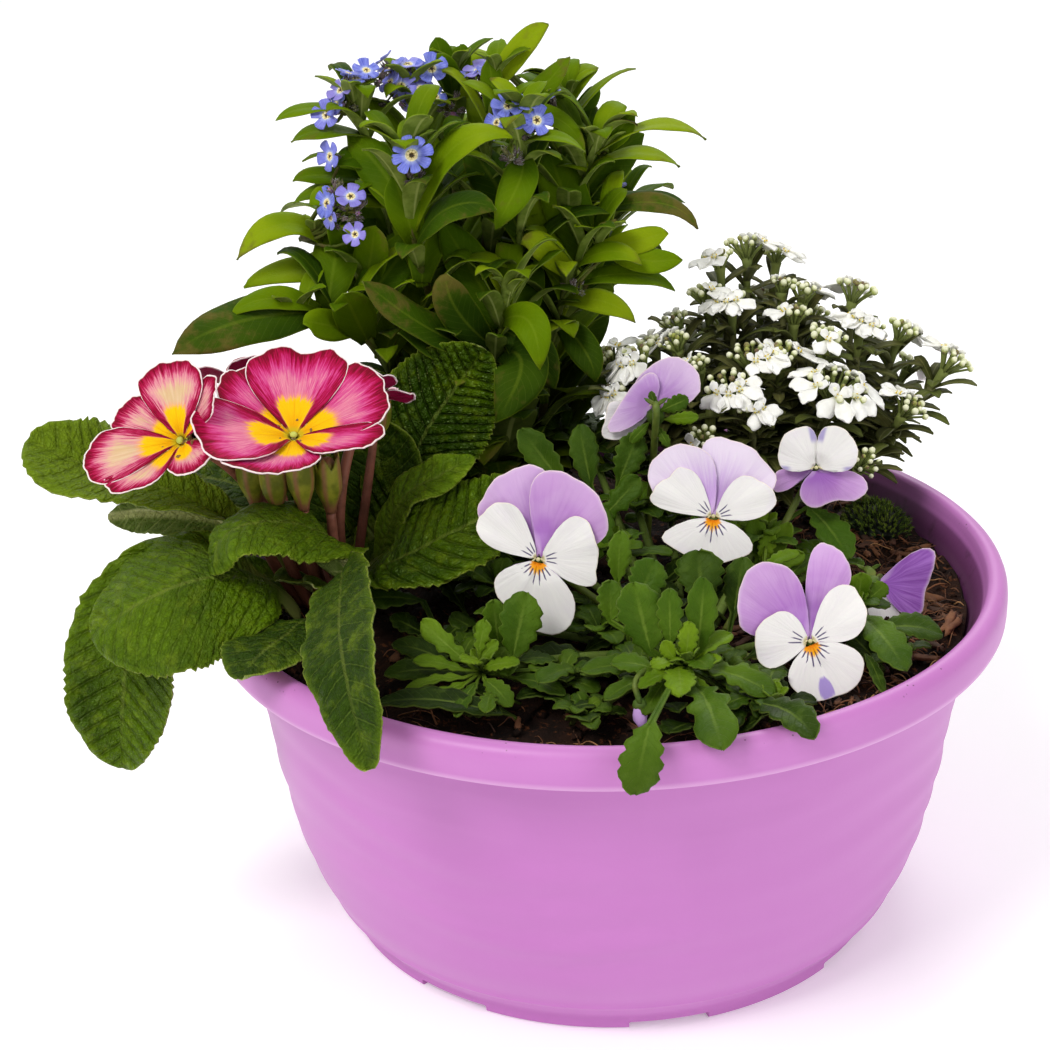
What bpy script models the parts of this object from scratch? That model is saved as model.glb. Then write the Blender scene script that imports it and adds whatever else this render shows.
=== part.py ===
"""Mixed flower planter: a 23 cm plastic planting bowl with potting soil and four bedding plants.

Frame: metres, +Z up, +X to the right, the front of the bowl faces -Y.
The origin is the centre of the bowl's underside, on the surface that it stands on.
Lengths below are in millimetres and are scaled by MM when the meshes are made.
"""

import math

import bmesh
import bpy
from mathutils import Matrix, Vector
from mathutils.bvhtree import BVHTree

MM = 0.001

# ------------------------------------------------------------------ driving dimensions (mm)
RIM_RADIUS = 115.0          # outside of the rolled rim: a 23 cm bowl
BOWL_HEIGHT = 106.4         # floor to the top of the rim
RIM_BAND = 10.9             # height of the rolled rim's skirt
WALL = 1.8                  # wall thickness of the moulding
LIP_RADIUS = 109.0          # inner edge of the lip
FLOOR_TOP = 6.0             # inside floor of the bowl
PAD_RADIUS = 40.0           # flat centre pad of the underside
FOOT_OUT, FOOT_IN = 81.5, 76.0
FOOT_HEIGHT = 4.0           # the underside is recessed by this much inside the foot ring
NOTCHES, NOTCH_AT, NOTCH_WIDE, NOTCH_HIGH = 8, -79.0, 16.0, 2.2   # count, degrees, degrees, mm
DRAINS, DRAIN_RADIUS, DRAIN_CIRCLE = 6, 4.0, 58.0
BOWL_SIDES = 40
# outside radius of the bowl's wall at each height
WALL_PROFILE = ((0.0, 81.5), (4.0, 81.8), (10.0, 86.6), (20.0, 91.7), (35.0, 96.1), (55.0, 99.7),
                (80.0, 103.4), (93.0, 105.8), (97.0, 107.4))

SOIL_TOP = 95.0
SOIL_SIDES = 20
GAP = 0.3                   # clearance between neighbouring pieces

# root balls: centre x, y, top radius, depth
ROOT_BALLS = {
    "primula_root_ball": (-77, -10, 21, 42),
    "forget_me_not_root_ball": (-36, 56, 24, 44),
    "candytuft_root_ball": (52, 51, 23, 44),
    "viola_root_ball": (24, -42, 24, 40),
}
BALL_TOP = 97.0             # the root balls' tops stand just proud of the soil

# ------------------------------------------------------------------ small geometry helpers


def vec(p):
    return Vector((float(p[0]), float(p[1]), float(p[2])))


def spline_point(points, t):
    """Catmull-Rom curve through the points, t from 0 to 1."""
    n = len(points) - 1
    s = min(max(t, 0.0), 1.0) * n
    i = min(int(s), n - 1)
    f = s - i
    p1, p2 = points[i], points[i + 1]
    p0 = points[i - 1] if i > 0 else p1 * 2 - p2
    p3 = points[i + 2] if i + 2 <= n else p2 * 2 - p1
    return (p1 * 2 + (p2 - p0) * f + (p0 * 2 - p1 * 5 + p2 * 4 - p3) * f * f
            + (p1 * 3 - p0 - p2 * 3 + p3) * f ** 3) * 0.5


def arc_point(a, c, b, t):
    """Quadratic curve from a to b, pulled towards c."""
    return a * (1 - t) ** 2 + c * (2 * t * (1 - t)) + b * (t * t)


def through(a, m, b):
    """Control point of the quadratic curve that passes through m half way."""
    return m * 2 - (a + b) * 0.5


def frames(points, face, end_face=None, upright=False):
    """Tangent, side and up vectors along a list of points; face is the way the upper side looks."""
    out = []
    for i, p in enumerate(points):
        q = points[min(i + 1, len(points) - 1)] - points[max(i - 1, 0)]
        t = Vector((0, 0, 1)) if upright and i == 0 else q.normalized()
        f = face if end_face is None else face.lerp(end_face, i / (len(points) - 1))
        side = t.cross(f)
        if side.length < 1e-4:
            side = t.cross(Vector((1, 0, 0)))
        side.normalize()
        out.append((t, side, side.cross(t).normalized()))
    return out


def skin(rings, cap_start=True, point=None):
    """Closed mesh over rings of equal length, with a flat cap at the start and a cap or a point at the end."""
    verts, faces = [], []
    n = len(rings[0])
    for ring in rings:
        verts += ring
    for r in range(len(rings) - 1):
        for i in range(n):
            j = (i + 1) % n
            faces.append((r * n + i, r * n + j, (r + 1) * n + j, (r + 1) * n + i))
    if cap_start:
        faces.append(tuple(range(n - 1, -1, -1)))
    last = (len(rings) - 1) * n
    if point is None:
        faces.append(tuple(last + i for i in range(n)))
    else:
        verts.append(point)
        k = len(verts) - 1
        for i in range(n):
            faces.append((last + i, last + (i + 1) % n, k))
    return verts, faces


def blade_solid(points, widths, face, thick, fold=0.0, end_face=None, end_fold=None, upright=False):
    """A leaf blade as a closed solid: a shallow chevron section, thick at the midrib, to a pointed tip."""
    rings = []
    fr = frames(points, face, end_face, upright)
    end_fold = fold if end_fold is None else end_fold
    for k in range(len(points) - 1):
        t, s, u = fr[k]
        w = widths[k] * 0.5
        lift = u * ((fold + (end_fold - fold) * k / (len(points) - 1)) * w)
        c = points[k]
        rings.append([c - s * w + lift, c - u * (thick * 0.5), c + s * w + lift, c + u * (thick * 0.5)])
    return skin(rings, True, points[-1])


def tube_solid(points, r0, r1, sides=6, upright=False):
    """A round stem along the points, tapering from r0 to r1, with flat ends."""
    rings = []
    fr = frames(points, Vector((0.03, -1.0, 0.02)), None, upright)
    n = len(points) - 1
    for k, c in enumerate(points):
        t, s, u = fr[k]
        r = r0 + (r1 - r0) * k / n
        rings.append([c + s * (r * math.cos(a)) + u * (r * math.sin(a))
                      for a in (-2 * math.pi * i / sides for i in range(sides))])
    return skin(rings)


def dome_solid(centre, axis, radius, height, depth, sides=8, long_way=None, stretch=1.0):
    """A low dome, round or stretched along one way, for a cluster of small flowers or a cushion."""
    z = axis.normalized()
    x = z.orthogonal().normalized() if long_way is None else long_way.normalized()
    y = z.cross(x)
    x = x * stretch

    def ring(r, h):
        return [centre + z * h + x * (r * math.cos(a)) + y * (r * math.sin(a))
                for a in (2 * math.pi * i / sides for i in range(sides))]

    rings = [ring(radius * 0.3, -depth), ring(radius, 0.0), ring(radius * 0.62, height * 0.8)]
    return skin(rings, True, centre + z * height)


def outline_solid(centre, right, up, outline, thick, cup):
    """A flower face as a closed solid: outline(a) is the radius at angle a, cupped forwards at the edge."""
    n = right.cross(up).normalized()
    steps = len(outline)
    front, back, mid_f, mid_b = [], [], [], []
    for i, r in enumerate(outline):
        a = 2 * math.pi * i / steps
        d = right * math.cos(a) + up * math.sin(a)
        front.append(centre + d * r + n * (cup * r + thick * 0.3))
        back.append(centre + d * r + n * (cup * r - thick * 0.3))
        mid_f.append(centre + d * (r * 0.45) + n * (cup * r * 0.3 + thick * 0.5))
        mid_b.append(centre + d * (r * 0.45) + n * (cup * r * 0.3 - thick * 0.5))
    verts = mid_b + back + front + mid_f + [centre - n * thick * 0.5, centre + n * thick * 0.5]
    faces = []
    for i in range(steps):
        j = (i + 1) % steps
        for k in range(3):
            a, b = k * steps, (k + 1) * steps
            faces.append((a + i, a + j, b + j, b + i))
        faces.append((4 * steps, j, i))
        faces.append((4 * steps + 1, 3 * steps + i, 3 * steps + j))
    return verts, faces


# ------------------------------------------------------------------ scene, materials and placing


def clean():
    for ob in list(bpy.data.objects):
        bpy.data.objects.remove(ob, do_unlink=True)


MATERIALS = {}


def material(name, colour, rough):
    if name not in MATERIALS:
        m = bpy.data.materials.new(name)
        m.use_nodes = True
        b = m.node_tree.nodes["Principled BSDF"]
        b.inputs["Base Color"].default_value = (*colour, 1.0)
        b.inputs["Roughness"].default_value = rough
        b.inputs["Metallic"].default_value = 0.0
        MATERIALS[name] = m
    return MATERIALS[name]


def mesh_of(name, solid, origin, outward=True):
    """Mesh in metres about an origin given in millimetres."""
    verts, faces = solid
    me = bpy.data.meshes.new(name)
    bm = bmesh.new()
    vs = [bm.verts.new((v - origin) * MM) for v in verts]
    for f in faces:
        try:
            bm.faces.new([vs[i] for i in f])
        except ValueError:
            pass
    bmesh.ops.triangulate(bm, faces=bm.faces[:])
    if outward:
        bmesh.ops.recalc_face_normals(bm, faces=bm.faces[:])
    bm.to_mesh(me)
    bm.free()
    return me


def group(name, x, y, z):
    e = bpy.data.objects.new(name, None)
    e.location = (x * MM, y * MM, z * MM)
    bpy.context.scene.collection.objects.link(e)
    return e


def add(name, me, origin, parent, mat, smooth=40.0):
    """Link one named piece, placed by its location under its parent empty."""
    ob = bpy.data.objects.new(name, me)
    bpy.context.scene.collection.objects.link(ob)
    ob.parent = parent
    ob.location = origin * MM - parent.location
    me.materials.append(mat)
    if smooth:
        me.shade_smooth()
        me.set_sharp_from_angle(angle=math.radians(smooth))
    return ob


def helper(name, me, origin, parent, coll):
    """A hidden shape that a Boolean reads."""
    ob = bpy.data.objects.new(name, me)
    coll.objects.link(ob)
    ob.parent = parent
    ob.location = origin * MM - parent.location
    ob.hide_render = True
    ob.display_type = "WIRE"
    return ob


class GrowthList(list):
    """The solids that grow from one branch."""


TAKEN = []                  # (node, surface tree, solid) of every shape that is already placed


def surface(solid):
    verts, faces = solid
    tris = []
    for f in faces:
        for k in range(1, len(f) - 1):
            tris.append((f[0], f[k], f[k + 1]))
    return BVHTree.FromPolygons(verts, tris), verts


def is_clear(node, solid, gap=GAP):
    """True when the shape keeps the gap to every shape of the other nodes."""
    tree, verts = surface(solid)
    for other, otree, overts in TAKEN:
        if other == node:
            continue
        if tree.overlap(otree):
            return False
        for v in verts:
            if otree.find_nearest(v, gap)[0] is not None:
                return False
        for v in overts:
            if tree.find_nearest(v, gap)[0] is not None:
                return False
    return True


def take(node, solid):
    tree, verts = surface(solid)
    TAKEN.append((node, tree, verts))


def fuse(name, core, extras, origin, parent, mat):
    """One body from a core shape and what grows from it, joined by a Boolean union.

    Each extra is a solid, or a pair of a branch and the solids that grow from that branch.
    What would touch another piece is left off, and a branch takes its own growth with it.
    """
    ob = add(name, mesh_of(name, core, origin), origin, parent, mat, 0)
    take(name, core)
    kept = []
    for e in extras:
        branch, growth = (e[0], e[1]) if isinstance(e[1], GrowthList) else (e, ())
        if is_clear(name, branch):
            kept.append(branch)
            kept += [g for g in growth if is_clear(name, g)]
    if kept:
        coll = bpy.data.collections.new(name + "_growth")
        bpy.context.scene.collection.children.link(coll)
        for k, e in enumerate(kept):
            take(name, e)
            helper("%s_growth_%02d" % (name, k), mesh_of("g", e, origin), origin, parent, coll)
        mod = ob.modifiers.new("union", "BOOLEAN")
        mod.operation = "UNION"
        mod.operand_type = "COLLECTION"
        mod.collection = coll
        mod.solver = "EXACT"
        mod.use_self = True
    return ob


# ------------------------------------------------------------------ the bowl


def wall_radius(z):
    for (z0, r0), (z1, r1) in zip(WALL_PROFILE, WALL_PROFILE[1:]):
        if z <= z1:
            return r0 + (r1 - r0) * (z - z0) / (z1 - z0)
    return WALL_PROFILE[-1][1]


def turned(profile, sides):
    """Closed body from a profile of (radius, height) that starts and ends on the axis."""
    verts, faces, rows = [], [], []
    for r, z in profile:
        if r < 1e-6:
            verts.append(Vector((0, 0, z)))
            rows.append([len(verts) - 1])
        else:
            start = len(verts)
            for i in range(sides):
                a = 2 * math.pi * i / sides
                verts.append(Vector((r * math.cos(a), r * math.sin(a), z)))
            rows.append(list(range(start, start + sides)))
    for a, b in zip(rows, rows[1:]):
        for i in range(sides):
            j = (i + 1) % sides
            if len(a) == 1:
                faces.append((a[0], b[i], b[j]))
            elif len(b) == 1:
                faces.append((a[j], a[i], b[0]))
            else:
                faces.append((a[j], a[i], b[i], b[j]))
    return verts, faces


def make_bowl(parent):
    skirt_in = RIM_RADIUS - 2.0
    low = BOWL_HEIGHT - RIM_BAND
    profile = [(0, 0), (PAD_RADIUS, 0), (PAD_RADIUS + 2, FOOT_HEIGHT), (FOOT_IN - 1, FOOT_HEIGHT), (FOOT_IN, 0)]
    profile += [(r, z) for z, r in WALL_PROFILE]
    profile += [(110.2, 103.2), (skirt_in, 103.8), (skirt_in, low), (RIM_RADIUS, low),
                (RIM_RADIUS, BOWL_HEIGHT - 3.2), (RIM_RADIUS - 1.2, BOWL_HEIGHT - 0.9),
                (RIM_RADIUS - 3.5, BOWL_HEIGHT), (LIP_RADIUS + 0.8, BOWL_HEIGHT - 0.4), (LIP_RADIUS, BOWL_HEIGHT - 1.6)]
    for z in (97.0, 93.0, 80.0, 55.0, 35.0, 20.0, 10.0):
        profile.append((wall_radius(z) - WALL, z))
    profile += [(wall_radius(FLOOR_TOP) - WALL - 1.6, FLOOR_TOP), (PAD_RADIUS + 1, FLOOR_TOP),
                (PAD_RADIUS - 1, 2.0), (0, 2.0)]
    origin = Vector((0, 0, 0))
    mat = material("orchid_plastic", (0.655, 0.224, 0.631), 0.38)
    bowl = add("planting_bowl", mesh_of("planting_bowl", turned(profile, BOWL_SIDES), origin), origin, parent, mat, 30)
    # cutters: the notches of the foot ring and the drain holes
    coll = bpy.data.collections.new("bowl_cutters")
    bpy.context.scene.collection.children.link(coll)
    for k in range(NOTCHES):
        mid = math.radians(NOTCH_AT + k * 360.0 / NOTCHES)
        half = math.radians(NOTCH_WIDE / 2)
        ring = []
        for z in (-2.0, NOTCH_HIGH):
            for r, a in ((FOOT_IN - 4, mid - half), (FOOT_OUT + 4, mid - half), (FOOT_OUT + 4.6, mid),
                         (FOOT_OUT + 4, mid + half), (FOOT_IN - 4, mid + half)):
                ring.append(Vector((r * math.cos(a), r * math.sin(a), z)))
        faces = [(4, 3, 2, 1, 0), (5, 6, 7, 8, 9)]
        faces += [(i, (i + 1) % 5, 5 + (i + 1) % 5, 5 + i) for i in range(5)]
        helper("foot_notch_cutter_%d" % k, mesh_of("n", (ring, faces), origin), origin, parent, coll)
    for k in range(DRAINS):
        a = math.radians(30 + k * 360.0 / DRAINS)
        c = Vector((DRAIN_CIRCLE * math.cos(a), DRAIN_CIRCLE * math.sin(a), 1.0))
        solid = tube_solid([c, c + Vector((0, 0, 8.0))], DRAIN_RADIUS, DRAIN_RADIUS, 10)
        helper("drain_cutter_%d" % k, mesh_of("d", solid, origin), origin, parent, coll)
    mod = bowl.modifiers.new("cut", "BOOLEAN")
    mod.operation = "DIFFERENCE"
    mod.operand_type = "COLLECTION"
    mod.collection = coll
    mod.solver = "EXACT"
    return bowl


# ------------------------------------------------------------------ soil, root balls, moss, bark


def soil_height(x, y):
    return (SOIL_TOP + 0.9 * math.sin(x * 0.11 + 1.3) * math.cos(y * 0.09 - 0.4)
            + 0.6 * math.sin(x * 0.23 - y * 0.17) - 0.3)


def make_soil(parent):
    profile = [(0, 2.0 + GAP)]
    profile += [(PAD_RADIUS - 1.6, 2.0 + GAP), (PAD_RADIUS + 0.6, FLOOR_TOP + GAP),
                (wall_radius(FLOOR_TOP) - WALL - 2.4, FLOOR_TOP + GAP)]
    for z in (10.0, 20.0, 35.0, 55.0, 80.0):
        profile.append((wall_radius(z) - WALL - 0.6, z))
    profile.append((wall_radius(SOIL_TOP - 2) - WALL - 0.6, SOIL_TOP - 2))
    profile += [(94.0, SOIL_TOP - 1), (68.0, SOIL_TOP), (36.0, SOIL_TOP), (0, SOIL_TOP)]
    verts, faces = turned(profile, SOIL_SIDES)
    for v in verts:
        if v.z > SOIL_TOP - 1.5:
            v.z += soil_height(v.x, v.y) - SOIL_TOP
    origin = Vector((0, 0, SOIL_TOP))
    mat = material("potting_soil", (0.020, 0.013, 0.009), 0.95)
    soil = add("potting_soil", mesh_of("potting_soil", (verts, faces), origin), origin, parent, mat, 50)
    coll = bpy.data.collections.new("soil_cutters")
    bpy.context.scene.collection.children.link(coll)
    for name, (x, y, r, depth) in ROOT_BALLS.items():
        solid = tube_solid([Vector((x, y, BALL_TOP - depth - GAP)), Vector((x, y, BALL_TOP + 8))], r * 0.8 + GAP,
                           (r + GAP) + r * 0.2 * 8 / depth, 12)
        helper(name + "_pit", mesh_of("p", solid, origin), origin, parent, coll)
    mod = soil.modifiers.new("pits", "BOOLEAN")
    mod.operation = "DIFFERENCE"
    mod.operand_type = "COLLECTION"
    mod.collection = coll
    mod.solver = "EXACT"
    for name, (x, y, r, depth) in ROOT_BALLS.items():
        o = Vector((x, y, BALL_TOP))
        solid = tube_solid([Vector((x, y, BALL_TOP - depth)), Vector((x, y, BALL_TOP))], r * 0.8, r, 12)
        add(name, mesh_of(name, solid, o), o, parent, material("root_ball", (0.03, 0.02, 0.013), 0.95), 40)
        take(name, solid)
    # moss cushion and two chips of bark lie on the soil
    c = Vector((84, 42, 97.6))
    solid = dome_solid(c, Vector((0, 0, 1)), 8.4, 8.0, 0.6, 12, Vector((-1, 2, 0)), 1.5)
    add("moss_cushion", mesh_of("moss_cushion", solid, c), c, parent, material("moss", (0.045, 0.10, 0.012), 0.9))
    take("moss_cushion", solid)
    for name, c, d, long, wide in (("bark_chip_1", (96, -29, 97.6), (4, 9, 0.6), 17, 6),
                                   ("bark_chip_2", (77, 63, 97.6), (-6, 7, 0.5), 13, 5)):
        c, d = vec(c), vec(d).normalized()
        s = d.cross(Vector((0, 0, 1))).normalized()
        u = s.cross(d)
        rings = []
        for k, (w, h) in enumerate(((0.5, 0.5), (1.0, 1.0), (0.9, 0.8), (0.45, 0.4))):
            p = c + d * (long * (k / 3.0 - 0.5))
            rings.append([p - s * (wide * w * 0.5) - u * h * 0.6, p + s * (wide * w * 0.5) - u * h * 0.6,
                          p + s * (wide * w * 0.4) + u * h * 0.8, p - s * (wide * w * 0.42) + u * h * 0.7])
        solid = skin(rings)
        add(name, mesh_of(name, solid, c), c, parent, material("bark", (0.16, 0.07, 0.03), 0.85), 20)
        take(name, solid)


# ------------------------------------------------------------------ primula
# each leaf: name, points of the midrib from crown to tip, greatest width, way the upper side faces
# at the crown and at the tip, fold at the crown and at the tip
PRIMULA_LEAVES = (
    ("primula_leaf_1", ((-91, -8, 99), (-95, -9, 110), (-110, -15, 121), (-131, -18, 131), (-149, -18, 141), (-161, -12, 152)), 36, (0, 0, 9), (3, -5, 7), 0.95, 0.25),
    ("primula_leaf_2", ((-88, -20, 99), (-93, -28, 111), (-100, -38, 119), (-112, -46, 122), (-125, -51, 118), (-139, -52, 109)), 41, (-1, -5, 8), (-2, -5, 8), -0.30, -0.20),
    ("primula_leaf_3", ((-92, -15, 99), (-100, -19, 111), (-117, -27, 116), (-134, -36, 109), (-143, -42, 92), (-138, -46, 62)), 30, (-2, -3, 9), (-8, -7, 1), 0.05, 0.10),
    ("primula_leaf_4", ((-81, -22, 99), (-82, -25, 118), (-86, -34, 137), (-88, -48, 141), (-91, -61, 135)), 36, (0, -4, 9), (0, -4, 9), -0.15, -0.2),
    ("primula_leaf_5", ((-74, -22, 99), (-72, -32, 114), (-69, -54, 128), (-66, -88, 128), (-63, -107, 118), (-59, -118, 100)), 21, (-3, -4, 8), (-5, -7, 4), 0.10, 0.12),
    ("primula_leaf_6", ((-70, 0, 99), (-66, 3, 113), (-59, 10, 128), (-51, 17, 142), (-42, 20, 154), (-34, 18, 165)), 34, (-1, -9, 3), (-1, -9, 3), 0.12, 0.12),
    ("primula_leaf_7", ((-68, -16, 99), (-68, -18, 112), (-60, -26, 120), (-48, -28, 127), (-36, -24, 132), (-25, -17, 139)), 30, (-1, -6, 7), (-1, -6, 7), 0.05, 0.05),
    ("primula_leaf_8", ((-67, -9, 99), (-64, -9, 114), (-57, -12, 131), (-46, -12, 138), (-37, -8, 142)), 13, (0, -4, 9), (0, -4, 9), 0.10, 0.10),
    ("primula_leaf_9", ((-81, -26, 99), (-83, -40, 106), (-86, -58, 111), (-92, -73, 113), (-97, -85, 107)), 20, (-2, -3, 9), (-2, -3, 9), 0.05, 0.0),
    ("primula_leaf_10", ((-89, -1, 99), (-99, 4, 109), (-121, 14, 115), (-138, 18, 116), (-151, 20, 112)), 26, (0, -3, 9), (0, -3, 9), 0.12, 0.12),
    ("primula_leaf_11", ((-78, 4, 99), (-80, 12, 114), (-84, 26, 128), (-88, 40, 133), (-92, 56, 128)), 30, (0, 3, 9), (0, 3, 9), 0.12, 0.12),
)
# each flower: name, centre, way it faces, radius, foot of its stalk
PRIMULA_FLOWERS = (
    ("primula_flower_1", (-84, -30, 158), (0.6, -6, 8), 27.0, (-80, -14, 99)),
    ("primula_flower_2", (-114, -35, 159), (-4, -8, 6), 26.0, (-84, -9, 99)),
    ("primula_flower_3", (-103, 14, 158), (-2, 3, 9), 19.0, (-80, -4, 99)),
    ("primula_flower_4", (-66, -4, 163), (2, 0, 9), 15.0, (-75, -7, 99)),
)


def primula_width(t):
    """Width along a primula leaf: a winged stalk that opens into a broad, round-ended blade."""
    return 0.13 + 0.87 * (math.sin(math.pi * min(1.0, max(0.0, (t - 0.17) / 0.83)) ** 1.25)) ** 0.8


def make_primula():
    parent = group("primula", -77, -10, SOIL_TOP)
    green = material("primula_leaf", (0.045, 0.105, 0.016), 0.5)
    for name, pts, wide, face, end_face, fold, end_fold in PRIMULA_LEAVES:
        pts = [vec(p) for p in pts]
        n = 9
        centre = [spline_point(pts, k / n) for k in range(n + 1)]
        widths = [wide * primula_width(k / n) for k in range(n + 1)]
        solid = blade_solid(centre, widths, vec(face), 1.6, fold, vec(end_face), end_fold, True)
        add(name, mesh_of(name, solid, pts[0]), pts[0], parent, green, 60)
        take(name, solid)
    petal = material("primula_petal", (0.55, 0.02, 0.12), 0.55)
    stalk = material("primula_stalk", (0.30, 0.20, 0.10), 0.55)
    for name, c, face, radius, foot in PRIMULA_FLOWERS:
        c, n, foot = vec(c), vec(face).normalized(), vec(foot)
        right = n.cross(Vector((0, 0, 1))).normalized() * -1
        up = n.cross(right)
        steps = 15
        outline = [radius * (0.90 + 0.10 * math.cos(5 * (2 * math.pi * i / steps - math.pi / 2))) for i in range(steps)]
        solid = outline_solid(c, right, up, outline, 1.4, 0.08)
        base = c - n * 9
        neck = tube_solid([c - n * 0.2, base], 2.6, 1.8, 6)
        fuse(name, solid, [neck], c, parent, petal)
        # the stalk rises from the crown, turns in line with the flower and ends in a swollen calyx
        top = base - n * (GAP + 0.1)
        ctrl = top - n * ((top - foot).length * 0.5)
        line = [arc_point(foot, ctrl, top, k / 6) for k in range(7)]
        line[-1] = top - n * 0.4
        body = tube_solid(line, 1.6, 1.3, 6, True)
        cup = skin([tube_solid([top - n * h, top - n * (h - 0.1)], r, r, 7)[0][:7]
                    for h, r in ((11.0, 1.0), (8.5, 2.9), (3.0, 3.4), (0.1, 2.6))])
        fuse(name.replace("flower", "stalk"), body, [cup], foot, parent, stalk)


# ------------------------------------------------------------------ forget-me-not
# stems: foot, half-way point, top
MYOSOTIS_STEMS = (
    ((-46, 52, 98), (-64, 50, 201), (-72, 45, 232)),
    ((-42, 60, 98), (-52, 58, 202), (-56, 60, 234)),
    ((-37, 66, 98), (-44, 68, 203), (-40, 72, 236)),
    ((-32, 57, 98), (-33, 54, 203), (-28, 58, 238)),
    ((-30, 49, 98), (-23, 42, 202), (-22, 40, 226)),
    ((-26, 63, 98), (-14, 68, 198), (-8, 74, 226)),
    ((-23, 56, 98), (-9, 58, 189), (3, 60, 212)),
    ((-21, 50, 98), (-12, 46, 170), (6, 48, 185)),
    ((-50, 56, 98), (-70, 45, 172), (-89, 42, 192)),
    ((-49, 47, 98), (-69, 34, 162), (-97, 24, 173)),
    ((-37, 43, 98), (-32, 34, 153), (-25, 26, 182)),
    ((-42, 46, 98), (-54, 32, 194), (-53, 26, 220)),
    ((-46, 66, 98), (-68, 82, 160), (-82, 92, 182)),
    ((-36, 70, 98), (-36, 90, 165), (-36, 100, 205)),
    ((-26, 68, 98), (-8, 86, 155), (8, 96, 184)),
)
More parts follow.
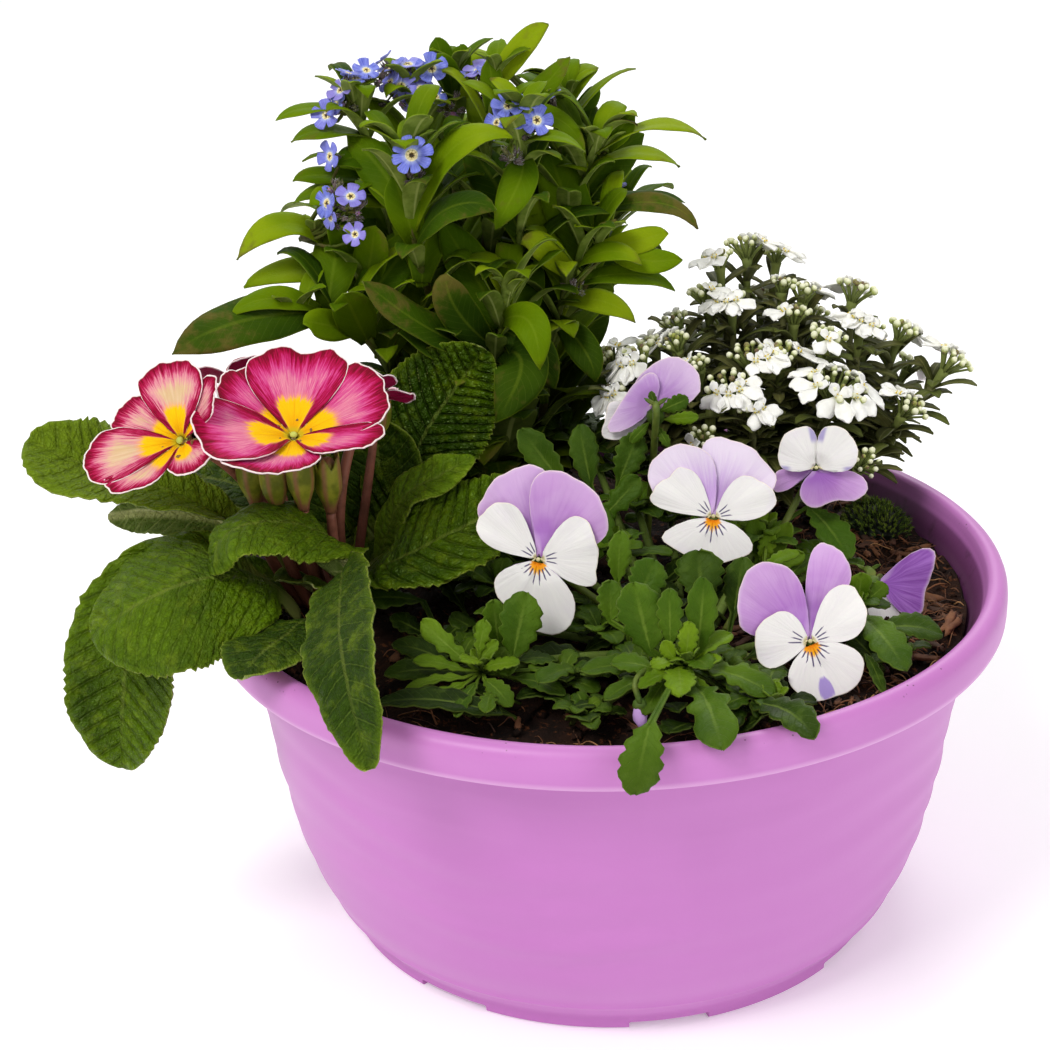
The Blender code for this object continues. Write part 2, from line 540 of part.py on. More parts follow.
# leaves: stem, place along it, control point, tip, width, way it faces, tone
MYOSOTIS_LEAVES = (
    (0, 0.79, (-82, 46, 232), (-94, 46, 228), 8, (0, -2, 9), 1),
    (0, 0.68, (-78, 42, 226), (-89, 40, 223), 10, (0, -2, 9), 0),
    (0, 0.58, (-69, 42, 218), (-76, 38, 216), 10, (0, -6, 8), 0),
    (0, 0.49, (-75, 38, 209), (-84, 34, 206), 12, (0, -6, 8), 1),
    (8, 0.77, (-91, 34, 207), (-106, 30, 191), 10, (0, -6, 8), 1),
    (0, 0.55, (-80, 42, 212), (-89, 38, 212), 7, (0, -6, 8), 0),
    (0, 0.52, (-78, 40, 209), (-89, 36, 206), 7, (0, -6, 8), 0),
    (1, 0.59, (-63, 56, 227), (-69, 54, 231), 8, (0, -6, 8), 1),
    (8, 0.59, (-74, 34, 195), (-78, 32, 203), 9, (0, -9, 4), 0),
    (8, 0.53, (-66, 32, 191), (-65, 30, 200), 11, (0, -9, 4), 0),
    (2, 0.73, (-46, 68, 239), (-48, 70, 246), 8, (0, -9, 4), 0),
    (2, 0.75, (-40, 72, 238), (-41, 74, 243), 7, (0, -9, 4), 0),
    (2, 0.69, (-42, 64, 241), (-50, 60, 240), 7, (0, -9, 4), 0),
    (11, 0.48, (-56, 28, 207), (-59, 28, 215), 11, (0, -9, 4), 0),
    (11, 0.48, (-45, 18, 212), (-29, 16, 208), 13, (0, -6, 8), 3),
    (11, 0.53, (-44, 24, 231), (-24, 22, 227), 11, (0, -6, 8), 1),
    (3, 0.78, (-24, 58, 244), (-14, 60, 251), 8, (0, -9, 4), 1),
    (3, 0.70, (-30, 54, 235), (-32, 56, 242), 7, (0, -9, 4), 0),
    (3, 0.64, (-16, 56, 230), (-8, 62, 241), 9, (0, -9, 4), 0),
    (5, 0.67, (-2, 74, 223), (0, 78, 229), 7, (0, -9, 4), 0),
    (6, 0.98, (6, 58, 219), (11, 60, 224), 9, (0, -9, 4), 0),
    (6, 0.82, (17, 60, 225), (32, 60, 216), 9, (0, -2, 9), 1),
    (6, 0.70, (11, 56, 216), (24, 56, 209), 10, (0, -2, 9), 1),
    (3, 0.65, (-12, 52, 232), (-4, 50, 215), 9, (0, -6, 8), 0),
    (4, 0.67, (-14, 34, 226), (-4, 32, 220), 7, (0, -2, 9), 1),
    (6, 0.58, (12, 62, 199), (26, 64, 196), 8, (0, -2, 9), 2),
    (6, 0.52, (19, 50, 205), (29, 48, 192), 11, (0, -6, 8), 3),
    (4, 0.62, (-20, 26, 214), (-30, 24, 200), 11, (0, -9, 4), 0),
    (7, 0.60, (-16, 38, 191), (-23, 34, 193), 9, (0, -9, 4), 1),
    (7, 0.66, (3, 38, 191), (12, 36, 185), 9, (0, -6, 8), 1),
    (7, 0.81, (13, 44, 188), (20, 44, 192), 12, (0, -9, 4), 1),
    (7, 0.87, (14, 40, 181), (24, 40, 185), 12, (0, -9, 4), 1),
    (7, 0.56, (9, 42, 183), (22, 42, 175), 9, (0, -6, 8), 0),
    (7, 0.50, (0, 36, 176), (10, 34, 168), 13, (0, -6, 8), 1),
    (9, 0.72, (-102, 16, 184), (-123, 8, 170), 14, (0, -6, 8), 3),
    (8, 0.60, (-90, 36, 187), (-105, 32, 182), 10, (0, -6, 8), 1),
    (9, 0.76, (-94, 22, 184), (-107, 18, 178), 9, (0, -6, 8), 1),
    (9, 0.57, (-81, 22, 172), (-86, 18, 175), 10, (0, -9, 4), 1),
    (9, 0.51, (-72, 22, 175), (-74, 20, 183), 13, (0, -9, 4), 0),
    (10, 0.54, (-55, 16, 172), (-68, 16, 188), 12, (0, -6, 8), 3),
    (10, 0.58, (-46, 16, 178), (-44, 18, 189), 12, (0, -9, 4), 3),
    (10, 0.73, (-18, 12, 181), (-18, 8, 163), 11, (0, -9, 4), 1),
    (10, 0.58, (-16, 14, 167), (-31, 8, 147), 17, (0, -9, 4), 2),
    (10, 0.49, (-47, 24, 164), (-59, 20, 171), 12, (0, -6, 8), 2),
    (7, 0.44, (-4, 34, 160), (-2, 30, 151), 12, (0, -9, 4), 2),
    (10, 0.68, (-20, 26, 165), (-14, 22, 152), 13, (0, -9, 4), 2),
    (12, 0.95, (-92, 102, 190), (-104, 108, 184), 11, (0, 3, 9), 0),
    (12, 0.70, (-86, 94, 176), (-100, 92, 170), 11, (0, 3, 9), 0),
    (12, 0.60, (-70, 98, 170), (-76, 112, 166), 11, (0, 3, 9), 2),
    (13, 0.98, (-40, 108, 214), (-48, 116, 212), 10, (0, 3, 9), 0),
    (13, 0.80, (-26, 108, 196), (-16, 118, 190), 11, (0, 3, 9), 0),
    (13, 0.62, (-46, 104, 180), (-56, 114, 176), 12, (0, 3, 9), 2),
    (14, 0.95, (16, 104, 192), (24, 112, 188), 11, (0, 3, 9), 0),
    (14, 0.72, (10, 98, 178), (20, 100, 170), 12, (0, 3, 9), 0),
    (14, 0.60, (-6, 98, 166), (-4, 112, 160), 12, (0, 3, 9), 2),
)
# shoots: stems that rise together
MYOSOTIS_SHOOTS = ((0,), (1, 11), (2, 3), (4, 10), (5, 14), (6, 7), (8, 9), (13, 12))
# flower clusters: name, points of the stalk, flowers on it
MYOSOTIS_CYMES = (
    ("forget_me_not_flowers_1", ((-77, 44, 226), (-78, 42, 231), (-74, 42, 238), (-72, 46, 243)),
     ((-78, 42, 231, 4.6), (-74, 42, 239, 4.6), (-71, 46, 243, 4.0))),
    ("forget_me_not_flowers_2", ((-60, 56, 236), (-60, 57, 243), (-56, 58, 246), (-50, 60, 242)),
     ((-60, 57, 242, 4.6), (-56, 58, 247, 4.4), (-49, 60, 241, 4.8))),
    ("forget_me_not_flowers_3", ((-24, 36, 228), (-22, 36, 233), (-18, 36, 233), (-13, 36, 231)),
     ((-24, 36, 231, 4.6), (-18, 36, 233, 4.4), (-13, 36, 230, 5.0))),
)


def myosotis_width(t):
    return 0.42 + 0.58 * math.sin(math.pi * min(1.0, t * 0.92 + 0.10))


def stem_line(stem, n):
    a, m, b = (vec(p) for p in stem)
    c = through(a, m, b)
    return [arc_point(a, c, b, k / n) for k in range(n + 1)]


def stem_at(stem, t):
    a, m, b = (vec(p) for p in stem)
    return arc_point(a, through(a, m, b), b, t)


def small_leaf(base, ctrl, tip, wide, face, thick=1.1, fold=0.15, n=3):
    centre = [arc_point(base, ctrl, tip, k / n) for k in range(n + 1)]
    widths = [wide * myosotis_width(k / n) for k in range(n + 1)]
    return blade_solid(centre, widths, vec(face), thick, fold)


def make_forget_me_not():
    parent = group("forget_me_not", -36, 56, SOIL_TOP)
    green = material("forget_me_not_leaf", (0.085, 0.17, 0.018), 0.5)
    blue = material("forget_me_not_petal", (0.17, 0.19, 0.70), 0.6)
    for name, line, flowers in MYOSOTIS_CYMES:
        pts = [vec(p) for p in line]
        axis = tube_solid([spline_point(pts, k / 6) for k in range(7)], 0.9, 0.7, 5)
        heads = [dome_solid(Vector((x, y, z)), Vector((0, -0.6, 0.8)), r, 1.4, 1.4, 8) for x, y, z, r in flowers]
        fuse(name, axis, heads, pts[0], parent, blue)
    for k, stems in enumerate(MYOSOTIS_SHOOTS):
        name = "forget_me_not_shoot_%d" % (k + 1)
        lines = [stem_line(MYOSOTIS_STEMS[i], 5) for i in stems]
        if len(lines) == 2:
            # the second stem branches from the first one, low down
            lines[1][0] = lines[0][0] * 0.45 + lines[0][1] * 0.55
            lines[1][1] = lines[1][0] * 0.45 + lines[1][2] * 0.55
        core = tube_solid(lines[0], 2.0, 1.1, 5, True)
        leaves = {i: GrowthList() for i in stems}
        for s, t, ctrl, tip, wide, face, tone in MYOSOTIS_LEAVES:
            if s in stems:
                base = stem_at(MYOSOTIS_STEMS[s], t)
                leaves[s].append(small_leaf(base, vec(ctrl), vec(tip), wide, face))
        extras = list(leaves[stems[0]])
        for i, line in zip(stems[1:], lines[1:]):
            extras.append((tube_solid(line, 1.5, 1.0, 5), leaves[i]))
        fuse(name, core, extras, lines[0][0], parent, green)


# ------------------------------------------------------------------ candytuft
# flower heads: x, y, z, radius; the shoots divide below them
CANDYTUFT_HEADS = (
    ((45, 75, 180, 9), (36, 70, 177, 7), (31, 64, 168, 8), (39, 58, 167, 7), (55, 82, 174, 6)),
    ((21, 46, 158, 7), (9, 40, 156, 9), (3, 34, 147, 6), (0, 47, 155, 6), (22, 57, 161, 6)),
    ((44, 36, 157, 9), (36, 24, 152, 9), (43, 18, 147, 6), (28, 12, 139, 6), (54, 40, 156, 8)),
    ((63, 70, 166, 8), (59, 56, 163, 7), (68, 46, 159, 8), (70, 26, 151, 13)),
    ((80, 74, 165, 9), (81, 58, 159, 8), (94, 62, 155, 8), (108, 50, 149, 10), (93, 34, 140, 8), (76, 8, 132, 7)),
)
CANDYTUFT_FEET = ((46, 58), (41, 50), (50, 41), (57, 57), (64, 47))
BIG_HEADS = {(44, 36): "candytuft_flower_head_1", (9, 40): "candytuft_flower_head_2",
             (70, 26): "candytuft_flower_head_3", (45, 75): "candytuft_flower_head_4"}


def make_candytuft():
    parent = group("candytuft", 53, 50, SOIL_TOP)
    green = material("candytuft_leaf", (0.045, 0.06, 0.03), 0.55)
    white = material("candytuft_petal", (0.80, 0.80, 0.76), 0.6)
    shoots = []
    for k, (heads, foot) in enumerate(zip(CANDYTUFT_HEADS, CANDYTUFT_FEET)):
        foot = Vector((foot[0], foot[1], 98.0))
        centre = sum((Vector(h[:3]) for h in heads), Vector()) / len(heads)
        fork = foot * 0.55 + centre * 0.45
        fork.z = 118.0
        core = tube_solid([foot, foot * 0.5 + fork * 0.5 + Vector((0, 0, 2)), fork], 2.2, 1.8, 6, True)
        extras = []
        for j, (x, y, z, r) in enumerate(heads):
            top = Vector((x, y, z))
            out = (top - Vector((50, 45, 95))).normalized()
            end = top - out * 2.0
            big = BIG_HEADS.get((x, y))
            if big:
                end = top - out * (5.4 + GAP)
                head = dome_solid(top, out, r, 4.5, 5.0, 8)
                add(big, mesh_of(big, head, top), top, parent, white, 50)
                take(big, head)
            ctrl = Vector((fork.x * 0.35 + end.x * 0.65, fork.y * 0.35 + end.y * 0.65, (fork.z + end.z) * 0.5 - 3))
            line = [arc_point(fork - Vector((0, 0, 1)), ctrl, end, i / 3) for i in range(4)]
            growth = GrowthList()
            extras.append((tube_solid(line, 1.3, 0.9, 4), growth))
            if not big:
                growth.append(dome_solid(top, out, r, 4.0, 3.6, 6))
            for i in range(1 + j % 2):
                t = 0.45 + 0.25 * i
                a = 2.4 * i + j + k
                base = arc_point(line[0], ctrl, end, t)
                d = Vector((math.cos(a), math.sin(a), 0.0))
                tip = base + d * 11 + Vector((0, 0, 4.5))
                growth.append(small_leaf(base, base + d * 6 + Vector((0, 0, 5)), tip, 2.8, (0, 0, 1), 0.9, 0.1, 2))
        shoots.append(("candytuft_shoot_%d" % (k + 1), core, extras, foot, parent, green))
    for shoot in shoots:
        fuse(*shoot)


# ------------------------------------------------------------------ viola
# flowers: name, centre, way it faces, half width, height above and below the centre, foot of the stalk
VIOLA_FLOWERS = (
    ("viola_flower_1", (-18, -46, 127), (-1, -9, 3), 17.0, 20.0, 21.0, (14, -38, 98)),
    ("viola_flower_2", (30, -22, 128), (0, -8, 5), 17.0, 20.0, 15.0, (25, -34, 98)),
    ("viola_flower_3", (53, -66, 111), (0, -8, 5), 16.5, 19.0, 16.0, (36, -48, 98)),
    ("viola_flower_4", (63, -4, 135), (-1, 8, 4), 14.0, 13.0, 13.0, (33, -32, 98)),
    ("viola_flower_5", (13, 10, 150), (-8, 3, 4), 14.0, 13.0, 14.0, (20, -30, 98)),
    ("viola_flower_6", (83, -18, 105), (8, 2, 2), 12.0, 11.0, 11.0, (42, -35, 98)),
)
# leafy shoots: foot, top, length of the leaves, number of leaves, turn of the whorl in degrees
VIOLA_SHOOTS = (
    ("viola_shoot_1", (12, -47, 98), (-33, -68, 105), 17, 8, 10),
    ("viola_shoot_2", (22, -52, 98), (20, -80, 112), 20, 9, 30),
    ("viola_shoot_3", (16, -33, 98), (1, -14, 116), 17, 8, 0),
    ("viola_shoot_4", (30, -28, 98), (46, -6, 116), 16, 7, 50),
    ("viola_shoot_5", (42, -46, 98), (67, -38, 106), 18, 6, 20),
    ("viola_shoot_6", (30, -55, 98), (42, -88, 104), 17, 6, 75),
)
VIOLA_OVER_RIM = (((19, -92, 111), (12, -110, 112), (8, -119, 98)), ((26, -93, 111), (28, -108, 114), (30, -115, 108)),
                  ((47, -93, 110), (56, -98, 113), (62, -102, 109)))


def viola_width(t):
    return 0.18 + 0.82 * math.sin(math.pi * min(1.0, max(0.0, (t - 0.15) / 0.80))) ** 0.8


def make_viola():
    parent = group("viola", 24, -42, SOIL_TOP)
    green = material("viola_leaf", (0.04, 0.10, 0.02), 0.5)
    lilac = material("viola_petal", (0.74, 0.70, 0.82), 0.55)
    for name, c, face, half, above, below, foot in VIOLA_FLOWERS:
        c, n, foot = vec(c), vec(face).normalized(), vec(foot)
        right = n.cross(Vector((0, 0, 1))).normalized() * -1
        up = n.cross(right)
        steps = 15
        outline = []
        for i in range(steps):
            a = 2 * math.pi * i / steps
            high = above if math.sin(a) > 0 else below
            r = 1.0 / math.sqrt((math.cos(a) / half) ** 2 + (math.sin(a) / high) ** 2)
            outline.append(r * (0.93 + 0.07 * math.cos(5 * (a - math.pi * 1.5))))
        face_solid = outline_solid(c, right, up, outline, 1.6, -0.05)
        back = c - n * 5
        top = back + Vector((0, 0, 3))
        rise = (foot + back) * 0.5 + Vector((0, 0, 8)) - n * 4
        line = [foot, rise * 0.75 + foot * 0.25, back * 0.6 + rise * 0.4 + Vector((0, 0, 1)), back, c - n * 0.3]
        pts = [spline_point(line, k / 6) for k in range(7)]
        stalk = tube_solid(pts, 1.1, 1.1, 4, True)
        take(name, face_solid)
        fuse(name, face_solid, [stalk], c, parent, lilac)
    for k, (name, foot, top, long, count, turn) in enumerate(VIOLA_SHOOTS):
        foot, top = vec(foot), vec(top)
        mid = (foot + top) * 0.5 + Vector((0, 0, 1.5))
        ctrl = through(foot, mid, top)
        line = [arc_point(foot, ctrl, top, i / 4) for i in range(5)]
        core = tube_solid(line, 1.7, 1.5, 5, True)
        extras = []
        for i in range(count):
            a = math.radians(turn + i * 137.5)
            rise = 0.15 + 0.75 * i / count
            reach = long * (1.0 - 0.45 * i / count)
            base = arc_point(foot, ctrl, top, 0.98 - 0.10 * (1 - i / count))
            d = Vector((math.cos(a), math.sin(a), 0.0))
            tip = base + d * reach * (1 - 0.35 * rise) + Vector((0, 0, reach * rise * 0.8 - 1.0))
            extras.append(blade_solid([arc_point(base, base + d * reach * 0.5 + Vector((0, 0, 2 + reach * rise * 0.5)), tip, q / 4)
                                       for q in (0, 1.6, 2.8, 4)],
                                      [long * 0.46 * viola_width(q / 4) for q in (0, 1.6, 2.8, 4)], Vector((0, 0, 1)) - d * 0.1, 1.0, 0.1))
        if name == "viola_shoot_2":
            for b, c, t in VIOLA_OVER_RIM[:2]:
                b, c, t = vec(b), vec(c), vec(t)
                extras.append(blade_solid([arc_point(top, (top + b) * 0.5, b, q / 2) for q in range(2)]
                                          + [arc_point(b, c, t, q / 4) for q in range(5)],
                                          [2.0, 2.0, 3.0, 9.0, 11.0, 9.0, 1.0], Vector((0, -4, 9)), 1.0, 0.0))
        if name == "viola_shoot_6":
            b, c, t = (vec(p) for p in VIOLA_OVER_RIM[2])
            extras.append(blade_solid([arc_point(top, (top + b) * 0.5 + Vector((0, 0, 2)), b, q / 2) for q in range(2)]
                                      + [arc_point(b, c, t, q / 4) for q in range(5)],
                                      [2.0, 2.0, 3.0, 9.0, 11.0, 9.0, 1.0], Vector((0, -2, 9)), 1.0, 0.0))
        fuse(name, core, extras, foot, parent, green)


# ------------------------------------------------------------------ build


def build():
    clean()
    planter = group("planter", 0, 0, 0)
    bowl = make_bowl(planter)
    # the rim and the wall count as taken when the plants are laid over them
    rim = turned([(r, z) for r, z in ((109.0, 90.0), (115.3, 94.0), (115.3, 104.0), (111.5, 106.8), (108.6, 105.4), (105.0, 90.0))]
                 + [(109.0, 90.0)], BOWL_SIDES)
    take("planting_bowl", rim)
    make_soil(planter)
    make_primula()
    make_viola()
    make_forget_me_not()
    make_candytuft()


build()
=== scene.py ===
import math
import random

import bmesh
import bpy
import numpy as np
from mathutils import Matrix, Vector, noise


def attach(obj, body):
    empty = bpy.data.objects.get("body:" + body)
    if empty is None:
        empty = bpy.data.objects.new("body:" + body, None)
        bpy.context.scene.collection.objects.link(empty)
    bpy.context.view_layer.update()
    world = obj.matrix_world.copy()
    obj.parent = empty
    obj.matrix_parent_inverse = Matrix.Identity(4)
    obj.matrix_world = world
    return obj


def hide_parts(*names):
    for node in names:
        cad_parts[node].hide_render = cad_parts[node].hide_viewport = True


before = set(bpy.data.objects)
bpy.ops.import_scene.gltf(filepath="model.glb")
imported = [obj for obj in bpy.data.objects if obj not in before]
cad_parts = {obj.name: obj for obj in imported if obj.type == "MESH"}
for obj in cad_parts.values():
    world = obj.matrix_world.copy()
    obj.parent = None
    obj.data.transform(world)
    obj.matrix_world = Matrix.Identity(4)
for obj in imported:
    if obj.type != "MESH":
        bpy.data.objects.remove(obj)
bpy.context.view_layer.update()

MM = 0.001
BODY = "root"

# ------------------------------------------------------------------ colours and node graphs


def srgb(r, g, b):
    out = []
    for c in (r, g, b):
        c = c / 255.0
        out.append(c / 12.92 if c <= 0.04045 else ((c + 0.055) / 1.055) ** 2.4)
    return tuple(out)


class X:
    """A value, vector or colour inside a material, with the usual operators."""

    def __init__(self, g, s):
        self.g, self.s = g, s

    def __add__(self, o): return self.g.math("ADD", self, o)
    def __radd__(self, o): return self.g.math("ADD", o, self)
    def __sub__(self, o): return self.g.math("SUBTRACT", self, o)
    def __rsub__(self, o): return self.g.math("SUBTRACT", o, self)
    def __mul__(self, o): return self.g.math("MULTIPLY", self, o)
    def __rmul__(self, o): return self.g.math("MULTIPLY", o, self)
    def __truediv__(self, o): return self.g.math("DIVIDE", self, o)
    def __pow__(self, o): return self.g.math("POWER", self, o)
    def abs(self): return self.g.math("ABSOLUTE", self, 0.0)
    def sin(self): return self.g.math("SINE", self, 0.0)
    def floor(self): return self.g.math("FLOOR", self, 0.0)
    def fract(self): return self.g.math("FRACT", self, 0.0)
    def min(self, o): return self.g.math("MINIMUM", self, o)
    def max(self, o): return self.g.math("MAXIMUM", self, o)


class Graph:
    """A Principled material built from expressions."""

    def __init__(self, name):
        self.mat = bpy.data.materials.new(name)
        self.mat.use_nodes = True
        self.nt = self.mat.node_tree
        self.bsdf = self.nt.nodes["Principled BSDF"]
        self.cache = {}

    def new(self, kind, **props):
        n = self.nt.nodes.new(kind)
        for k, v in props.items():
            setattr(n, k, v)
        return n

    def put(self, sock, v):
        if isinstance(v, X):
            self.nt.links.new(v.s, sock)
        elif isinstance(v, (tuple, list)):
            v = tuple(v)
            sock.default_value = v + (1.0,) if len(v) == 3 and sock.type == "RGBA" else v
        elif sock.type == "RGBA":
            sock.default_value = (v, v, v, 1.0)
        elif sock.type == "VECTOR":
            sock.default_value = (v, v, v)
        else:
            sock.default_value = v

    def set(self, name, v):
        self.put(self.bsdf.inputs[name], v)

    def math(self, op, a, b, clamp=False):
        n = self.new("ShaderNodeMath", operation=op, use_clamp=clamp)
        self.put(n.inputs[0], a)
        self.put(n.inputs[1], b)
        return X(self, n.outputs[0])

    def attr(self, name):
        """The x, y and z of a vector attribute of the mesh."""
        if name not in self.cache:
            n = self.new("ShaderNodeAttribute", attribute_name=name)
            s = self.new("ShaderNodeSeparateXYZ")
            self.nt.links.new(n.outputs["Vector"], s.inputs[0])
            self.cache[name] = tuple(X(self, s.outputs[i]) for i in range(3))
        return self.cache[name]

    def place(self):
        """Where the point is, in metres."""
        if "place" not in self.cache:
            n = self.new("ShaderNodeTexCoord")
            self.cache["place"] = X(self, n.outputs["Object"])
        return self.cache["place"]

    def vec(self, x, y, z):
        n = self.new("ShaderNodeCombineXYZ")
        for i, v in enumerate((x, y, z)):
            self.put(n.inputs[i], v)
        return X(self, n.outputs[0])

    def noise(self, vector, scale, detail=2.0, rough=0.5, warp=0.0):
        n = self.new("ShaderNodeTexNoise")
        self.put(n.inputs["Vector"], vector)
        n.inputs["Scale"].default_value = scale
        n.inputs["Detail"].default_value = detail
        n.inputs["Roughness"].default_value = rough
        n.inputs["Distortion"].default_value = warp
        return X(self, n.outputs[0])

    def cells(self, vector, scale, feature="F1", random_=1.0):
        n = self.new("ShaderNodeTexVoronoi", feature=feature)
        self.put(n.inputs["Vector"], vector)
        n.inputs["Scale"].default_value = scale
        n.inputs["Randomness"].default_value = random_
        return X(self, n.outputs["Distance"])

    def ease(self, x, lo, hi, out_lo=0.0, out_hi=1.0):
        n = self.new("ShaderNodeMapRange", interpolation_type="SMOOTHSTEP")
        self.put(n.inputs["Value"], x)
        n.inputs["From Min"].default_value = lo
        n.inputs["From Max"].default_value = hi
        n.inputs["To Min"].default_value = out_lo
        n.inputs["To Max"].default_value = out_hi
        return X(self, n.outputs[0])

    def mix(self, f, a, b, how="MIX"):
        n = self.new("ShaderNodeMix", data_type="RGBA", blend_type=how)
        self.put(n.inputs[0], f)
        self.put(n.inputs[6], a)
        self.put(n.inputs[7], b)
        return X(self, n.outputs[2])

    def scale(self, colour, f):
        """The colour made lighter or darker by f."""
        n = self.new("ShaderNodeVectorMath", operation="SCALE")
        self.put(n.inputs[0], colour)
        self.put(n.inputs["Scale"], f)
        return X(self, n.outputs[0])

    def bump(self, height, strength=0.5, dist=0.001):
        n = self.new("ShaderNodeBump")
        n.inputs["Strength"].default_value = strength
        n.inputs["Distance"].default_value = dist
        self.put(n.inputs["Height"], height)
        self.nt.links.new(n.outputs[0], self.bsdf.inputs["Normal"])


# ------------------------------------------------------------------ meshes as arrays, in millimetres


def arr(p):
    return np.asarray(p, dtype=float)


def unit(v):
    v = np.asarray(v, dtype=float)
    n = np.linalg.norm(v, axis=-1, keepdims=True)
    return v / np.maximum(n, 1e-9)


class Shape:
    """Faces gathered for one piece: points in millimetres and named vectors on each point."""

    def __init__(self):
        self.v, self.f, self.a, self.n = [], [], {}, 0

    def add(self, verts, faces, **named):
        verts = np.asarray(verts, dtype=float).reshape(-1, 3)
        count = len(verts)
        self.v.append(verts)
        for f in (faces if isinstance(faces, (list, tuple)) else [faces]):
            f = np.asarray(f, dtype=np.int64)
            if len(f):
                self.f.append(f + self.n)
        for k, val in named.items():
            val = np.broadcast_to(np.asarray(val, dtype=float), (count, 3))
            self.a.setdefault(k, []).append((self.n, val))
        self.n += count

    def triangles(self):
        return int(sum(len(f) * (f.shape[1] - 2) for f in self.f))

    def build(self, name, mat, smooth=True):
        verts = np.concatenate(self.v) * MM
        me = bpy.data.meshes.new(name)
        me.vertices.add(len(verts))
        me.vertices.foreach_set("co", verts.ravel())
        sizes = np.concatenate([np.full(len(f), f.shape[1]) for f in self.f])
        loops = np.concatenate([f.ravel() for f in self.f])
        me.loops.add(len(loops))
        me.loops.foreach_set("vertex_index", loops)
        me.polygons.add(len(sizes))
        me.polygons.foreach_set("loop_start", np.concatenate([[0], np.cumsum(sizes)[:-1]]))
        me.update(calc_edges=True)
        me.polygons.foreach_set("use_smooth", np.full(len(sizes), smooth))
        for k, parts in self.a.items():
            full = np.zeros((len(verts), 3))
            for at, val in parts:
                full[at:at + len(val)] = val
            me.attributes.new(k, "FLOAT_VECTOR", "POINT").data.foreach_set("vector", full.ravel())
        me.validate()
        me.update()
        ob = bpy.data.objects.new(name, me)
        bpy.context.scene.collection.objects.link(ob)
        me.materials.append(mat)
        return ob


TOTAL, PIECES = {}, []


def piece(shape, name, mat, nodes=(), smooth=True):
    ob = shape.build(name, mat, smooth)
    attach(ob, BODY)
    if nodes:
        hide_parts(*nodes)
    TOTAL[name] = shape.triangles()
    PIECES.append(ob)
    return ob


def catmull(points, ts):
    """Points on a smooth curve through the given points, at ts from 0 to 1."""
    p = arr(points)
    n = len(p) - 1
    ext = np.vstack([2 * p[0] - p[1], p, 2 * p[-1] - p[-2]])
    s = np.clip(np.asarray(ts), 0, 1) * n
    i = np.minimum(s.astype(int), n - 1)
    f = (s - i)[:, None]
    a, b, c, d = ext[i], ext[i + 1], ext[i + 2], ext[i + 3]
    return 0.5 * (2 * b + (c - a) * f + (2 * a - 5 * b + 4 * c - d) * f ** 2 + (3 * b - a - 3 * c + d) * f ** 3)


def arc(a, c, b, ts):
    """Quadratic curve from a to b pulled towards c."""
    t = np.asarray(ts)[:, None]
    return arr(a) * (1 - t) ** 2 + arr(c) * (2 * t * (1 - t)) + arr(b) * t * t


def along(line):
    """Tangents of a line of points."""
    t = np.gradient(line, axis=0)
    return unit(t)


def length_of(line):
    return float(np.linalg.norm(np.diff(line, axis=0), axis=1).sum())


def grid_faces(n, m, start=0, flip=False):
    i, j = np.meshgrid(np.arange(n - 1), np.arange(m - 1), indexing="ij")
    a = (start + i * m + j).ravel()
    q = np.stack([a, a + 1, a + m + 1, a + m], axis=1)
    return q[:, ::-1] if flip else q


def sheet(shape, grid, thick, **named):
    """A thin closed body over a grid of points, thick to each side of it; named values are per point or constant."""
    n, m, _ = grid.shape
    along_ = np.gradient(grid, axis=0)
    across = np.gradient(grid, axis=1)
    nrm = unit(np.cross(across, along_))
    half = np.asarray(thick) * 0.5
    if np.ndim(half) == 2:
        half = half[:, :, None]
    front, back = grid + nrm * half, grid - nrm * half
    k = n * m
    idx = np.arange(k).reshape(n, m)
    ring = np.concatenate([idx[0, :-1], idx[:-1, -1], idx[-1, :0:-1], idx[:0:-1, 0]])
    nxt = np.roll(ring, -1)
    rim = np.stack([ring, ring + k, nxt + k, nxt], axis=1)
    faces = [np.concatenate([grid_faces(n, m), grid_faces(n, m, k, True), rim])]
    vals = {}
    for key, val in named.items():
        val = np.broadcast_to(np.asarray(val, dtype=float), (n, m, 3)).reshape(-1, 3)
        vals[key] = np.concatenate([val, val])
    side = np.zeros((2 * k, 3))
    side[:k, 0] = 1.0
    vals["side"] = side
    shape.add(np.concatenate([front.reshape(-1, 3), back.reshape(-1, 3)]), faces, **vals)


def tube(shape, line, radii, sides=8, face=(0.03, -1.0, 0.02), **named):
    """A closed round stem along a line."""
    line = arr(line)
    n = len(line)
    t = along(line)
    s = unit(np.cross(t, arr(face)))
    u = np.cross(s, t)
    r = np.broadcast_to(np.asarray(radii, dtype=float), (n,))[:, None, None]
    a = -2 * np.pi * np.arange(sides) / sides
    ring = line[:, None, :] + r * (s[:, None, :] * np.cos(a)[None, :, None] + u[:, None, :] * np.sin(a)[None, :, None])
    verts = np.concatenate([ring.reshape(-1, 3), line[:1], line[-1:]])
    faces = []
    i = np.arange(sides)
    j = (i + 1) % sides
    for k in range(n - 1):
        faces.append(np.stack([k * sides + i, k * sides + j, (k + 1) * sides + j, (k + 1) * sides + i], axis=1))
    last = (n - 1) * sides
    c0, c1 = n * sides, n * sides + 1
    tri0 = np.stack([np.full(sides, c0), j, i], axis=1)
    tri1 = np.stack([np.full(sides, c1), last + i, last + j], axis=1)
    vals = {}
    at = np.concatenate([np.repeat(np.linspace(0, 1, n), sides), [0.0, 1.0]])
    lf = np.zeros((len(verts), 3))
    lf[:, 1] = at
    vals["lf"] = lf
    for key, val in named.items():
        vals[key] = val
    shape.add(verts, [np.concatenate(faces), tri0, tri1], **vals)


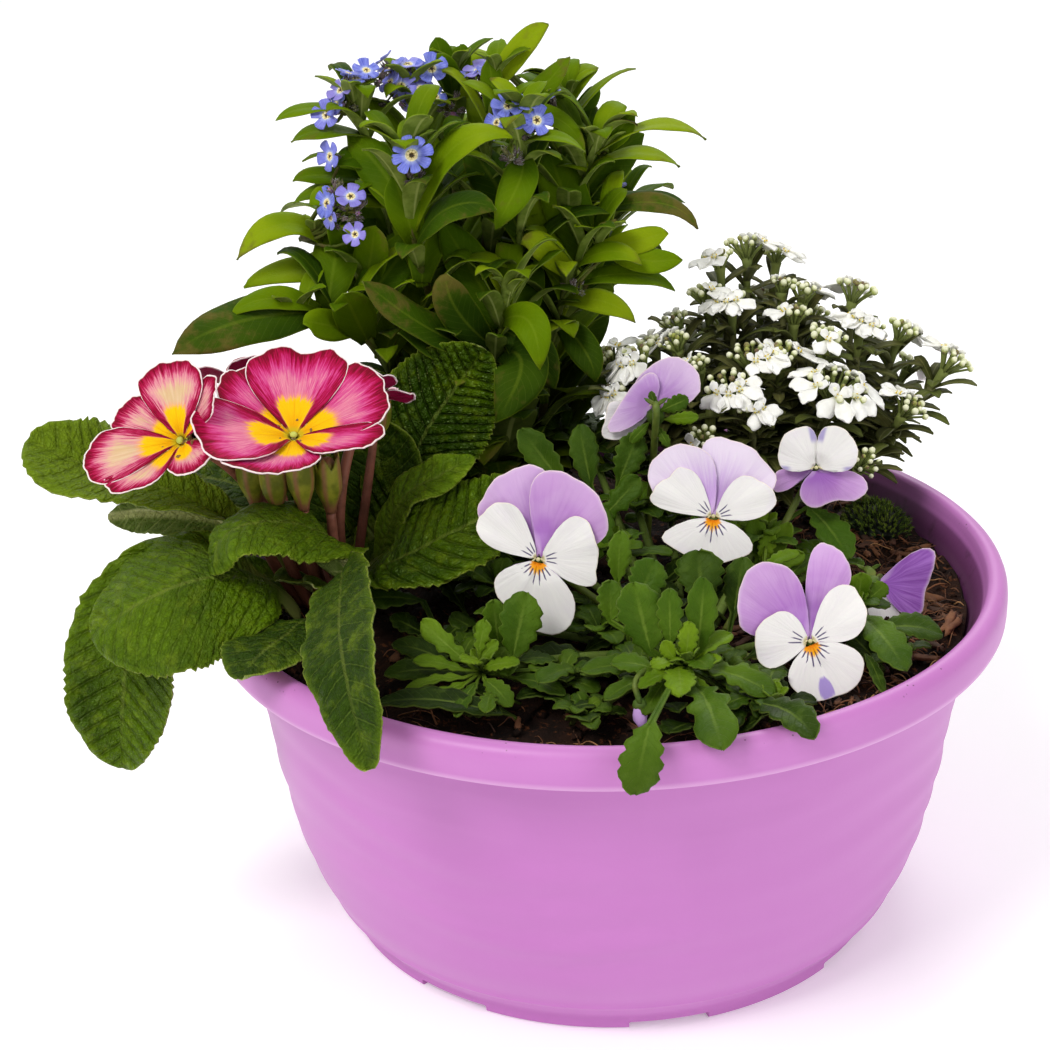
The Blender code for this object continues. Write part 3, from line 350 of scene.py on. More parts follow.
def ball(shape, centre, axis, radii, rings=5, sides=8, seed=0.0, lump=0.0, **named):
    """A small closed round or egg-shaped body; radii are across and along the axis."""
    z = unit(arr(axis))
    x = unit(np.cross(z, arr((0.31, 0.87, 0.22))))
    y = np.cross(z, x)
    ths = np.linspace(0, np.pi, rings + 2)[1:-1]
    a = 2 * np.pi * np.arange(sides) / sides
    pts = []
    for th in ths:
        w = 1.0 + lump * np.sin(3 * a + seed + 5 * th)
        pts.append((x[None] * np.cos(a)[:, None] + y[None] * np.sin(a)[:, None]) * (radii[0] * math.sin(th) * w)[:, None]
                   + z[None] * radii[1] * math.cos(th))
    pts = np.concatenate(pts + [[z * radii[1]], [-z * radii[1]]]) + arr(centre)
    faces = []
    i = np.arange(sides)
    j = (i + 1) % sides
    for k in range(rings - 1):
        faces.append(np.stack([k * sides + i, (k + 1) * sides + i, (k + 1) * sides + j, k * sides + j], axis=1))
    top, bot = rings * sides, rings * sides + 1
    tri = [np.stack([np.full(sides, top), i, j], axis=1),
           np.stack([np.full(sides, bot), (rings - 1) * sides + j, (rings - 1) * sides + i], axis=1)]
    lf = np.zeros((len(pts), 3))
    lf[:, 1] = np.concatenate([np.repeat(np.linspace(0, 1, rings), sides), [0.0, 1.0]])
    named.setdefault("lf", lf)
    shape.add(pts, ([np.concatenate(faces)] if faces else []) + tri, **named)


def wobble(v, scale, seed=0.0):
    """Smooth noise from -1 to 1 at each point of an array of vectors."""
    flat = np.asarray(v, dtype=float).reshape(-1, 3) * scale + seed
    return np.array([noise.noise(Vector(p)) for p in flat]).reshape(np.shape(v)[:-1])


def frame_along(line, face, end_face=None):
    """Tangent, side and up at each point of a line; face is the way the upper side looks."""
    t = along(line)
    f0 = unit(arr(face))
    f1 = f0 if end_face is None else unit(arr(end_face))
    w = np.linspace(0, 1, len(line))[:, None]
    f = f0 * (1 - w) + f1 * w
    s = unit(np.cross(t, f))
    u = np.cross(s, t)
    return t, s, u


def outline_petal(shape, c, right, up, n, outline, rise, seed, tn, depth=0.0, nr=26, na=35, rag=0.010, thick=0.34, claw=0.40):
    """A petal spread from the throat to an outline given as angle and distance in the plane of right and up."""
    ang = np.degrees(np.unwrap(np.radians(arr([o[0] for o in outline]))))
    rad = arr([o[1] for o in outline])
    order = np.argsort(ang)
    ang, rad = ang[order], rad[order]
    pts = catmull(np.stack([ang, rad, np.zeros_like(ang)], axis=1), np.linspace(0, 1, 160))
    a_all, r_all = np.maximum.accumulate(pts[:, 0]), pts[:, 1]
    th = np.linspace(-1, 1, na)
    th = np.sign(th) * (1 - (1 - np.abs(th)) ** 1.25)
    mid, half = (a_all[0] + a_all[-1]) / 2, (a_all[-1] - a_all[0]) / 2
    edge_r = np.interp(mid + th * half, a_all, r_all)
    edge_r = edge_r * (0.30 + 0.70 * np.cos(np.clip(np.abs(th), 0, 1) ** 6.0 * np.pi / 2) ** 0.5)
    rr = 1 - (1 - np.linspace(0, 1, nr)) ** 1.35
    TH, RR = np.meshgrid(th, rr)
    ER = np.broadcast_to(edge_r, TH.shape)
    ER = ER * (1 + rag * np.sin(TH * 11 + seed) + 0.6 * rag * np.sin(TH * 23 + 2 * seed))
    spread = claw + (1 - claw) * np.clip(RR * 2.2, 0, 1) ** 0.8
    rel = TH * half * spread
    a = np.radians(mid + rel)
    r = 0.9 + (ER - 0.9) * RR
    top = rad.max()
    tt = r / top
    flat = right[None, None] * np.cos(a)[..., None] + up[None, None] * np.sin(a)[..., None]
    z = rise(r, TH, tt)
    edge = np.minimum(ER - r, (1 - np.abs(TH)) * np.radians(half) * r + 0.3)
    grid = c + flat * r[..., None] + n[None, None] * z[..., None]
    lf = np.stack([TH, tt, edge], axis=-1)
    tn = np.broadcast_to(arr(tn), lf.shape)
    eye = np.stack([r, rel, np.full_like(r, depth)], axis=-1)
    th_ = thick + 0.2 * np.exp(-(r / 3) ** 2)
    sheet(shape, grid[:, ::-1], th_[:, ::-1], lf=lf[:, ::-1], tn=tn[:, ::-1], eye=eye[:, ::-1])

# ------------------------------------------------------------------ the bowl (design numbers, mm)
RIM, HIGH, BAND, WALL, LIP = 115.0, 106.4, 10.9, 1.8, 109.0
WALL_PROFILE = ((0.0, 81.5), (4.0, 81.8), (10.0, 86.6), (20.0, 91.7), (35.0, 96.1), (55.0, 99.7),
                (80.0, 103.4), (93.0, 105.8), (97.0, 107.4))
SOIL = 95.0


def wall_curve():
    zs = np.array([z for z, r in WALL_PROFILE])
    rs = np.array([r for z, r in WALL_PROFILE])
    return zs, rs


def ripple(ang, z):
    """Low, broken, horizontal swells that the wall was moulded with."""
    env = np.clip((z - 20) / 14, 0, 1) * np.clip((88 - z) / 16, 0, 1)
    a = np.sin(z * 0.52 + 1.7 * np.sin(ang * 3 + 0.4) + 0.9 * np.sin(ang * 7 + z * 0.05))
    b = 0.5 + 0.5 * np.sin(ang * 5.0 + 1.3 + 0.06 * z + np.sin(ang * 2))
    c = np.sin(z * 0.27 - ang * 2.1 + 1.2 * np.sin(ang * 4 + 2.0))
    return env * (0.26 * a * (0.35 + 0.65 * b) + 0.20 * c)


def bowl_shape():
    low = HIGH - BAND
    zs, rs = wall_curve()
    # outside, from the centre of the underside up to the rim
    prof = [(0.0, 0.0), (38.0, 0.0), (40.0, 0.3), (42.0, 4.0), (74.0, 4.0), (75.4, 3.4), (76.0, 0.5), (76.6, 0.0),
            (80.9, 0.0), (81.5, 0.5), (81.75, 3.0)]
    zz = np.concatenate([np.array([4.0, 6.5, 8.8, 10.0, 10.9, 12.0]), np.arange(14.0, 92.0, 1.6), [93.0, 95.5, 97.4]])
    smooth_r = np.interp(zz, zs, rs)
    for _ in range(2):
        inner = smooth_r.copy()
        inner[6:-2] = (smooth_r[5:-3] + smooth_r[6:-2] * 2 + smooth_r[7:-1]) / 4
        smooth_r = inner
    # the foot band ends in a small ridge
    smooth_r = smooth_r + np.where(np.abs(zz - 10.9) < 0.6, 0.45, 0.0)
    prof += list(zip(smooth_r, zz))
    first_wall, last_wall = 11, 11 + len(zz) - 1
    prof += [(109.9, 102.6), (111.6, 103.3), (112.7, 102.6), (112.9, 100.5), (112.95, low + 0.6), (113.3, low + 0.05),
             (113.9, low - 0.15), (114.55, low + 0.1), (114.85, low + 0.7), (115.0, low + 2.5), (115.0, low + 6.2),
             (114.8, HIGH - 2.9), (114.2, HIGH - 1.5), (113.2, HIGH - 0.55), (112.0, HIGH - 0.08), (110.7, HIGH - 0.15),
             (109.7, HIGH - 0.6), (109.15, HIGH - 1.4), (108.7, HIGH - 3.2)]
    # the inside of the rim runs smoothly into the wall
    prof += [(108.25, 101.8), (107.6, 100.3), (106.85, 98.8), (106.0, 97.2), (105.15, 95.4), (104.35, 93.4)]
    for z in (91.0, 87.0, 80.0, 70.0, 55.0, 35.0, 20.0, 10.0):
        prof.append((float(np.interp(z, zs, rs)) - WALL, z))
    prof += [(84.0, 6.8), (81.0, 6.0), (41.0, 6.0), (39.0, 2.0), (0.0, 2.0)]
    prof = np.array(prof)
    sides = 192
    ang = 2 * np.pi * np.arange(sides) / sides
    shape = Shape()
    verts, rows = [], []
    for k, (r, z) in enumerate(prof):
        if r < 1e-6:
            rows.append([len(verts)])
            verts.append((0.0, 0.0, z))
            continue
        rr = np.full(sides, r)
        zz_ = np.full(sides, z)
        if first_wall <= k <= last_wall:
            rr = rr + ripple(ang, z)
        if z > 90:
            # a thin moulding is never quite round or level
            zz_ = zz_ + 0.10 * np.sin(2 * ang + 0.6) + 0.06 * np.sin(5 * ang)
            rr = rr + 0.16 * np.sin(3 * ang + 1.0) * (z - 90) / 16
        rows.append(list(range(len(verts), len(verts) + sides)))
        verts += list(zip(rr * np.cos(ang), rr * np.sin(ang), zz_))
    quads, tris = [], []
    for a, b in zip(rows, rows[1:]):
        for i in range(sides):
            j = (i + 1) % sides
            if len(a) == 1:
                tris.append((a[0], b[j], b[i]))
            elif len(b) == 1:
                tris.append((a[i], a[j], b[0]))
            else:
                quads.append((a[i], a[j], b[j], b[i]))
    shape.add(np.array(verts), [np.array(quads), np.array(tris)])
    return shape


def cut_bowl(ob):
    """The notches of the foot ring and the drain holes."""
    bm = bmesh.new()
    for k in range(8):
        mid = math.radians(-79.0 + k * 45.0)
        half = math.radians(8.0)
        ring = []
        for z in (-3.0, 1.9, 2.2):
            h = half if z < 2 else half * 0.96
            for r, a in ((71.0, mid - h), (86.0, mid - h), (86.6, mid - h * 0.33), (86.6, mid + h * 0.33),
                         (86.0, mid + h), (71.0, mid + h)):
                ring.append(bm.verts.new((r * math.cos(a) * MM, r * math.sin(a) * MM, z * MM)))
        n = 6
        bm.faces.new([ring[i] for i in range(n - 1, -1, -1)])
        bm.faces.new([ring[2 * n + i] for i in range(n)])
        for t in range(2):
            for i in range(n):
                j = (i + 1) % n
                bm.faces.new((ring[t * n + i], ring[t * n + j], ring[(t + 1) * n + j], ring[(t + 1) * n + i]))
    for k in range(6):
        a = math.radians(30 + 60 * k)
        c = Vector((58 * math.cos(a), 58 * math.sin(a), 4.0)) * MM
        bmesh.ops.create_cone(bm, cap_ends=True, segments=32, radius1=4.0 * MM, radius2=4.0 * MM, depth=8 * MM,
                              matrix=Matrix.Translation(c))
    me = bpy.data.meshes.new("bowl_cutter")
    bmesh.ops.recalc_face_normals(bm, faces=bm.faces[:])
    bm.to_mesh(me)
    bm.free()
    cutter = bpy.data.objects.new("bowl_cutter", me)
    bpy.context.scene.collection.objects.link(cutter)
    mod = ob.modifiers.new("cut", "BOOLEAN")
    mod.operation, mod.object, mod.solver = "DIFFERENCE", cutter, "EXACT"
    dg = bpy.context.evaluated_depsgraph_get()
    new = bpy.data.meshes.new_from_object(ob.evaluated_get(dg))
    ob.modifiers.clear()
    old = ob.data
    ob.data = new
    bpy.data.meshes.remove(old)
    bpy.data.objects.remove(cutter, do_unlink=True)
    new.shade_smooth()
    new.set_sharp_from_angle(angle=math.radians(38))


def bowl_material():
    g = Graph("orchid_plastic")
    p = g.place()
    sep = g.new("ShaderNodeSeparateXYZ")
    g.put(sep.inputs[0], p)
    px, py, pz = (X(g, sep.outputs[i]) for i in range(3))
    base = srgb(196, 122, 193)
    pale = srgb(210, 142, 205)
    deep = srgb(180, 96, 175)
    cloud = g.noise(p, 9.0, 3.0, 0.55)
    col = g.mix(g.ease(cloud, 0.30, 0.72), srgb(191, 115, 188), base)
    # flow lines of the moulding run round the wall
    sep2 = g.vec(px * 6.0, py * 6.0, pz * 46.0)
    flow = g.noise(sep2, 1.0, 3.0, 0.6)
    col = g.mix(g.ease(flow, 0.48, 0.78) * 0.35, col, pale)
    # painted highlight: the lower edge of the rim band is painted a shade lighter; painted shade: the foot of the wall
    # is painted a shade deeper near the floor
    col = g.mix(g.ease(pz, 0.0935, 0.0955) * g.ease(pz, 0.0975, 0.0958) * 0.55, col, srgb(224, 176, 220))
    col = g.mix(g.ease(pz, 0.016, 0.002) * 0.35, col, deep)
    # the inner wall is painted darker as shade, deepest towards the soil, and carries real soil stains
    radius = (px * px + py * py) ** 0.5
    inner = g.ease(radius, 0.1086, 0.1078) * g.ease(pz, 0.088, 0.092)
    # only the side of the wall that faces the soil, not the part under the skirt
    inner = inner * g.ease(radius - (pz - 0.092) * 0.43 - 0.1047, 0.00015, -0.00015)
    stain = g.ease(g.noise(p, 120.0, 4.0, 0.65), 0.50, 0.68)
    low = g.ease(pz, 0.103, 0.0965)
    # painted shade on the inner wall below the rim
    col = g.mix(inner * g.ease(pz, 0.1072, 0.1000) * 0.78, col, srgb(108, 46, 100))
    # painted shade, darker still close to the soil
    col = g.mix(inner * low * 0.60, col, srgb(62, 28, 50))
    # real soil stains, thicker towards the soil
    col = g.mix(inner * stain * (low * 0.75 + 0.12), col, srgb(52, 34, 38))
    # grains of soil on the rim
    grain = g.ease(g.cells(p, 520.0), 0.16, 0.10) * g.ease(g.noise(p, 60.0, 2.0), 0.58, 0.66) * g.ease(pz, 0.1035, 0.1055)
    col = g.mix(grain * 0.8, col, srgb(60, 40, 34))
    g.set("Base Color", col)
    fine = g.noise(p, 900.0, 2.0, 0.6)
    g.set("Roughness", g.ease(cloud, 0.2, 0.8, 0.36, 0.46) + g.ease(flow, 0.4, 0.7, 0.0, 0.05))
    g.set("Specular IOR Level", 0.45)
    g.set("Subsurface Weight", 0.0)
    g.bump(fine * 0.35 + flow * 0.9, 0.10, 0.0008)
    return g.mat


bowl = bowl_shape().build("planting_bowl_shell", bowl_material())
cut_bowl(bowl)
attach(bowl, BODY)
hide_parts("planting_bowl")
TOTAL["planting_bowl_shell"] = sum(len(f.vertices) - 2 for f in bowl.data.polygons)
PIECES.append(bowl)

# ------------------------------------------------------------------ soil, root balls, moss and bark
ROOT_BALLS = {"primula_root_ball": (-77, -10, 21, 42), "forget_me_not_root_ball": (-36, 56, 24, 44),
              "candytuft_root_ball": (52, 51, 23, 44), "viola_root_ball": (24, -42, 24, 40)}


def soil_height(x, y):
    return SOIL + 0.9 * math.sin(x * 0.11 + 1.3) * math.cos(y * 0.09 - 0.4) + 0.6 * math.sin(x * 0.23 - y * 0.17) - 0.3


def ground(x, y):
    """Height of the soil's surface, root balls included."""
    z = soil_height(x, y)
    for cx, cy, r, d in ROOT_BALLS.values():
        if math.hypot(x - cx, y - cy) < r:
            z = max(z, 96.9)
    return z


def soil_material(name, dark, brown, red, rough=0.92):
    g = Graph(name)
    p = g.place()
    a = g.noise(p, 55.0, 4.0, 0.6)
    b = g.noise(p, 420.0, 3.0, 0.65)
    c = g.cells(p, 900.0)
    col = g.mix(g.ease(a, 0.35, 0.68), dark, brown)
    col = g.mix(g.ease(b, 0.55, 0.72) * 0.8, col, red)
    col = g.mix(g.ease(c, 0.20, 0.02) * g.ease(a, 0.5, 0.6) * 0.35, col, srgb(150, 116, 82))
    _, _, edge = g.attr("lf")
    g.set("Base Color", col)
    g.set("Roughness", rough)
    g.set("Specular IOR Level", 0.14)
    g.bump(b + c * 0.6, 0.55, 0.0009)
    return g.mat


def crumb(shape, c, r, rng, flat=1.0):
    """An irregular lump."""
    rings, sides = 3, 6
    ax = unit(arr([rng.uniform(-1, 1), rng.uniform(-1, 1), rng.uniform(-1, 1)]))
    start = len(shape.v)
    ball(shape, (0, 0, 0), ax, (r, r * rng.uniform(0.6, 1.2)), rings, sides, rng.uniform(0, 6), rng.uniform(0.12, 0.3))
    v = shape.v[start]
    v *= 1.0 + 0.22 * np.sin(v @ arr([rng.uniform(-3, 3) / r for _ in range(3)]) + rng.uniform(0, 6))[:, None]
    v[:, 2] *= flat
    v += arr(c)


def fibre(shape, c, size, rng, z_of, thick=0.28, curl=0.5):
    a = rng.uniform(0, 2 * math.pi)
    n = 5
    p = []
    d = arr([math.cos(a), math.sin(a), 0])
    pos = arr([c[0], c[1], 0.0])
    for k in range(n):
        z = z_of(pos[0], pos[1]) + 0.5 + 2.6 * math.sin(math.pi * k / (n - 1)) * rng.uniform(0.1, 1.0)
        p.append((pos[0], pos[1], z))
        a += rng.uniform(-curl, curl)
        d = arr([math.cos(a), math.sin(a), 0])
        pos = pos + d * size / (n - 1)
    p = [q for q in p if math.hypot(q[0], q[1]) < 103.0]
    if len(p) > 2:
        tube(shape, catmull(p, np.linspace(0, 1, 2 * len(p))), thick * np.linspace(1.0, 0.6, 2 * len(p)), 3, tn=(rng.random(), 0, 0))


def make_soil():
    rng = random.Random(41)
    shape = Shape()
    sides, rows = 152, []
    radii = np.concatenate([np.linspace(0, 100, 42)[1:], [101.2, 102.4, 103.3, 103.9]])
    ang = 2 * np.pi * np.arange(sides) / sides
    top = []
    for r in radii:
        xs, ys = r * np.cos(ang), r * np.sin(ang)
        for x, y in zip(xs, ys):
            v = Vector((x * 0.16, y * 0.16, 1.7))
            h = noise.fractal(v, 0.8, 2.1, 4) * 1.9 + noise.noise(Vector((x * 0.9, y * 0.9, 4))) * 0.55
            lift = 0.9 * max(0.0, (r - 98) / 6) * noise.noise(Vector((x * 0.06, y * 0.06, 9)))
            top.append((x, y, soil_height(x, y) + h + lift))
    verts = [(0, 0, soil_height(0, 0))] + top
    faces_q, faces_t = [], []
    i = np.arange(sides)
    j = (i + 1) % sides
    faces_t.append(np.stack([np.zeros(sides, int), 1 + i, 1 + j], axis=1))
    for k in range(len(radii) - 1):
        a, b = 1 + k * sides, 1 + (k + 1) * sides
        faces_q.append(np.stack([a + i, b + i, b + j, a + j], axis=1))
    n0 = 1 + (len(radii) - 1) * sides
    zs, rs = wall_curve()
    for z in (90.0, 80.0, 60.0, 35.0, 20.0, 10.0, 6.4):
        r = float(np.interp(z, zs, rs)) - WALL - 0.7 - (1.5 if z < 7 else 0)
        b = len(verts)
        verts += list(zip(r * np.cos(ang), r * np.sin(ang), np.full(sides, z)))
        faces_q.append(np.stack([n0 + i, b + i, b + j, n0 + j], axis=1))
        n0 = b
    verts.append((0, 0, 6.4))
    faces_t.append(np.stack([np.full(sides, len(verts) - 1), n0 + j, n0 + i], axis=1))
    shape.add(np.array(verts), [np.concatenate(faces_q), np.concatenate(faces_t)], lf=(0, 0, 0))
    # crumbs lie thickest where the soil is bare: at the right, at the front edge and at the back
    count = 0
    while count < 620:
        a, r = rng.uniform(0, 2 * math.pi), 103.0 * math.sqrt(rng.random())
        x, y = r * math.cos(a), r * math.sin(a)
        bare = 1.0 if (x > 60 or r > 84) else 0.45
        if rng.random() > bare:
            continue
        size = rng.choice((0.5, 0.7, 0.9, 1.2, 1.6, 2.1))
        z = ground(x, y) + noise.fractal(Vector((x * 0.16, y * 0.16, 1.7)), 0.8, 2.1, 4) * 1.9
        if r + size > 103.4:
            continue
        crumb(shape, (x, y, z + size * 0.35), size, rng, 0.75)
        count += 1
    piece(shape, "soil_surface", soil_material("damp_potting_mix", srgb(20, 13, 10), srgb(48, 29, 20), srgb(108, 64, 38)),
          ("potting_soil",))
    # root balls: plugs of soil bound by fine roots, their tops just proud of the soil
    for name, (cx, cy, r, depth) in ROOT_BALLS.items():
        s = Shape()
        sides2 = 56
        an = 2 * np.pi * np.arange(sides2) / sides2
        rows = []
        vs = [(cx, cy, 97.2)]
        prof = [(r * f, 97.0) for f in (0.15, 0.3, 0.45, 0.6, 0.75, 0.88)] + [(r * 0.97, 96.5), (r, 95.6)]
        prof += [(r * (1 - 0.2 * (97 - z) / depth), z) for z in np.linspace(93, 97 - depth, 12)]
        for k, (rr, z) in enumerate(prof):
            for t in an:
                x, y = math.cos(t), math.sin(t)
                q = Vector((cx * 0.1 + x * rr * 0.22, cy * 0.1 + y * rr * 0.22, z * 0.22))
                h = noise.fractal(q, 0.9, 2.0, 3)
                vs.append((cx + x * (rr - 0.5 + 0.8 * h), cy + y * (rr - 0.5 + 0.8 * h), z + (1.1 * h if k < 8 else 0)))
        vs.append((cx, cy, 97 - depth))
        ii = np.arange(sides2)
        jj = (ii + 1) % sides2
        fq = [np.stack([1 + k * sides2 + ii, 1 + (k + 1) * sides2 + ii, 1 + (k + 1) * sides2 + jj, 1 + k * sides2 + jj], axis=1)
              for k in range(len(prof) - 1)]
        last = 1 + (len(prof) - 1) * sides2
        s.add(np.array(vs), [np.concatenate(fq), np.stack([np.zeros(sides2, int), 1 + ii, 1 + jj], axis=1),
                             np.stack([np.full(sides2, len(vs) - 1), last + jj, last + ii], axis=1)], lf=(0, 0, 0))
        for _ in range(60):
            a, q = rng.uniform(0, 2 * math.pi), r * 0.92 * math.sqrt(rng.random())
            crumb(s, (cx + q * math.cos(a), cy + q * math.sin(a), 97.4), rng.uniform(0.5, 1.5), rng, 0.75)
        piece(s, name + "_mix", soil_material(name + "_soil", srgb(24, 17, 14), srgb(58, 38, 28), srgb(92, 60, 42)),
              (name,))


def make_fibres():
    rng = random.Random(7)
    g = Graph("coir_and_bark")
    p = g.place()
    along_ = g.attr("lf")[1]
    n1 = g.noise(p, 160.0, 3.0, 0.6)
    hue = g.attr("tn")[0]
    col = g.mix(g.ease(hue, 0.10, 0.60), srgb(48, 29, 17), srgb(124, 78, 44))
    col = g.mix(g.ease(hue, 0.78, 0.96) * 0.8, col, srgb(196, 146, 92))
    col = g.mix(g.ease(n1, 0.40, 0.66) * 0.6, col, srgb(84, 46, 26))
    g.set("Base Color", col)
    g.set("Roughness", 0.8)
    g.bump(g.noise(p, 1500.0, 2.0), 0.4, 0.0004)
    fib = Shape()
    for k in range(920):
        a = rng.uniform(-1.1, 0.6) if k % 2 else rng.uniform(0, 2 * math.pi)
        r = 102.0 * math.sqrt(rng.uniform(0.15, 1.0))
        x, y = r * math.cos(a), r * math.sin(a)
        if x < 55 and r < 82 and rng.random() < 0.85:
            continue
        if k % 2 == 0 and r < 64 and y > -40:
            continue
        fibre(fib, (x, y), rng.uniform(4, 15), rng, ground, rng.uniform(0.12, 0.36), 0.17 if k % 2 else 0.36)
    # small splinters of bark lie among them
    for k in range(230):
        a = rng.uniform(-1.1, 0.6) if k % 2 else rng.uniform(0, 2 * math.pi)
        r = 100.0 * math.sqrt(rng.uniform(0.2, 1.0))
        x, y = r * math.cos(a), r * math.sin(a)
        if x < 55 and rng.random() < 0.7:
            continue
        chip(fib, (x, y, ground(x, y) + 1.2), rng.uniform(0, 2 * math.pi), rng.uniform(3, 8), rng.uniform(1.0, 2.6), rng)
    ob = piece(fib, "soil_fibres", g.mat)
    return g.mat


def chip(shape, c, turn, long, wide, rng, hue=None):
    """A flat splinter of bark with broken ends."""
    d = arr([math.cos(turn), math.sin(turn), rng.uniform(-0.18, 0.18)])
    s = unit(np.cross(d, (0, 0, 1)))
    u = np.cross(s, d)
    n, m = 7, 5
    grid = np.zeros((n, m, 3))
    for i in range(n):
        t = i / (n - 1)
        w = wide * 0.5 * (0.65 + 0.35 * math.sin(math.pi * t)) * (1 + 0.2 * math.sin(9 * t + c[0]))
        for j in range(m):
            x = j / (m - 1) * 2 - 1
            skew = 0.12 * math.sin(5 * x + c[1]) if i in (0, n - 1) else 0
            grid[i, j] = (arr(c) + d * long * (t - 0.5 + skew) + s * w * x
                          + u * (0.35 * (1 - x * x) + 0.25 * math.sin(7 * x + 4 * t + c[0])))
    sheet(shape, grid, min(1.3, 0.3 + wide * 0.22), lf=(0, 0.5, 0), tn=(rng.uniform(0.1, 0.7) if hue is None else hue, 0, 0))


def make_chips(mat):
    rng = random.Random(3)
    for name, c, d, long, wide in (("bark_chip_1", (96, -29, 97.2), (4, 9), 14, 3.9), ("bark_chip_2", (77, 63, 97.2), (-6, 7), 11.6, 3.6)):
        s = Shape()
        chip(s, c, math.atan2(d[1], d[0]), long, wide, rng, 0.55)
        chip(s, (c[0] - 0.4, c[1] + 0.6, c[2] + 0.7), math.atan2(d[1], d[0]) + 0.06, long * 0.8, wide * 0.55, rng, 0.80)
        piece(s, name + "_flake", mat, (name,))


def make_moss():
    rng = random.Random(19)
    s = Shape()
    c0, r0, h0 = arr((84, 42, 96.6)), 8.4, 8.6
    way = unit(arr((-1, 2, 0)))
    across = arr((way[1], -way[0], 0))
    ball(s, c0, (0, 0, 1), (7.2, 6.0), 8, 18, 1.0, 0.08, tn=(0.0, 0.1, 0))
    v = s.v[0]
    loc = v - c0
    v += way[None] * (loc @ way)[:, None] * 0.45
    for k in range(470):
        a, q = rng.uniform(0, 2 * math.pi), math.sqrt(rng.random())
        x, y = q * math.cos(a), q * math.sin(a)
        base = c0 + way * (y * r0 * 1.42) + across * (x * r0 * 0.96)
        base[2] = 96.2 + h0 * 0.62 * (1 - q * q) ** 0.6
        lean = unit(way * y * 0.9 + across * x * 0.9 + arr((rng.uniform(-.3, .3), rng.uniform(-.3, .3), 0.85)))
        high = rng.uniform(1.8, 3.8) * (1.0 - 0.35 * q)
        tone = rng.random()
        for i in range(11):
            t = i / 10
            w = unit(np.cross(lean, (0.2, 0.9, 0.1)))
            w2 = np.cross(lean, w)
            b = 2.4 * i + k
            out = w * math.cos(b) + w2 * math.sin(b)
            p0 = base + lean * high * t
            tip = p0 + out * (0.95 - 0.5 * t) + lean * (0.55 + 0.5 * t)
            sd = unit(np.cross(out, lean)) * 0.22
            up = lean * 0.14
            vs = np.array([p0 - sd, p0 + sd, p0 + up + out * 0.1, tip])
            s.add(vs, [np.array([(0, 2, 1), (0, 1, 3), (1, 2, 3), (2, 0, 3)])], tn=(tone, t, 0), lf=(0, t, 0))
    g = Graph("moss_green")
    tone, t, _ = g.attr("tn")
    n1 = g.noise(g.place(), 90.0, 2.0)
    col = g.mix(tone, srgb(40, 68, 10), srgb(116, 140, 26))
    # painted shade: each strand is painted darker towards its foot, deep in the cushion
    col = g.mix(g.ease(t, 0.25, 0.95), srgb(12, 22, 5), col)
    col = g.mix(g.ease(n1, 0.45, 0.7) * 0.5 * g.ease(t, 0.3, 0.9), col, srgb(150, 168, 50))
    g.set("Base Color", col)
    g.set("Roughness", 0.7)
    piece(s, "moss_tufts", g.mat, ("moss_cushion",), smooth=False)


make_soil()
BARK = make_fibres()
make_chips(BARK)
make_moss()

# ------------------------------------------------------------------ primula
# each leaf: midrib from crown to tip, greatest width, way the upper side faces at crown and tip, fold there, extras
PRIMULA_LEAVES = (
    ("primula_leaf_1", ((-91, -8, 99), (-95, -9, 113), (-111, -13, 128), (-131, -16, 140), (-149, -18, 147), (-161, -15, 152.5)), 28, (0, 0, 9), (3, -6, 6), 0.75, 0.15, 0.0),
    ("primula_leaf_2", ((-88, -20, 99), (-93, -28, 111), (-100, -38, 119), (-112, -46, 122), (-126, -51, 118), (-140, -52, 109)), 47, (-1, -5, 8), (-2, -5, 8), -0.26, -0.16, -0.12),
    ("primula_leaf_3", ((-92, -15, 99), (-99, -21, 111), (-112, -28, 119), (-124, -35, 115), (-132, -41, 101), (-135.5, -44, 84), (-137.5, -46, 64.5)), 34, (-2, -3, 9), (-2, -9, 1), 0.05, 0.16, 0.16),
    ("primula_leaf_4", ((-78, -18, 99), (-73, -24, 117), (-77, -31, 128), (-87, -35, 134), (-97, -38, 135), (-104, -41, 132), (-108, -42, 123)), 25, (0, -2, 9), (-7, -3, 4), 0.08, 0.0, -0.22),
    ("primula_leaf_5", ((-76, -22, 99), (-73, -32, 114), (-70, -54, 127), (-67, -88, 127), (-63, -107, 119), (-58, -117, 104)), 22.5, (-3, -4, 8), (-5, -7, 4), 0.10, 0.12, 0.0),
    ("primula_leaf_6", ((-70, 0, 99), (-66, 3, 113), (-59, 10, 128), (-51, 17, 142), (-42, 20, 154), (-34, 18, 165)), 35, (-1, -9, 3), (-1, -9, 3), 0.12, 0.12, 0.1),
    ("primula_leaf_7", ((-68, -16, 99), (-67.5, -18, 111), (-59, -25, 117.5), (-47, -26, 124), (-34.5, -22, 129), (-22.5, -16, 136)), 31, (-1, -3.8, 8.5), (-1, -4.2, 8.5), 0.05, 0.05, 0.0),
    ("primula_leaf_8", ((-67, -9, 99), (-64, -9, 114), (-57, -12, 131), (-46, -12, 138), (-37, -8, 142)), 14, (0, -4, 9), (0, -4, 9), 0.10, 0.10, 0.0),
    ("primula_leaf_9", ((-81, -26, 99), (-83, -40, 107), (-86, -58, 111), (-91, -71, 112), (-95, -80, 110)), 27, (-2, -3, 9), (-2, -3, 9), 0.05, 0.0, 0.0),
    ("primula_leaf_10", ((-89, -1, 99), (-96, -4, 113), (-107, -6, 121.5), (-119, -7, 125), (-133, -7, 126), (-143, -7, 125)), 15, (0, 5, -8), (0, 5, -8), 0.12, 0.12, 0.0),
    ("primula_leaf_11", ((-78, 4, 99), (-80, 12, 114), (-84, 26, 128), (-88, 40, 133), (-92, 56, 128)), 31, (0, 3, 9), (0, 3, 9), 0.12, 0.12, 0.0),
)


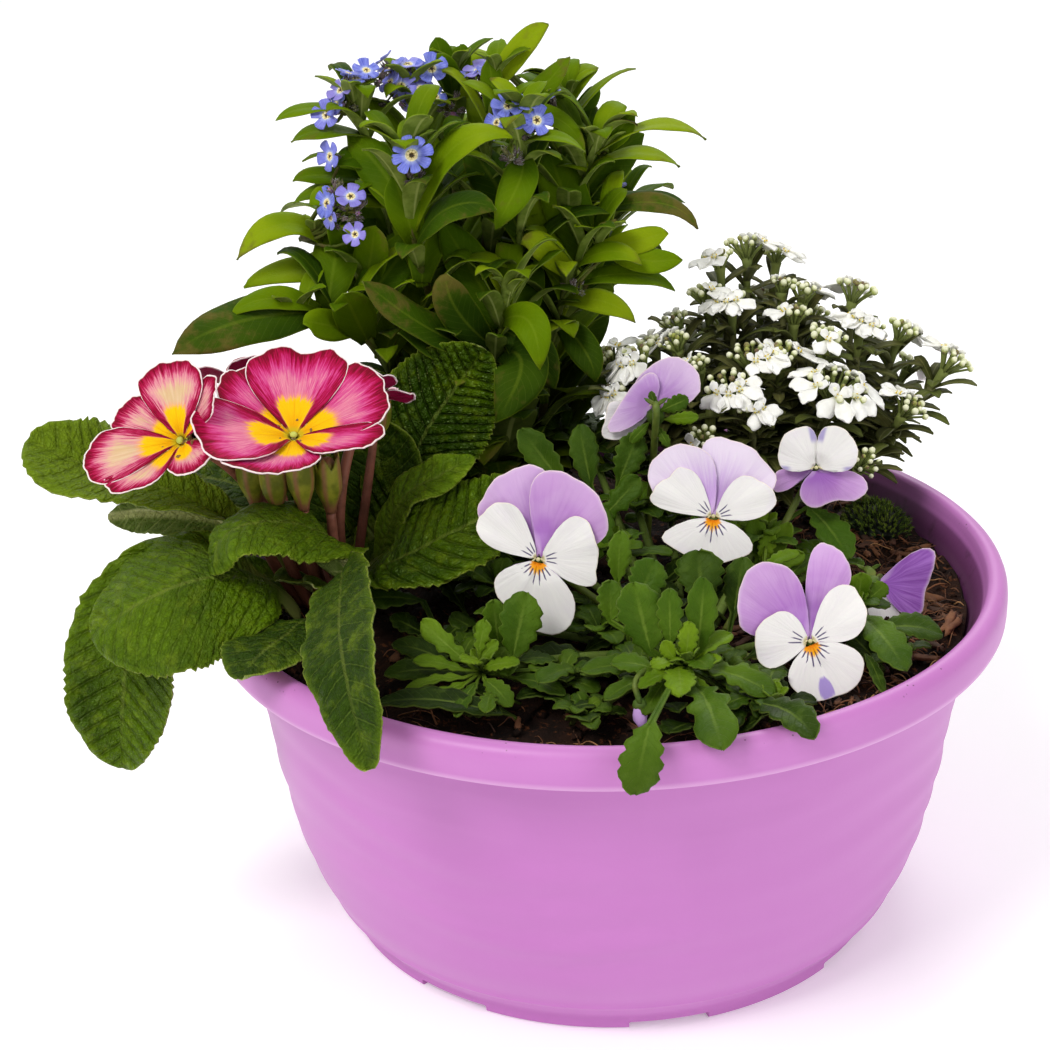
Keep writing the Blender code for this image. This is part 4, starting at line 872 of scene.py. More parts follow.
def primula_half_width(t, peak=1.38):
    """A winged stalk that opens into a broad, round-ended blade."""
    t = np.asarray(t)
    x = np.clip((t - 0.15) / 0.85, 0, 1)
    blade = np.sin(np.pi * x ** peak) ** 0.62
    return np.where(t < 0.15, 0.11, 0.11 + 0.89 * blade)


def primula_leaf(shape, pts, wide, face, end_face, fold, end_fold, cup, seed, n=104, m=43, quilt=1.0, tone=0.5, teeth=1.0, step=4.8, peak=1.38):
    ts = np.linspace(0, 1, n) ** 0.92
    ts = 1 - (1 - ts) ** 1.18
    fine = catmull(pts, np.linspace(0, 1, 200))
    arcl = np.concatenate([[0], np.cumsum(np.linalg.norm(np.diff(fine, axis=0), axis=1))])
    long = arcl[-1]
    # even steps along the midrib
    line = np.stack([np.interp(ts * long, arcl, fine[:, k]) for k in range(3)], axis=1)
    fr_t = frame_along(fine, face, end_face)
    s = unit(np.stack([np.interp(ts * long, arcl, fr_t[1][:, k]) for k in range(3)], axis=1))
    tg = unit(np.stack([np.interp(ts * long, arcl, fr_t[0][:, k]) for k in range(3)], axis=1))
    s = unit(s - tg * np.sum(s * tg, axis=1, keepdims=True))
    u = np.cross(s, tg)
    w = wide * 0.5 * primula_half_width(ts, peak)
    x = np.linspace(-1, 1, m)
    x = np.sign(x) * np.abs(x) ** 0.93
    fl = (fold + (end_fold - fold) * ts)[:, None]
    X_, T_ = np.meshgrid(x, ts)
    ymm = T_ * long
    # the margin is finely toothed and gently waved
    tooth = 0.030 * np.abs(np.sin(ymm * 1.15 + 0.6 * np.sin(ymm * 0.37 + seed) + X_ * 0.8)) + 0.018 * np.sin(ymm * 2.9 + seed)
    blade = np.clip((T_ - 0.18) / 0.12, 0, 1)
    edge = np.abs(X_) ** 7
    W = w[:, None] * (1 + teeth * tooth * edge * blade)
    lat = X_ * W
    ang = np.arctan(fl) * np.clip((T_ - 0.0) / 0.25, 0.25, 1)
    ax = np.sqrt(X_ ** 2 + 0.006) - math.sqrt(0.006)
    # cross section: a fold at the midrib, a curl towards the margin
    out_ = lat * np.cos(ang)
    lift = ax * W * np.sin(ang) + cup * W * X_ ** 2
    wave = np.sin(ymm * 0.21 + seed * 2 + 1.2 * np.sign(X_)) * 0.9 + 0.6 * np.sin(ymm * 0.47 + seed + 2.2 * np.sign(X_))
    lift = lift + wave * np.abs(X_) ** 2.6 * blade * 0.9
    # quilting: pillows between sunken side veins, broken across by smaller veins
    amm = np.abs(lat)
    n1 = wobble(np.stack([lat * 0.09, ymm * 0.09, np.full_like(lat, seed)], axis=-1), 1.0)
    n2 = wobble(np.stack([lat * 0.28, ymm * 0.28, np.full_like(lat, seed + 9)], axis=-1), 1.0)
    q = (ymm - 0.62 * amm - 0.010 * amm ** 2) / step + 0.22 * n1 + 0.5 * (X_ > 0)
    pp = amm / 3.3 + 0.35 * n2 + 0.5 * (np.floor(q) % 2)
    ridge = np.abs(np.sin(np.pi * q)) ** 0.55
    cross = 0.62 + 0.38 * np.abs(np.sin(np.pi * pp)) ** 0.6
    rib = 1 - np.exp(-(amm / 1.3) ** 2)
    h = ridge * cross * rib * np.clip((1.06 - np.abs(X_)) * 5, 0, 1) * blade
    h = h * 0.95 * quilt * np.clip(w[:, None] / 9, 0.2, 1) * (step / 4.8) ** 0.5 + 0.35 * n2 * blade
    # a broad midrib stands out underneath and is a groove on top
    h = h - 0.55 * np.exp(-(amm / 1.1) ** 2) * (1.15 - T_)
    grid = line[:, None, :] + s[:, None, :] * out_[:, :, None] + u[:, None, :] * (lift + h)[:, :, None]
    thick = 0.55 + 1.9 * np.exp(-(amm / (1.9 - 1.1 * T_)) ** 2) * (1.05 - T_) ** 0.8
    lf = np.stack([X_, T_, (1 - np.abs(X_)) * W], axis=-1)
    cell = np.stack([q, pp, amm], axis=-1)
    tn = np.broadcast_to(arr((tone, seed * 0.137 % 1.0, quilt)), lf.shape)
    sheet(shape, grid, thick, lf=lf, cell=cell, tn=tn, eye=np.stack([lat, ymm, w[:, None] + 0 * lat], axis=-1))


def primula_leaf_material():
    g = Graph("primula_leaf_green")
    x, t, edge = g.attr("lf")
    q, pp, amm = g.attr("cell")
    tone, rnd, quilt = g.attr("tn")
    lat, ymm, _ = g.attr("eye")
    side = g.attr("side")[0]
    p = g.place()
    n_big = g.noise(p, 38.0, 2.0, 0.5)
    n_mid = g.noise(p, 190.0, 3.0, 0.6)
    n_fine = g.noise(p, 900.0, 2.0, 0.6)
    # the net of small veins sinks between little pillows
    net = g.vec(lat + (n_mid - 0.5) * 0.8, ymm - lat.abs() * 0.5, rnd * 60.0)
    pillow = g.ease(g.cells(net, 0.34, "DISTANCE_TO_EDGE"), 0.0, 0.30)
    small = g.ease(g.cells(net, 0.95, "DISTANCE_TO_EDGE"), 0.0, 0.22)
    vq = g.ease((q * math.pi).sin().abs(), 0.22, 0.02)
    dark, mid, light = srgb(38, 62, 0), srgb(84, 112, 4), srgb(122, 144, 24)
    col = g.mix(g.ease(n_big + (tone - 0.5) * 0.5, 0.30, 0.72), dark, mid)
    col = g.mix(g.ease(n_mid, 0.46, 0.72) * 0.4, col, light)
    col = g.mix(g.ease(tone, 0.95, 1.4) * 0.55, col, light)
    fade = g.ease(edge, 0.2, 2.5)
    valley = g.ease((q * math.pi).sin().abs(), 0.62, 0.08)
    # painted shade: the sunken net of small veins and the valleys between the pillows are painted darker
    col = g.scale(col, 1.0 - (1.0 - pillow) * 0.20 * fade - (1.0 - small) * 0.05 * fade - valley * g.ease(quilt, 0.9, 1.8, 0.13, 0.46) * fade)
    col = g.mix(vq * fade * g.ease(quilt, 1.0, 1.7, 0.26, 0.10), col, srgb(118, 142, 50))
    rib = g.ease(amm, 0.9, 0.3) * g.ease(t, 1.0, 0.75)
    col = g.mix(rib * 0.34, col, srgb(126, 140, 58))
    # towards the margin the blade turns yellow-green, and the teeth are paler still
    col = g.mix(g.ease(edge, 2.2, 0.1) * 0.30 * g.ease(t, 0.15, 0.4), col, srgb(104, 128, 16))
    col = g.mix(g.ease(edge, 0.36, 0.05) * 0.50 * g.ease(t, 0.15, 0.35), col, srgb(150, 162, 62))
    # the winged stalk is whitish green
    col = g.mix(g.ease(t, 0.26, 0.08) * 0.65, col, srgb(146, 148, 84))
    # underside: pale, with the ribs paler still
    under = g.mix(vq * 0.8, srgb(96, 116, 46), srgb(160, 168, 98))
    under = g.mix((1.0 - pillow) * 0.5, under, srgb(134, 148, 80))
    under = g.mix(g.ease(amm, 2.2, 0.6), under, srgb(182, 184, 120))
    col = g.mix(g.ease(side, 0.6, 0.4), col, under)
    g.set("Base Color", col)
    g.set("Roughness", g.ease(quilt + n_mid * 0.2, 1.0, 1.7, 0.56, 0.33))
    g.set("Specular IOR Level", 0.32)
    g.set("Specular Tint", (0.66, 0.86, 0.34))
    g.set("Subsurface Weight", 0.06)
    g.bsdf.inputs["Subsurface Radius"].default_value = (0.0012, 0.0016, 0.0005)
    g.bump((pillow * 0.8 + small * 0.35 - valley * g.ease(quilt, 1.0, 1.6, 0.6, 1.4)) * g.ease(quilt, 0.3, 1.8, 0.60, 1.30) * g.ease(t, 0.12, 0.3) + n_fine * 0.10, 0.75, 0.0010)
    return g.mat


def make_primula_leaves():
    mat = primula_leaf_material()
    for k, (name, pts, wide, face, end_face, fold, end_fold, cup) in enumerate(PRIMULA_LEAVES):
        s = Shape()
        # tone of each leaf from dark to light; leaf 9 at -0.55 is painted darker for the shade it lies in below leaf 2
        tone = (1.3, 0.80, 0.60, 0.85, 0.0, 0.30, 0.72, 0.90, -0.55, 0.6, 0.3)[k]
        quilt = (1.1, 1.05, 1.40, 1.0, 0.9, 1.9, 1.40, 1.0, 0.7, 0.8, 0.9)[k]
        fine = (76, 31) if k in (1, 2, 4, 6) else (60, 27)
        fine = (110, 43) if k == 5 else fine
        primula_leaf(s, pts, wide, arr(face), arr(end_face), fold, end_fold, cup, 1.7 * k + 0.3, fine[0], fine[1], quilt=quilt, tone=tone,
                     step=3.5 if k == 5 else 4.8, peak=2.1 if k == 0 else 1.38, teeth=2.2 if k in (0, 3, 6) else 1.2)
        piece(s, name + "_blade", mat, (name,))
    # small inner leaves of the rosette, between the big ones
    inner = (((-80, -14, 98), (-84, -20, 108), (-92, -28, 114)), ((-74, -18, 98), (-76, -26, 110), (-80, -38, 116)),
             ((-72, -4, 98), (-66, 2, 112), (-62, 12, 118)), ((-84, -4, 98), (-92, 4, 112), (-102, 10, 120)),
             ((-77, 0, 98), (-78, 10, 112), (-80, 20, 122)), ((-70, -12, 98), (-62, -16, 108), (-52, -20, 114)),
             ((-86, -8, 98), (-98, -10, 106), (-112, -12, 110)))
    s = Shape()
    for k, pts in enumerate(inner):
        primula_leaf(s, pts, 13 + 2 * (k % 3), arr((0, -1, 8)), arr((0, -1, 8)), 0.3, 0.15, 0.05, 21.0 + k, n=30, m=13,
                     quilt=0.5, tone=0.3 + 0.08 * k)
    behind = (((-84, 2, 98), (-93, 6, 114), (-105, 8, 126), (-118, 9, 130), (-132, 10, 130)), ((-76, 4, 98), (-78, 10, 120), (-81, 13, 137), (-86, 13, 150)),
              ((-72, 4, 98), (-68, 8, 118), (-66, 10, 134), (-68, 10, 148)))
    for k, pts in enumerate(behind):
        look = arr((0, -3, 9)) if k == 0 else arr((0, -9, 3))
        primula_leaf(s, pts, 26, look, look, 0.1, 0.1, 0.1, 31.0 + k, n=40, m=17, quilt=0.8, tone=-0.3)
    piece(s, "primula_inner_leaves", mat)


# flowers: node, centre, way it faces, foot of the stalk, how pale the middle is, depth of the cup at what distance,
# then the petals from the back to the front: outline as angle and distance, and how far forward it lies
PRIMULA_FLOWERS = (
    ("primula_flower_1", (-84, -30, 158), (0.6, -3, 9.5), (-80, -14, 99), 0.0, (8.7, 28), (
        (((-60, 13.0), (-72, 18.2), (-88, 21.5), (-104, 24.2), (-116, 26.6), (-127, 28.3), (-138, 27.6), (-148, 20.0)), 0.0),
        (((156, 20.9), (144, 23.9), (134, 25.7), (122, 25.5), (112, 24.9), (101, 20.9)), 0.3),
        (((56, 20.6), (46, 25.6), (38, 27.4), (26, 27.8), (13, 27.0), (2, 26.2), (-10, 25.4), (-20, 23.6), (-30, 17.5)), 0.5),
        (((-10, 19.0), (-17, 23.6), (-25, 26.0), (-33, 26.8), (-42, 26.0), (-50, 23.2), (-59, 19.2), (-69, 15.2), (-82, 9.5)), 1.0),
        (((37, 21.1), (47, 25.9), (56, 27.2), (65, 27.9), (75, 26.2), (89, 27.3), (102, 26.6), (115, 24.9), (128, 20.2)), 1.2),
        (((-113, 14.0), (-121, 20.5), (-129, 25.4), (-138, 28.2), (-150, 28.2), (-163, 27.4), (-176, 26.8), (173, 26.2), (163, 24.2), (153, 21.6),
          (144, 18.0)), 1.5))),
    ("primula_flower_2", (-114, -35, 159), (-4, -8, 6), (-84, -9, 99), 1.0, (9.0, 25), (
        (((-104, 8.0), (-74, 10.1), (-49, 11.6), (-15, 14.2), (7, 11.1)), 0.0),
        (((-145, 18.1), (-131, 22.1), (-119, 20.8), (-107, 15.8), (-90, 11.1)), 0.5),
        (((136, 15.0), (151, 17.6), (166, 18.4), (-179, 18.6), (-168, 15.1)), 0.6),
        (((75, 16.0), (60, 20.3), (48, 16.9), (30, 12.6)), 0.8),
        (((176, 14.7), (-172, 20.3), (-154, 24.4), (-138, 24.3), (-124, 19.4)), 1.2),
        (((58, 15.2), (72, 19.6), (93, 20.6), (113, 19.9), (133, 18.6), (148, 14.8)), 1.5))),
    ("primula_flower_3", (-104.7, 14, 157.5), (-2, 3, 9), (-80, -4, 99), 0.0, (7.0, 20), (
        (((50, 14), (64, 18.5), (86, 19.5), (104, 18.5), (124, 14)), 0.0), (((-22, 14), (-8, 18.5), (14, 19.5), (36, 18.5), (52, 14)), 0.3),
        (((-94, 14), (-80, 18.5), (-58, 19.5), (-36, 18.5), (-20, 14)), 0.6), (((-166, 14), (-152, 18.5), (-130, 19.5), (-108, 18.5), (-92, 14)), 0.9),
        (((122, 10), (136, 13.0), (158, 14.0), (180, 13.5), (196, 10)), 1.2))),
    ("primula_flower_4", (-66, -4, 160), (3, 6, 7), (-75, -7, 99), 0.0, (3.0, 16), (
        (((50, 10), (64, 13.5), (86, 14.5), (104, 13.5), (124, 10)), 0.0), (((-22, 11), (-8, 14.5), (14, 15.5), (36, 14.5), (52, 11)), 0.3),
        (((-94, 9), (-80, 12.5), (-58, 13.5), (-36, 12.5), (-20, 9)), 0.6), (((-190, 10), (-176, 12.2), (-158, 13.0), (-140, 12.2), (-124, 10)), 0.9),
        (((98, 10), (112, 12.5), (130, 13.5), (150, 12.5), (166, 10)), 1.2))),
)


def primula_rise(depth, at, lift, seed, top, furl=1.0):
    """How high a petal stands over the flower's plane: cupped, waved at its end, with a furrow down the middle."""
    def height(r, TH, tt):
        z = depth * (r / at) ** 1.5 - 1.5 * np.exp(-(r / 2.4) ** 2) + lift * np.clip(tt * 3, 0, 1)
        z = z + furl * (np.sin(TH * 4.1 + seed) * 0.8 + 0.45 * np.sin(TH * 8.3 + 2.1 * seed)) * np.clip(tt - 0.4, 0, 1) ** 1.4 * top * 0.055
        z = z - 0.42 * np.exp(-(TH / 0.06) ** 2) * np.clip(tt * 1.6, 0, 1)
        z = z + 0.10 * np.sin(TH * 38 + 0.8 * np.sin(tt * 9 + seed)) * np.clip(tt * 2, 0, 1)
        return z - 0.9 * furl * np.clip(tt - 0.86, 0, 1) ** 2 * 30
    return height


def primula_petal_material():
    g = Graph("primula_petals")
    th, t, edge = g.attr("lf")
    pale, rnd, _ = g.attr("tn")
    side = g.attr("side")[0]
    p = g.place()
    # fine streaks fan out from the throat
    ray = g.ease(g.noise(g.vec(th * 17.0 + rnd * 40.0, t * 2.6, rnd * 7.0), 1.0, 3.0, 0.65), 0.30, 0.70)
    ray2 = g.ease(g.noise(g.vec(th * 54.0 + rnd * 90.0, t * 6.0, rnd * 3.0), 1.0, 3.0, 0.65), 0.28, 0.72)
    mottle = g.noise(p, 420.0, 3.0, 0.65)
    # crimson along the margin runs inwards in streaks and thins out to pink, or to cream on the paler flowers
    inward = edge * (1.0 + pale * 0.50) * (1.7 - t * 0.7) + (ray - 0.5) * 3.4 + (ray2 - 0.5) * 4.6 + (mottle - 0.5) * 2.0
    core = g.mix(ray2, srgb(216, 100, 144), srgb(230, 146, 164))
    cream = g.mix(ray, srgb(214, 180, 132), srgb(226, 196, 158))
    cream = g.mix(g.ease(t, 0.62, 0.9) * ray2 * 0.5, cream, srgb(232, 172, 168))
    core = g.mix(pale, core, cream)
    col = g.mix(g.ease(inward, 13.0, 7.5), core, g.mix(pale, srgb(212, 76, 140), srgb(222, 146, 156)))
    col = g.mix(g.ease(inward, 8.2, 5.0) * (1.0 - 0.15 * pale), col, srgb(196, 34, 106))
    col = g.mix(g.ease(inward, 5.8, 3.2), col, srgb(168, 6, 62))
    col = g.mix(g.ease(inward, 3.0, 1.0), col, srgb(120, 2, 32))
    # the yellow eye is a star with one rounded lobe on each petal
    off = (th.abs() - 0.44).max(0.0)
    star = t + th * th * 0.05 + off * off * 1.5 + (ray - 0.5) * 0.05 + (ray2 - 0.5) * 0.05
    gold = g.mix(g.ease(star, 0.08, 0.34), srgb(236, 168, 0), srgb(250, 196, 4))
    col = g.mix(g.ease(star, 0.50, 0.42) * 0.55, col, srgb(240, 158, 110))
    col = g.mix(g.ease(star, 0.455, 0.395), col, gold)
    col = g.mix(g.ease(th.abs(), 0.05, 0.0) * g.ease(t, 0.5, 0.3) * 0.35, col, srgb(206, 120, 0))
    col = g.mix(g.ease(t, 0.13, 0.08) * 0.8, col, srgb(206, 184, 30))
    col = g.mix(g.ease(t, 0.075, 0.045), col, srgb(140, 136, 34))
    # a fine white margin
    rim = g.ease(edge + (mottle - 0.5) * 0.3, 0.50, 0.26) * g.ease(t, 0.36, 0.52)
    col = g.mix(rim, col, srgb(248, 232, 230))
    back = g.mix(g.ease(t, 0.1, 0.5), srgb(206, 190, 120), srgb(150, 14, 64))
    back = g.mix(g.ease(ray2, 0.4, 1.0) * 0.35, back, srgb(184, 50, 104))
    back = g.mix(g.ease(edge, 0.6, 0.3) * g.ease(t, 0.4, 0.5), back, srgb(236, 206, 214))
    col = g.mix(g.ease(side, 0.6, 0.4), col, back)
    g.set("Base Color", col)
    g.set("Roughness", g.ease(mottle, 0.3, 0.7, 0.56, 0.68))
    g.set("Specular IOR Level", 0.10)
    g.set("Subsurface Weight", 0.08)
    g.bsdf.inputs["Subsurface Radius"].default_value = (0.0012, 0.0006, 0.0005)
    g.bump(ray2 * 0.7 + ray * 0.6, 0.30, 0.0005)
    return g.mat


def stalk_material(name, low, high, speck, rough=0.5):
    g = Graph(name)
    t = g.attr("lf")[1]
    p = g.place()
    a = g.noise(p, 130.0, 3.0, 0.6)
    streak = g.noise(g.vec(g.attr("lf")[1] * 2.0, a * 3.0, 0.0), 3.0, 2.0)
    col = g.mix(g.ease(t, 0.1, 0.8), low, high)
    col = g.mix(g.ease(a, 0.42, 0.70) * 0.7, col, speck)
    g.set("Base Color", col)
    g.set("Roughness", rough)
    g.set("Specular IOR Level", 0.25)
    g.set("Subsurface Weight", 0.08)
    g.bsdf.inputs["Subsurface Radius"].default_value = (0.0015, 0.0012, 0.0006)
    g.bump(g.noise(p, 1100.0, 2.0) + streak * 0.3, 0.3, 0.0005)
    return g.mat


def primula_calyx_material():
    g = Graph("primula_calyx_green")
    x, t, _ = g.attr("lf")
    p = g.place()
    a = g.noise(p, 150.0, 3.0, 0.6)
    col = g.mix(g.ease(a, 0.40, 0.65), srgb(98, 104, 20), srgb(142, 142, 40))
    # five reddish ribs, and a reddish foot
    col = g.mix(g.ease(x + (a - 0.5) * 0.9, 0.20, 1.10) * 0.80, col, srgb(146, 92, 66))
    col = g.mix(g.ease(t + (a - 0.5) * 0.3, 0.40, 0.06) * 0.9, col, srgb(132, 78, 62))
    g.set("Base Color", col)
    g.set("Roughness", 0.5)
    g.set("Specular IOR Level", 0.25)
    g.set("Subsurface Weight", 0.08)
    g.bsdf.inputs["Subsurface Radius"].default_value = (0.0015, 0.0012, 0.0006)
    g.bump(g.noise(p, 1100.0, 2.0) + a * 0.4, 0.3, 0.0005)
    return g.mat


def make_primula_flowers():
    petal = primula_petal_material()
    stalk = stalk_material("primula_stalk_pink", srgb(108, 60, 46), srgb(146, 90, 72), srgb(88, 52, 36))
    calyx = primula_calyx_material()
    centre = stalk_material("primula_stigma", srgb(196, 204, 96), srgb(214, 216, 120), srgb(160, 176, 50))
    for name, c, face, foot, pale, (deep, at_), petals in PRIMULA_FLOWERS:
        c, n, foot = arr(c), unit(arr(face)), arr(foot)
        right = -unit(np.cross(n, (0, 0, 1)))
        up = np.cross(right, -n)
        up = up if up[2] > 0 else -up
        s = Shape()
        far = name[-1] in "34"
        for k, (outline, lift) in enumerate(petals):
            seed = 3.7 * k + c[0]
            outline_petal(s, c, right, up, n, outline, primula_rise(deep, at_, lift, seed, 26.0), seed, (pale, seed % 1.0, 0.0),
                          nr=14 if far else 28, na=19 if far else 39, rag=0.012, claw=0.62)
        # throat and the corolla tube behind it
        base = c - n * 9
        line = np.array([c - n * 1.2, c - n * 3, c - n * 6, base])
        tube(s, line, np.array([3.0, 2.4, 2.1, 1.9]), 14, lf=(0, 0.04, 5), tn=(pale, 0.5, 0))
        piece(s, name + "_corolla", petal, (name,))
        # stigma and its green collar
        e = Shape()
        ball(e, c + n * 0.1, n, (1.05, 0.75), 6, 14)
        for k in range(12):
            a = 2 * math.pi * k / 12
            d = right * math.cos(a) + up * math.sin(a)
            ball(e, c + d * 1.75 - n * 0.8, d * 0.4 + n, (0.32, 0.6), 4, 7)
        piece(e, name + "_stigma", centre)
        # stalk, in line with the flower, and a five-ribbed calyx ending in pointed lobes
        top = c - n * 9.4
        ctrl = top - n * (np.linalg.norm(top - foot) * 0.5)
        ts = np.linspace(0, 1, 26)
        line = arc(foot, ctrl, top - n * 0.3, ts)
        st = Shape()
        tube(st, line, 1.75 - 0.35 * ts + 0.25 * np.exp(-(ts / 0.06) ** 2), 14)
        cal = Shape()
        rings, sides = 18, 40
        a = 2 * np.pi * np.arange(sides) / sides
        hs = np.linspace(0, 1, rings)
        prof = 1.4 + 3.0 * np.sin(np.pi * np.clip(hs, 0, 1) ** 0.75 * 0.62) ** 1.1
        grid = np.zeros((rings, sides + 1, 3))
        for i in range(rings):
            aa = np.append(a, 2 * np.pi)
            fold_ = 1 + 0.15 * np.cos(5 * aa)
            tip = 4.6 * np.clip(np.cos(5 * aa) * 0.5 + 0.5, 0, 1) ** 1.4 if hs[i] > 0 else 0
            z = -11.4 + 8.6 * hs[i] + tip * hs[i] ** 3
            r = prof[i] * fold_
            grid[i] = c - n * 0 + (right[None] * np.cos(aa)[:, None] + up[None] * np.sin(aa)[:, None]) * r[:, None] + n[None] * np.broadcast_to(z, aa.shape)[:, None]
        lf = np.zeros((rings, sides + 1, 3))
        lf[..., 1] = hs[:, None]
        lf[..., 0] = np.cos(5 * aa)[None]
        sheet(cal, grid[:, ::-1], 0.5, lf=lf[:, ::-1])
        ob = piece(st, name.replace("flower", "stalk") + "_stem", stalk, (name.replace("flower", "stalk"),))
        piece(cal, name.replace("flower", "stalk") + "_calyx", calyx)
    # buds and spent stalks crowd below the open flowers
    rng = random.Random(5)
    st, cal, bud = Shape(), Shape(), Shape()
    buds = (((-84, -16, 99), (-89.2, -22, 116), (-91, -24, 132.8), 0.0), ((-80, -18, 99), (-82.6, -24, 116), (-83.4, -26, 134.2), 0.0),
            ((-76, -15, 99), (-76.4, -20, 115), (-76.5, -22, 131.7), 0.0),
            ((-87, -13, 99), (-95, -18, 116), (-97.8, -20, 133), 0.0), ((-74, -4, 99), (-68, -2, 132), (-65.5, -1, 146), 1.0),
            ((-84, -8, 99), (-92, -2, 124), (-96, 2, 140), 0.0))
    for foot, mid, top, open_ in buds:
        foot, mid, top = arr(foot), arr(mid), arr(top)
        ctrl = 2 * mid - (foot + top) / 2
        ts = np.linspace(0, 1, 18)
        line = arc(foot, ctrl, top, ts)
        tall = 1.0 if top[1] < -19 else 0.0
        tube(st, line, 1.5 + 0.3 * tall - 0.4 * ts, 10)
        d = unit(line[-1] - line[-3])
        rings, sides = 12, 30
        aa = 2 * np.pi * np.arange(sides + 1) / sides
        rx = unit(np.cross(d, (0.3, 0.1, 1)))
        ry = np.cross(rx, d)
        grid = np.zeros((rings, sides + 1, 3))
        for i in range(rings):
            h = i / (rings - 1)
            r = (1.2 + 2.5 * math.sin(math.pi * h ** 0.8 * 0.75) ** 1.1) * (1 + 0.12 * np.cos(5 * aa))
            if tall:
                q = min(1.0, h / 0.62)
                r = (1.35 + 2.35 * q * q * (3 - 2 * q) - 0.8 * max(0.0, h - 0.72)) * (1 + 0.07 * q * np.cos(5 * aa))
            z = h * (8.5 + 5.5 * tall) + (3.2 + 0.8 * tall) * np.clip(np.cos(5 * aa) * .5 + .5, 0, 1) * h ** 3
            grid[i] = top + (rx[None] * np.cos(aa)[:, None] + ry[None] * np.sin(aa)[:, None]) * r[:, None] + d[None] * z[:, None]
        lf = np.zeros((rings, sides + 1, 3))
        lf[..., 1] = np.linspace(0, 1, rings)[:, None]
        lf[..., 0] = np.cos(5 * aa)[None]
        sheet(cal, grid, 0.45, lf=lf)
        if open_:
            for k in range(5):
                a = math.degrees(2 * math.pi * k / 5 + top[0])
                outline = ((a - 40, 3.6), (a - 26, 4.8), (a - 8, 5.4), (a + 8, 5.4), (a + 26, 4.8), (a + 40, 3.6))
                outline_petal(bud, top + d * 9, rx, ry, d, outline, primula_rise(9.0, 8.0, 0.2 * k, 2.0 * k, 8.0, 0.5), 2.0 * k,
                              (0.0, 0.2 * k, 0.0), nr=12, na=15, thick=0.3)
        else:
            ball(cal, top + d * (7.0 + 5.0 * tall), d, (2.0 + 0.9 * tall, 3.0 + 2.0 * tall), 6, 10)
    piece(st, "primula_bud_stalks", stalk)
    piece(cal, "primula_bud_calyxes", calyx)
    piece(bud, "primula_buds", petal)


make_primula_leaves()
make_primula_flowers()

# ------------------------------------------------------------------ forget-me-not
MYOSOTIS_STEMS = (
    ((-46, 52, 98), (-64, 50, 201), (-72, 45, 232)),
    ((-42, 60, 98), (-52, 58, 202), (-56, 60, 234)),
    ((-37, 66, 98), (-44, 68, 203), (-40, 72, 236)),
    ((-32, 57, 98), (-33, 54, 203), (-28, 58, 238)),
    ((-30, 49, 98), (-23, 42, 202), (-22, 40, 226)),
    ((-26, 63, 98), (-14, 68, 198), (-8, 74, 226)),
    ((-23, 56, 98), (-9, 58, 189), (3, 60, 212)),
    ((-21, 50, 98), (-12, 46, 170), (6, 48, 185)),
    ((-50, 56, 98), (-70, 45, 172), (-89, 42, 192)),
    ((-49, 47, 98), (-69, 34, 162), (-97, 24, 173)),
    ((-37, 43, 98), (-32, 34, 153), (-25, 26, 182)),
    ((-42, 46, 98), (-54, 32, 194), (-53, 26, 220)),
    ((-46, 66, 98), (-68, 82, 160), (-82, 92, 182)),
    ((-36, 70, 98), (-36, 90, 165), (-36, 100, 205)),
    ((-26, 68, 98), (-8, 86, 155), (8, 96, 184)),
)
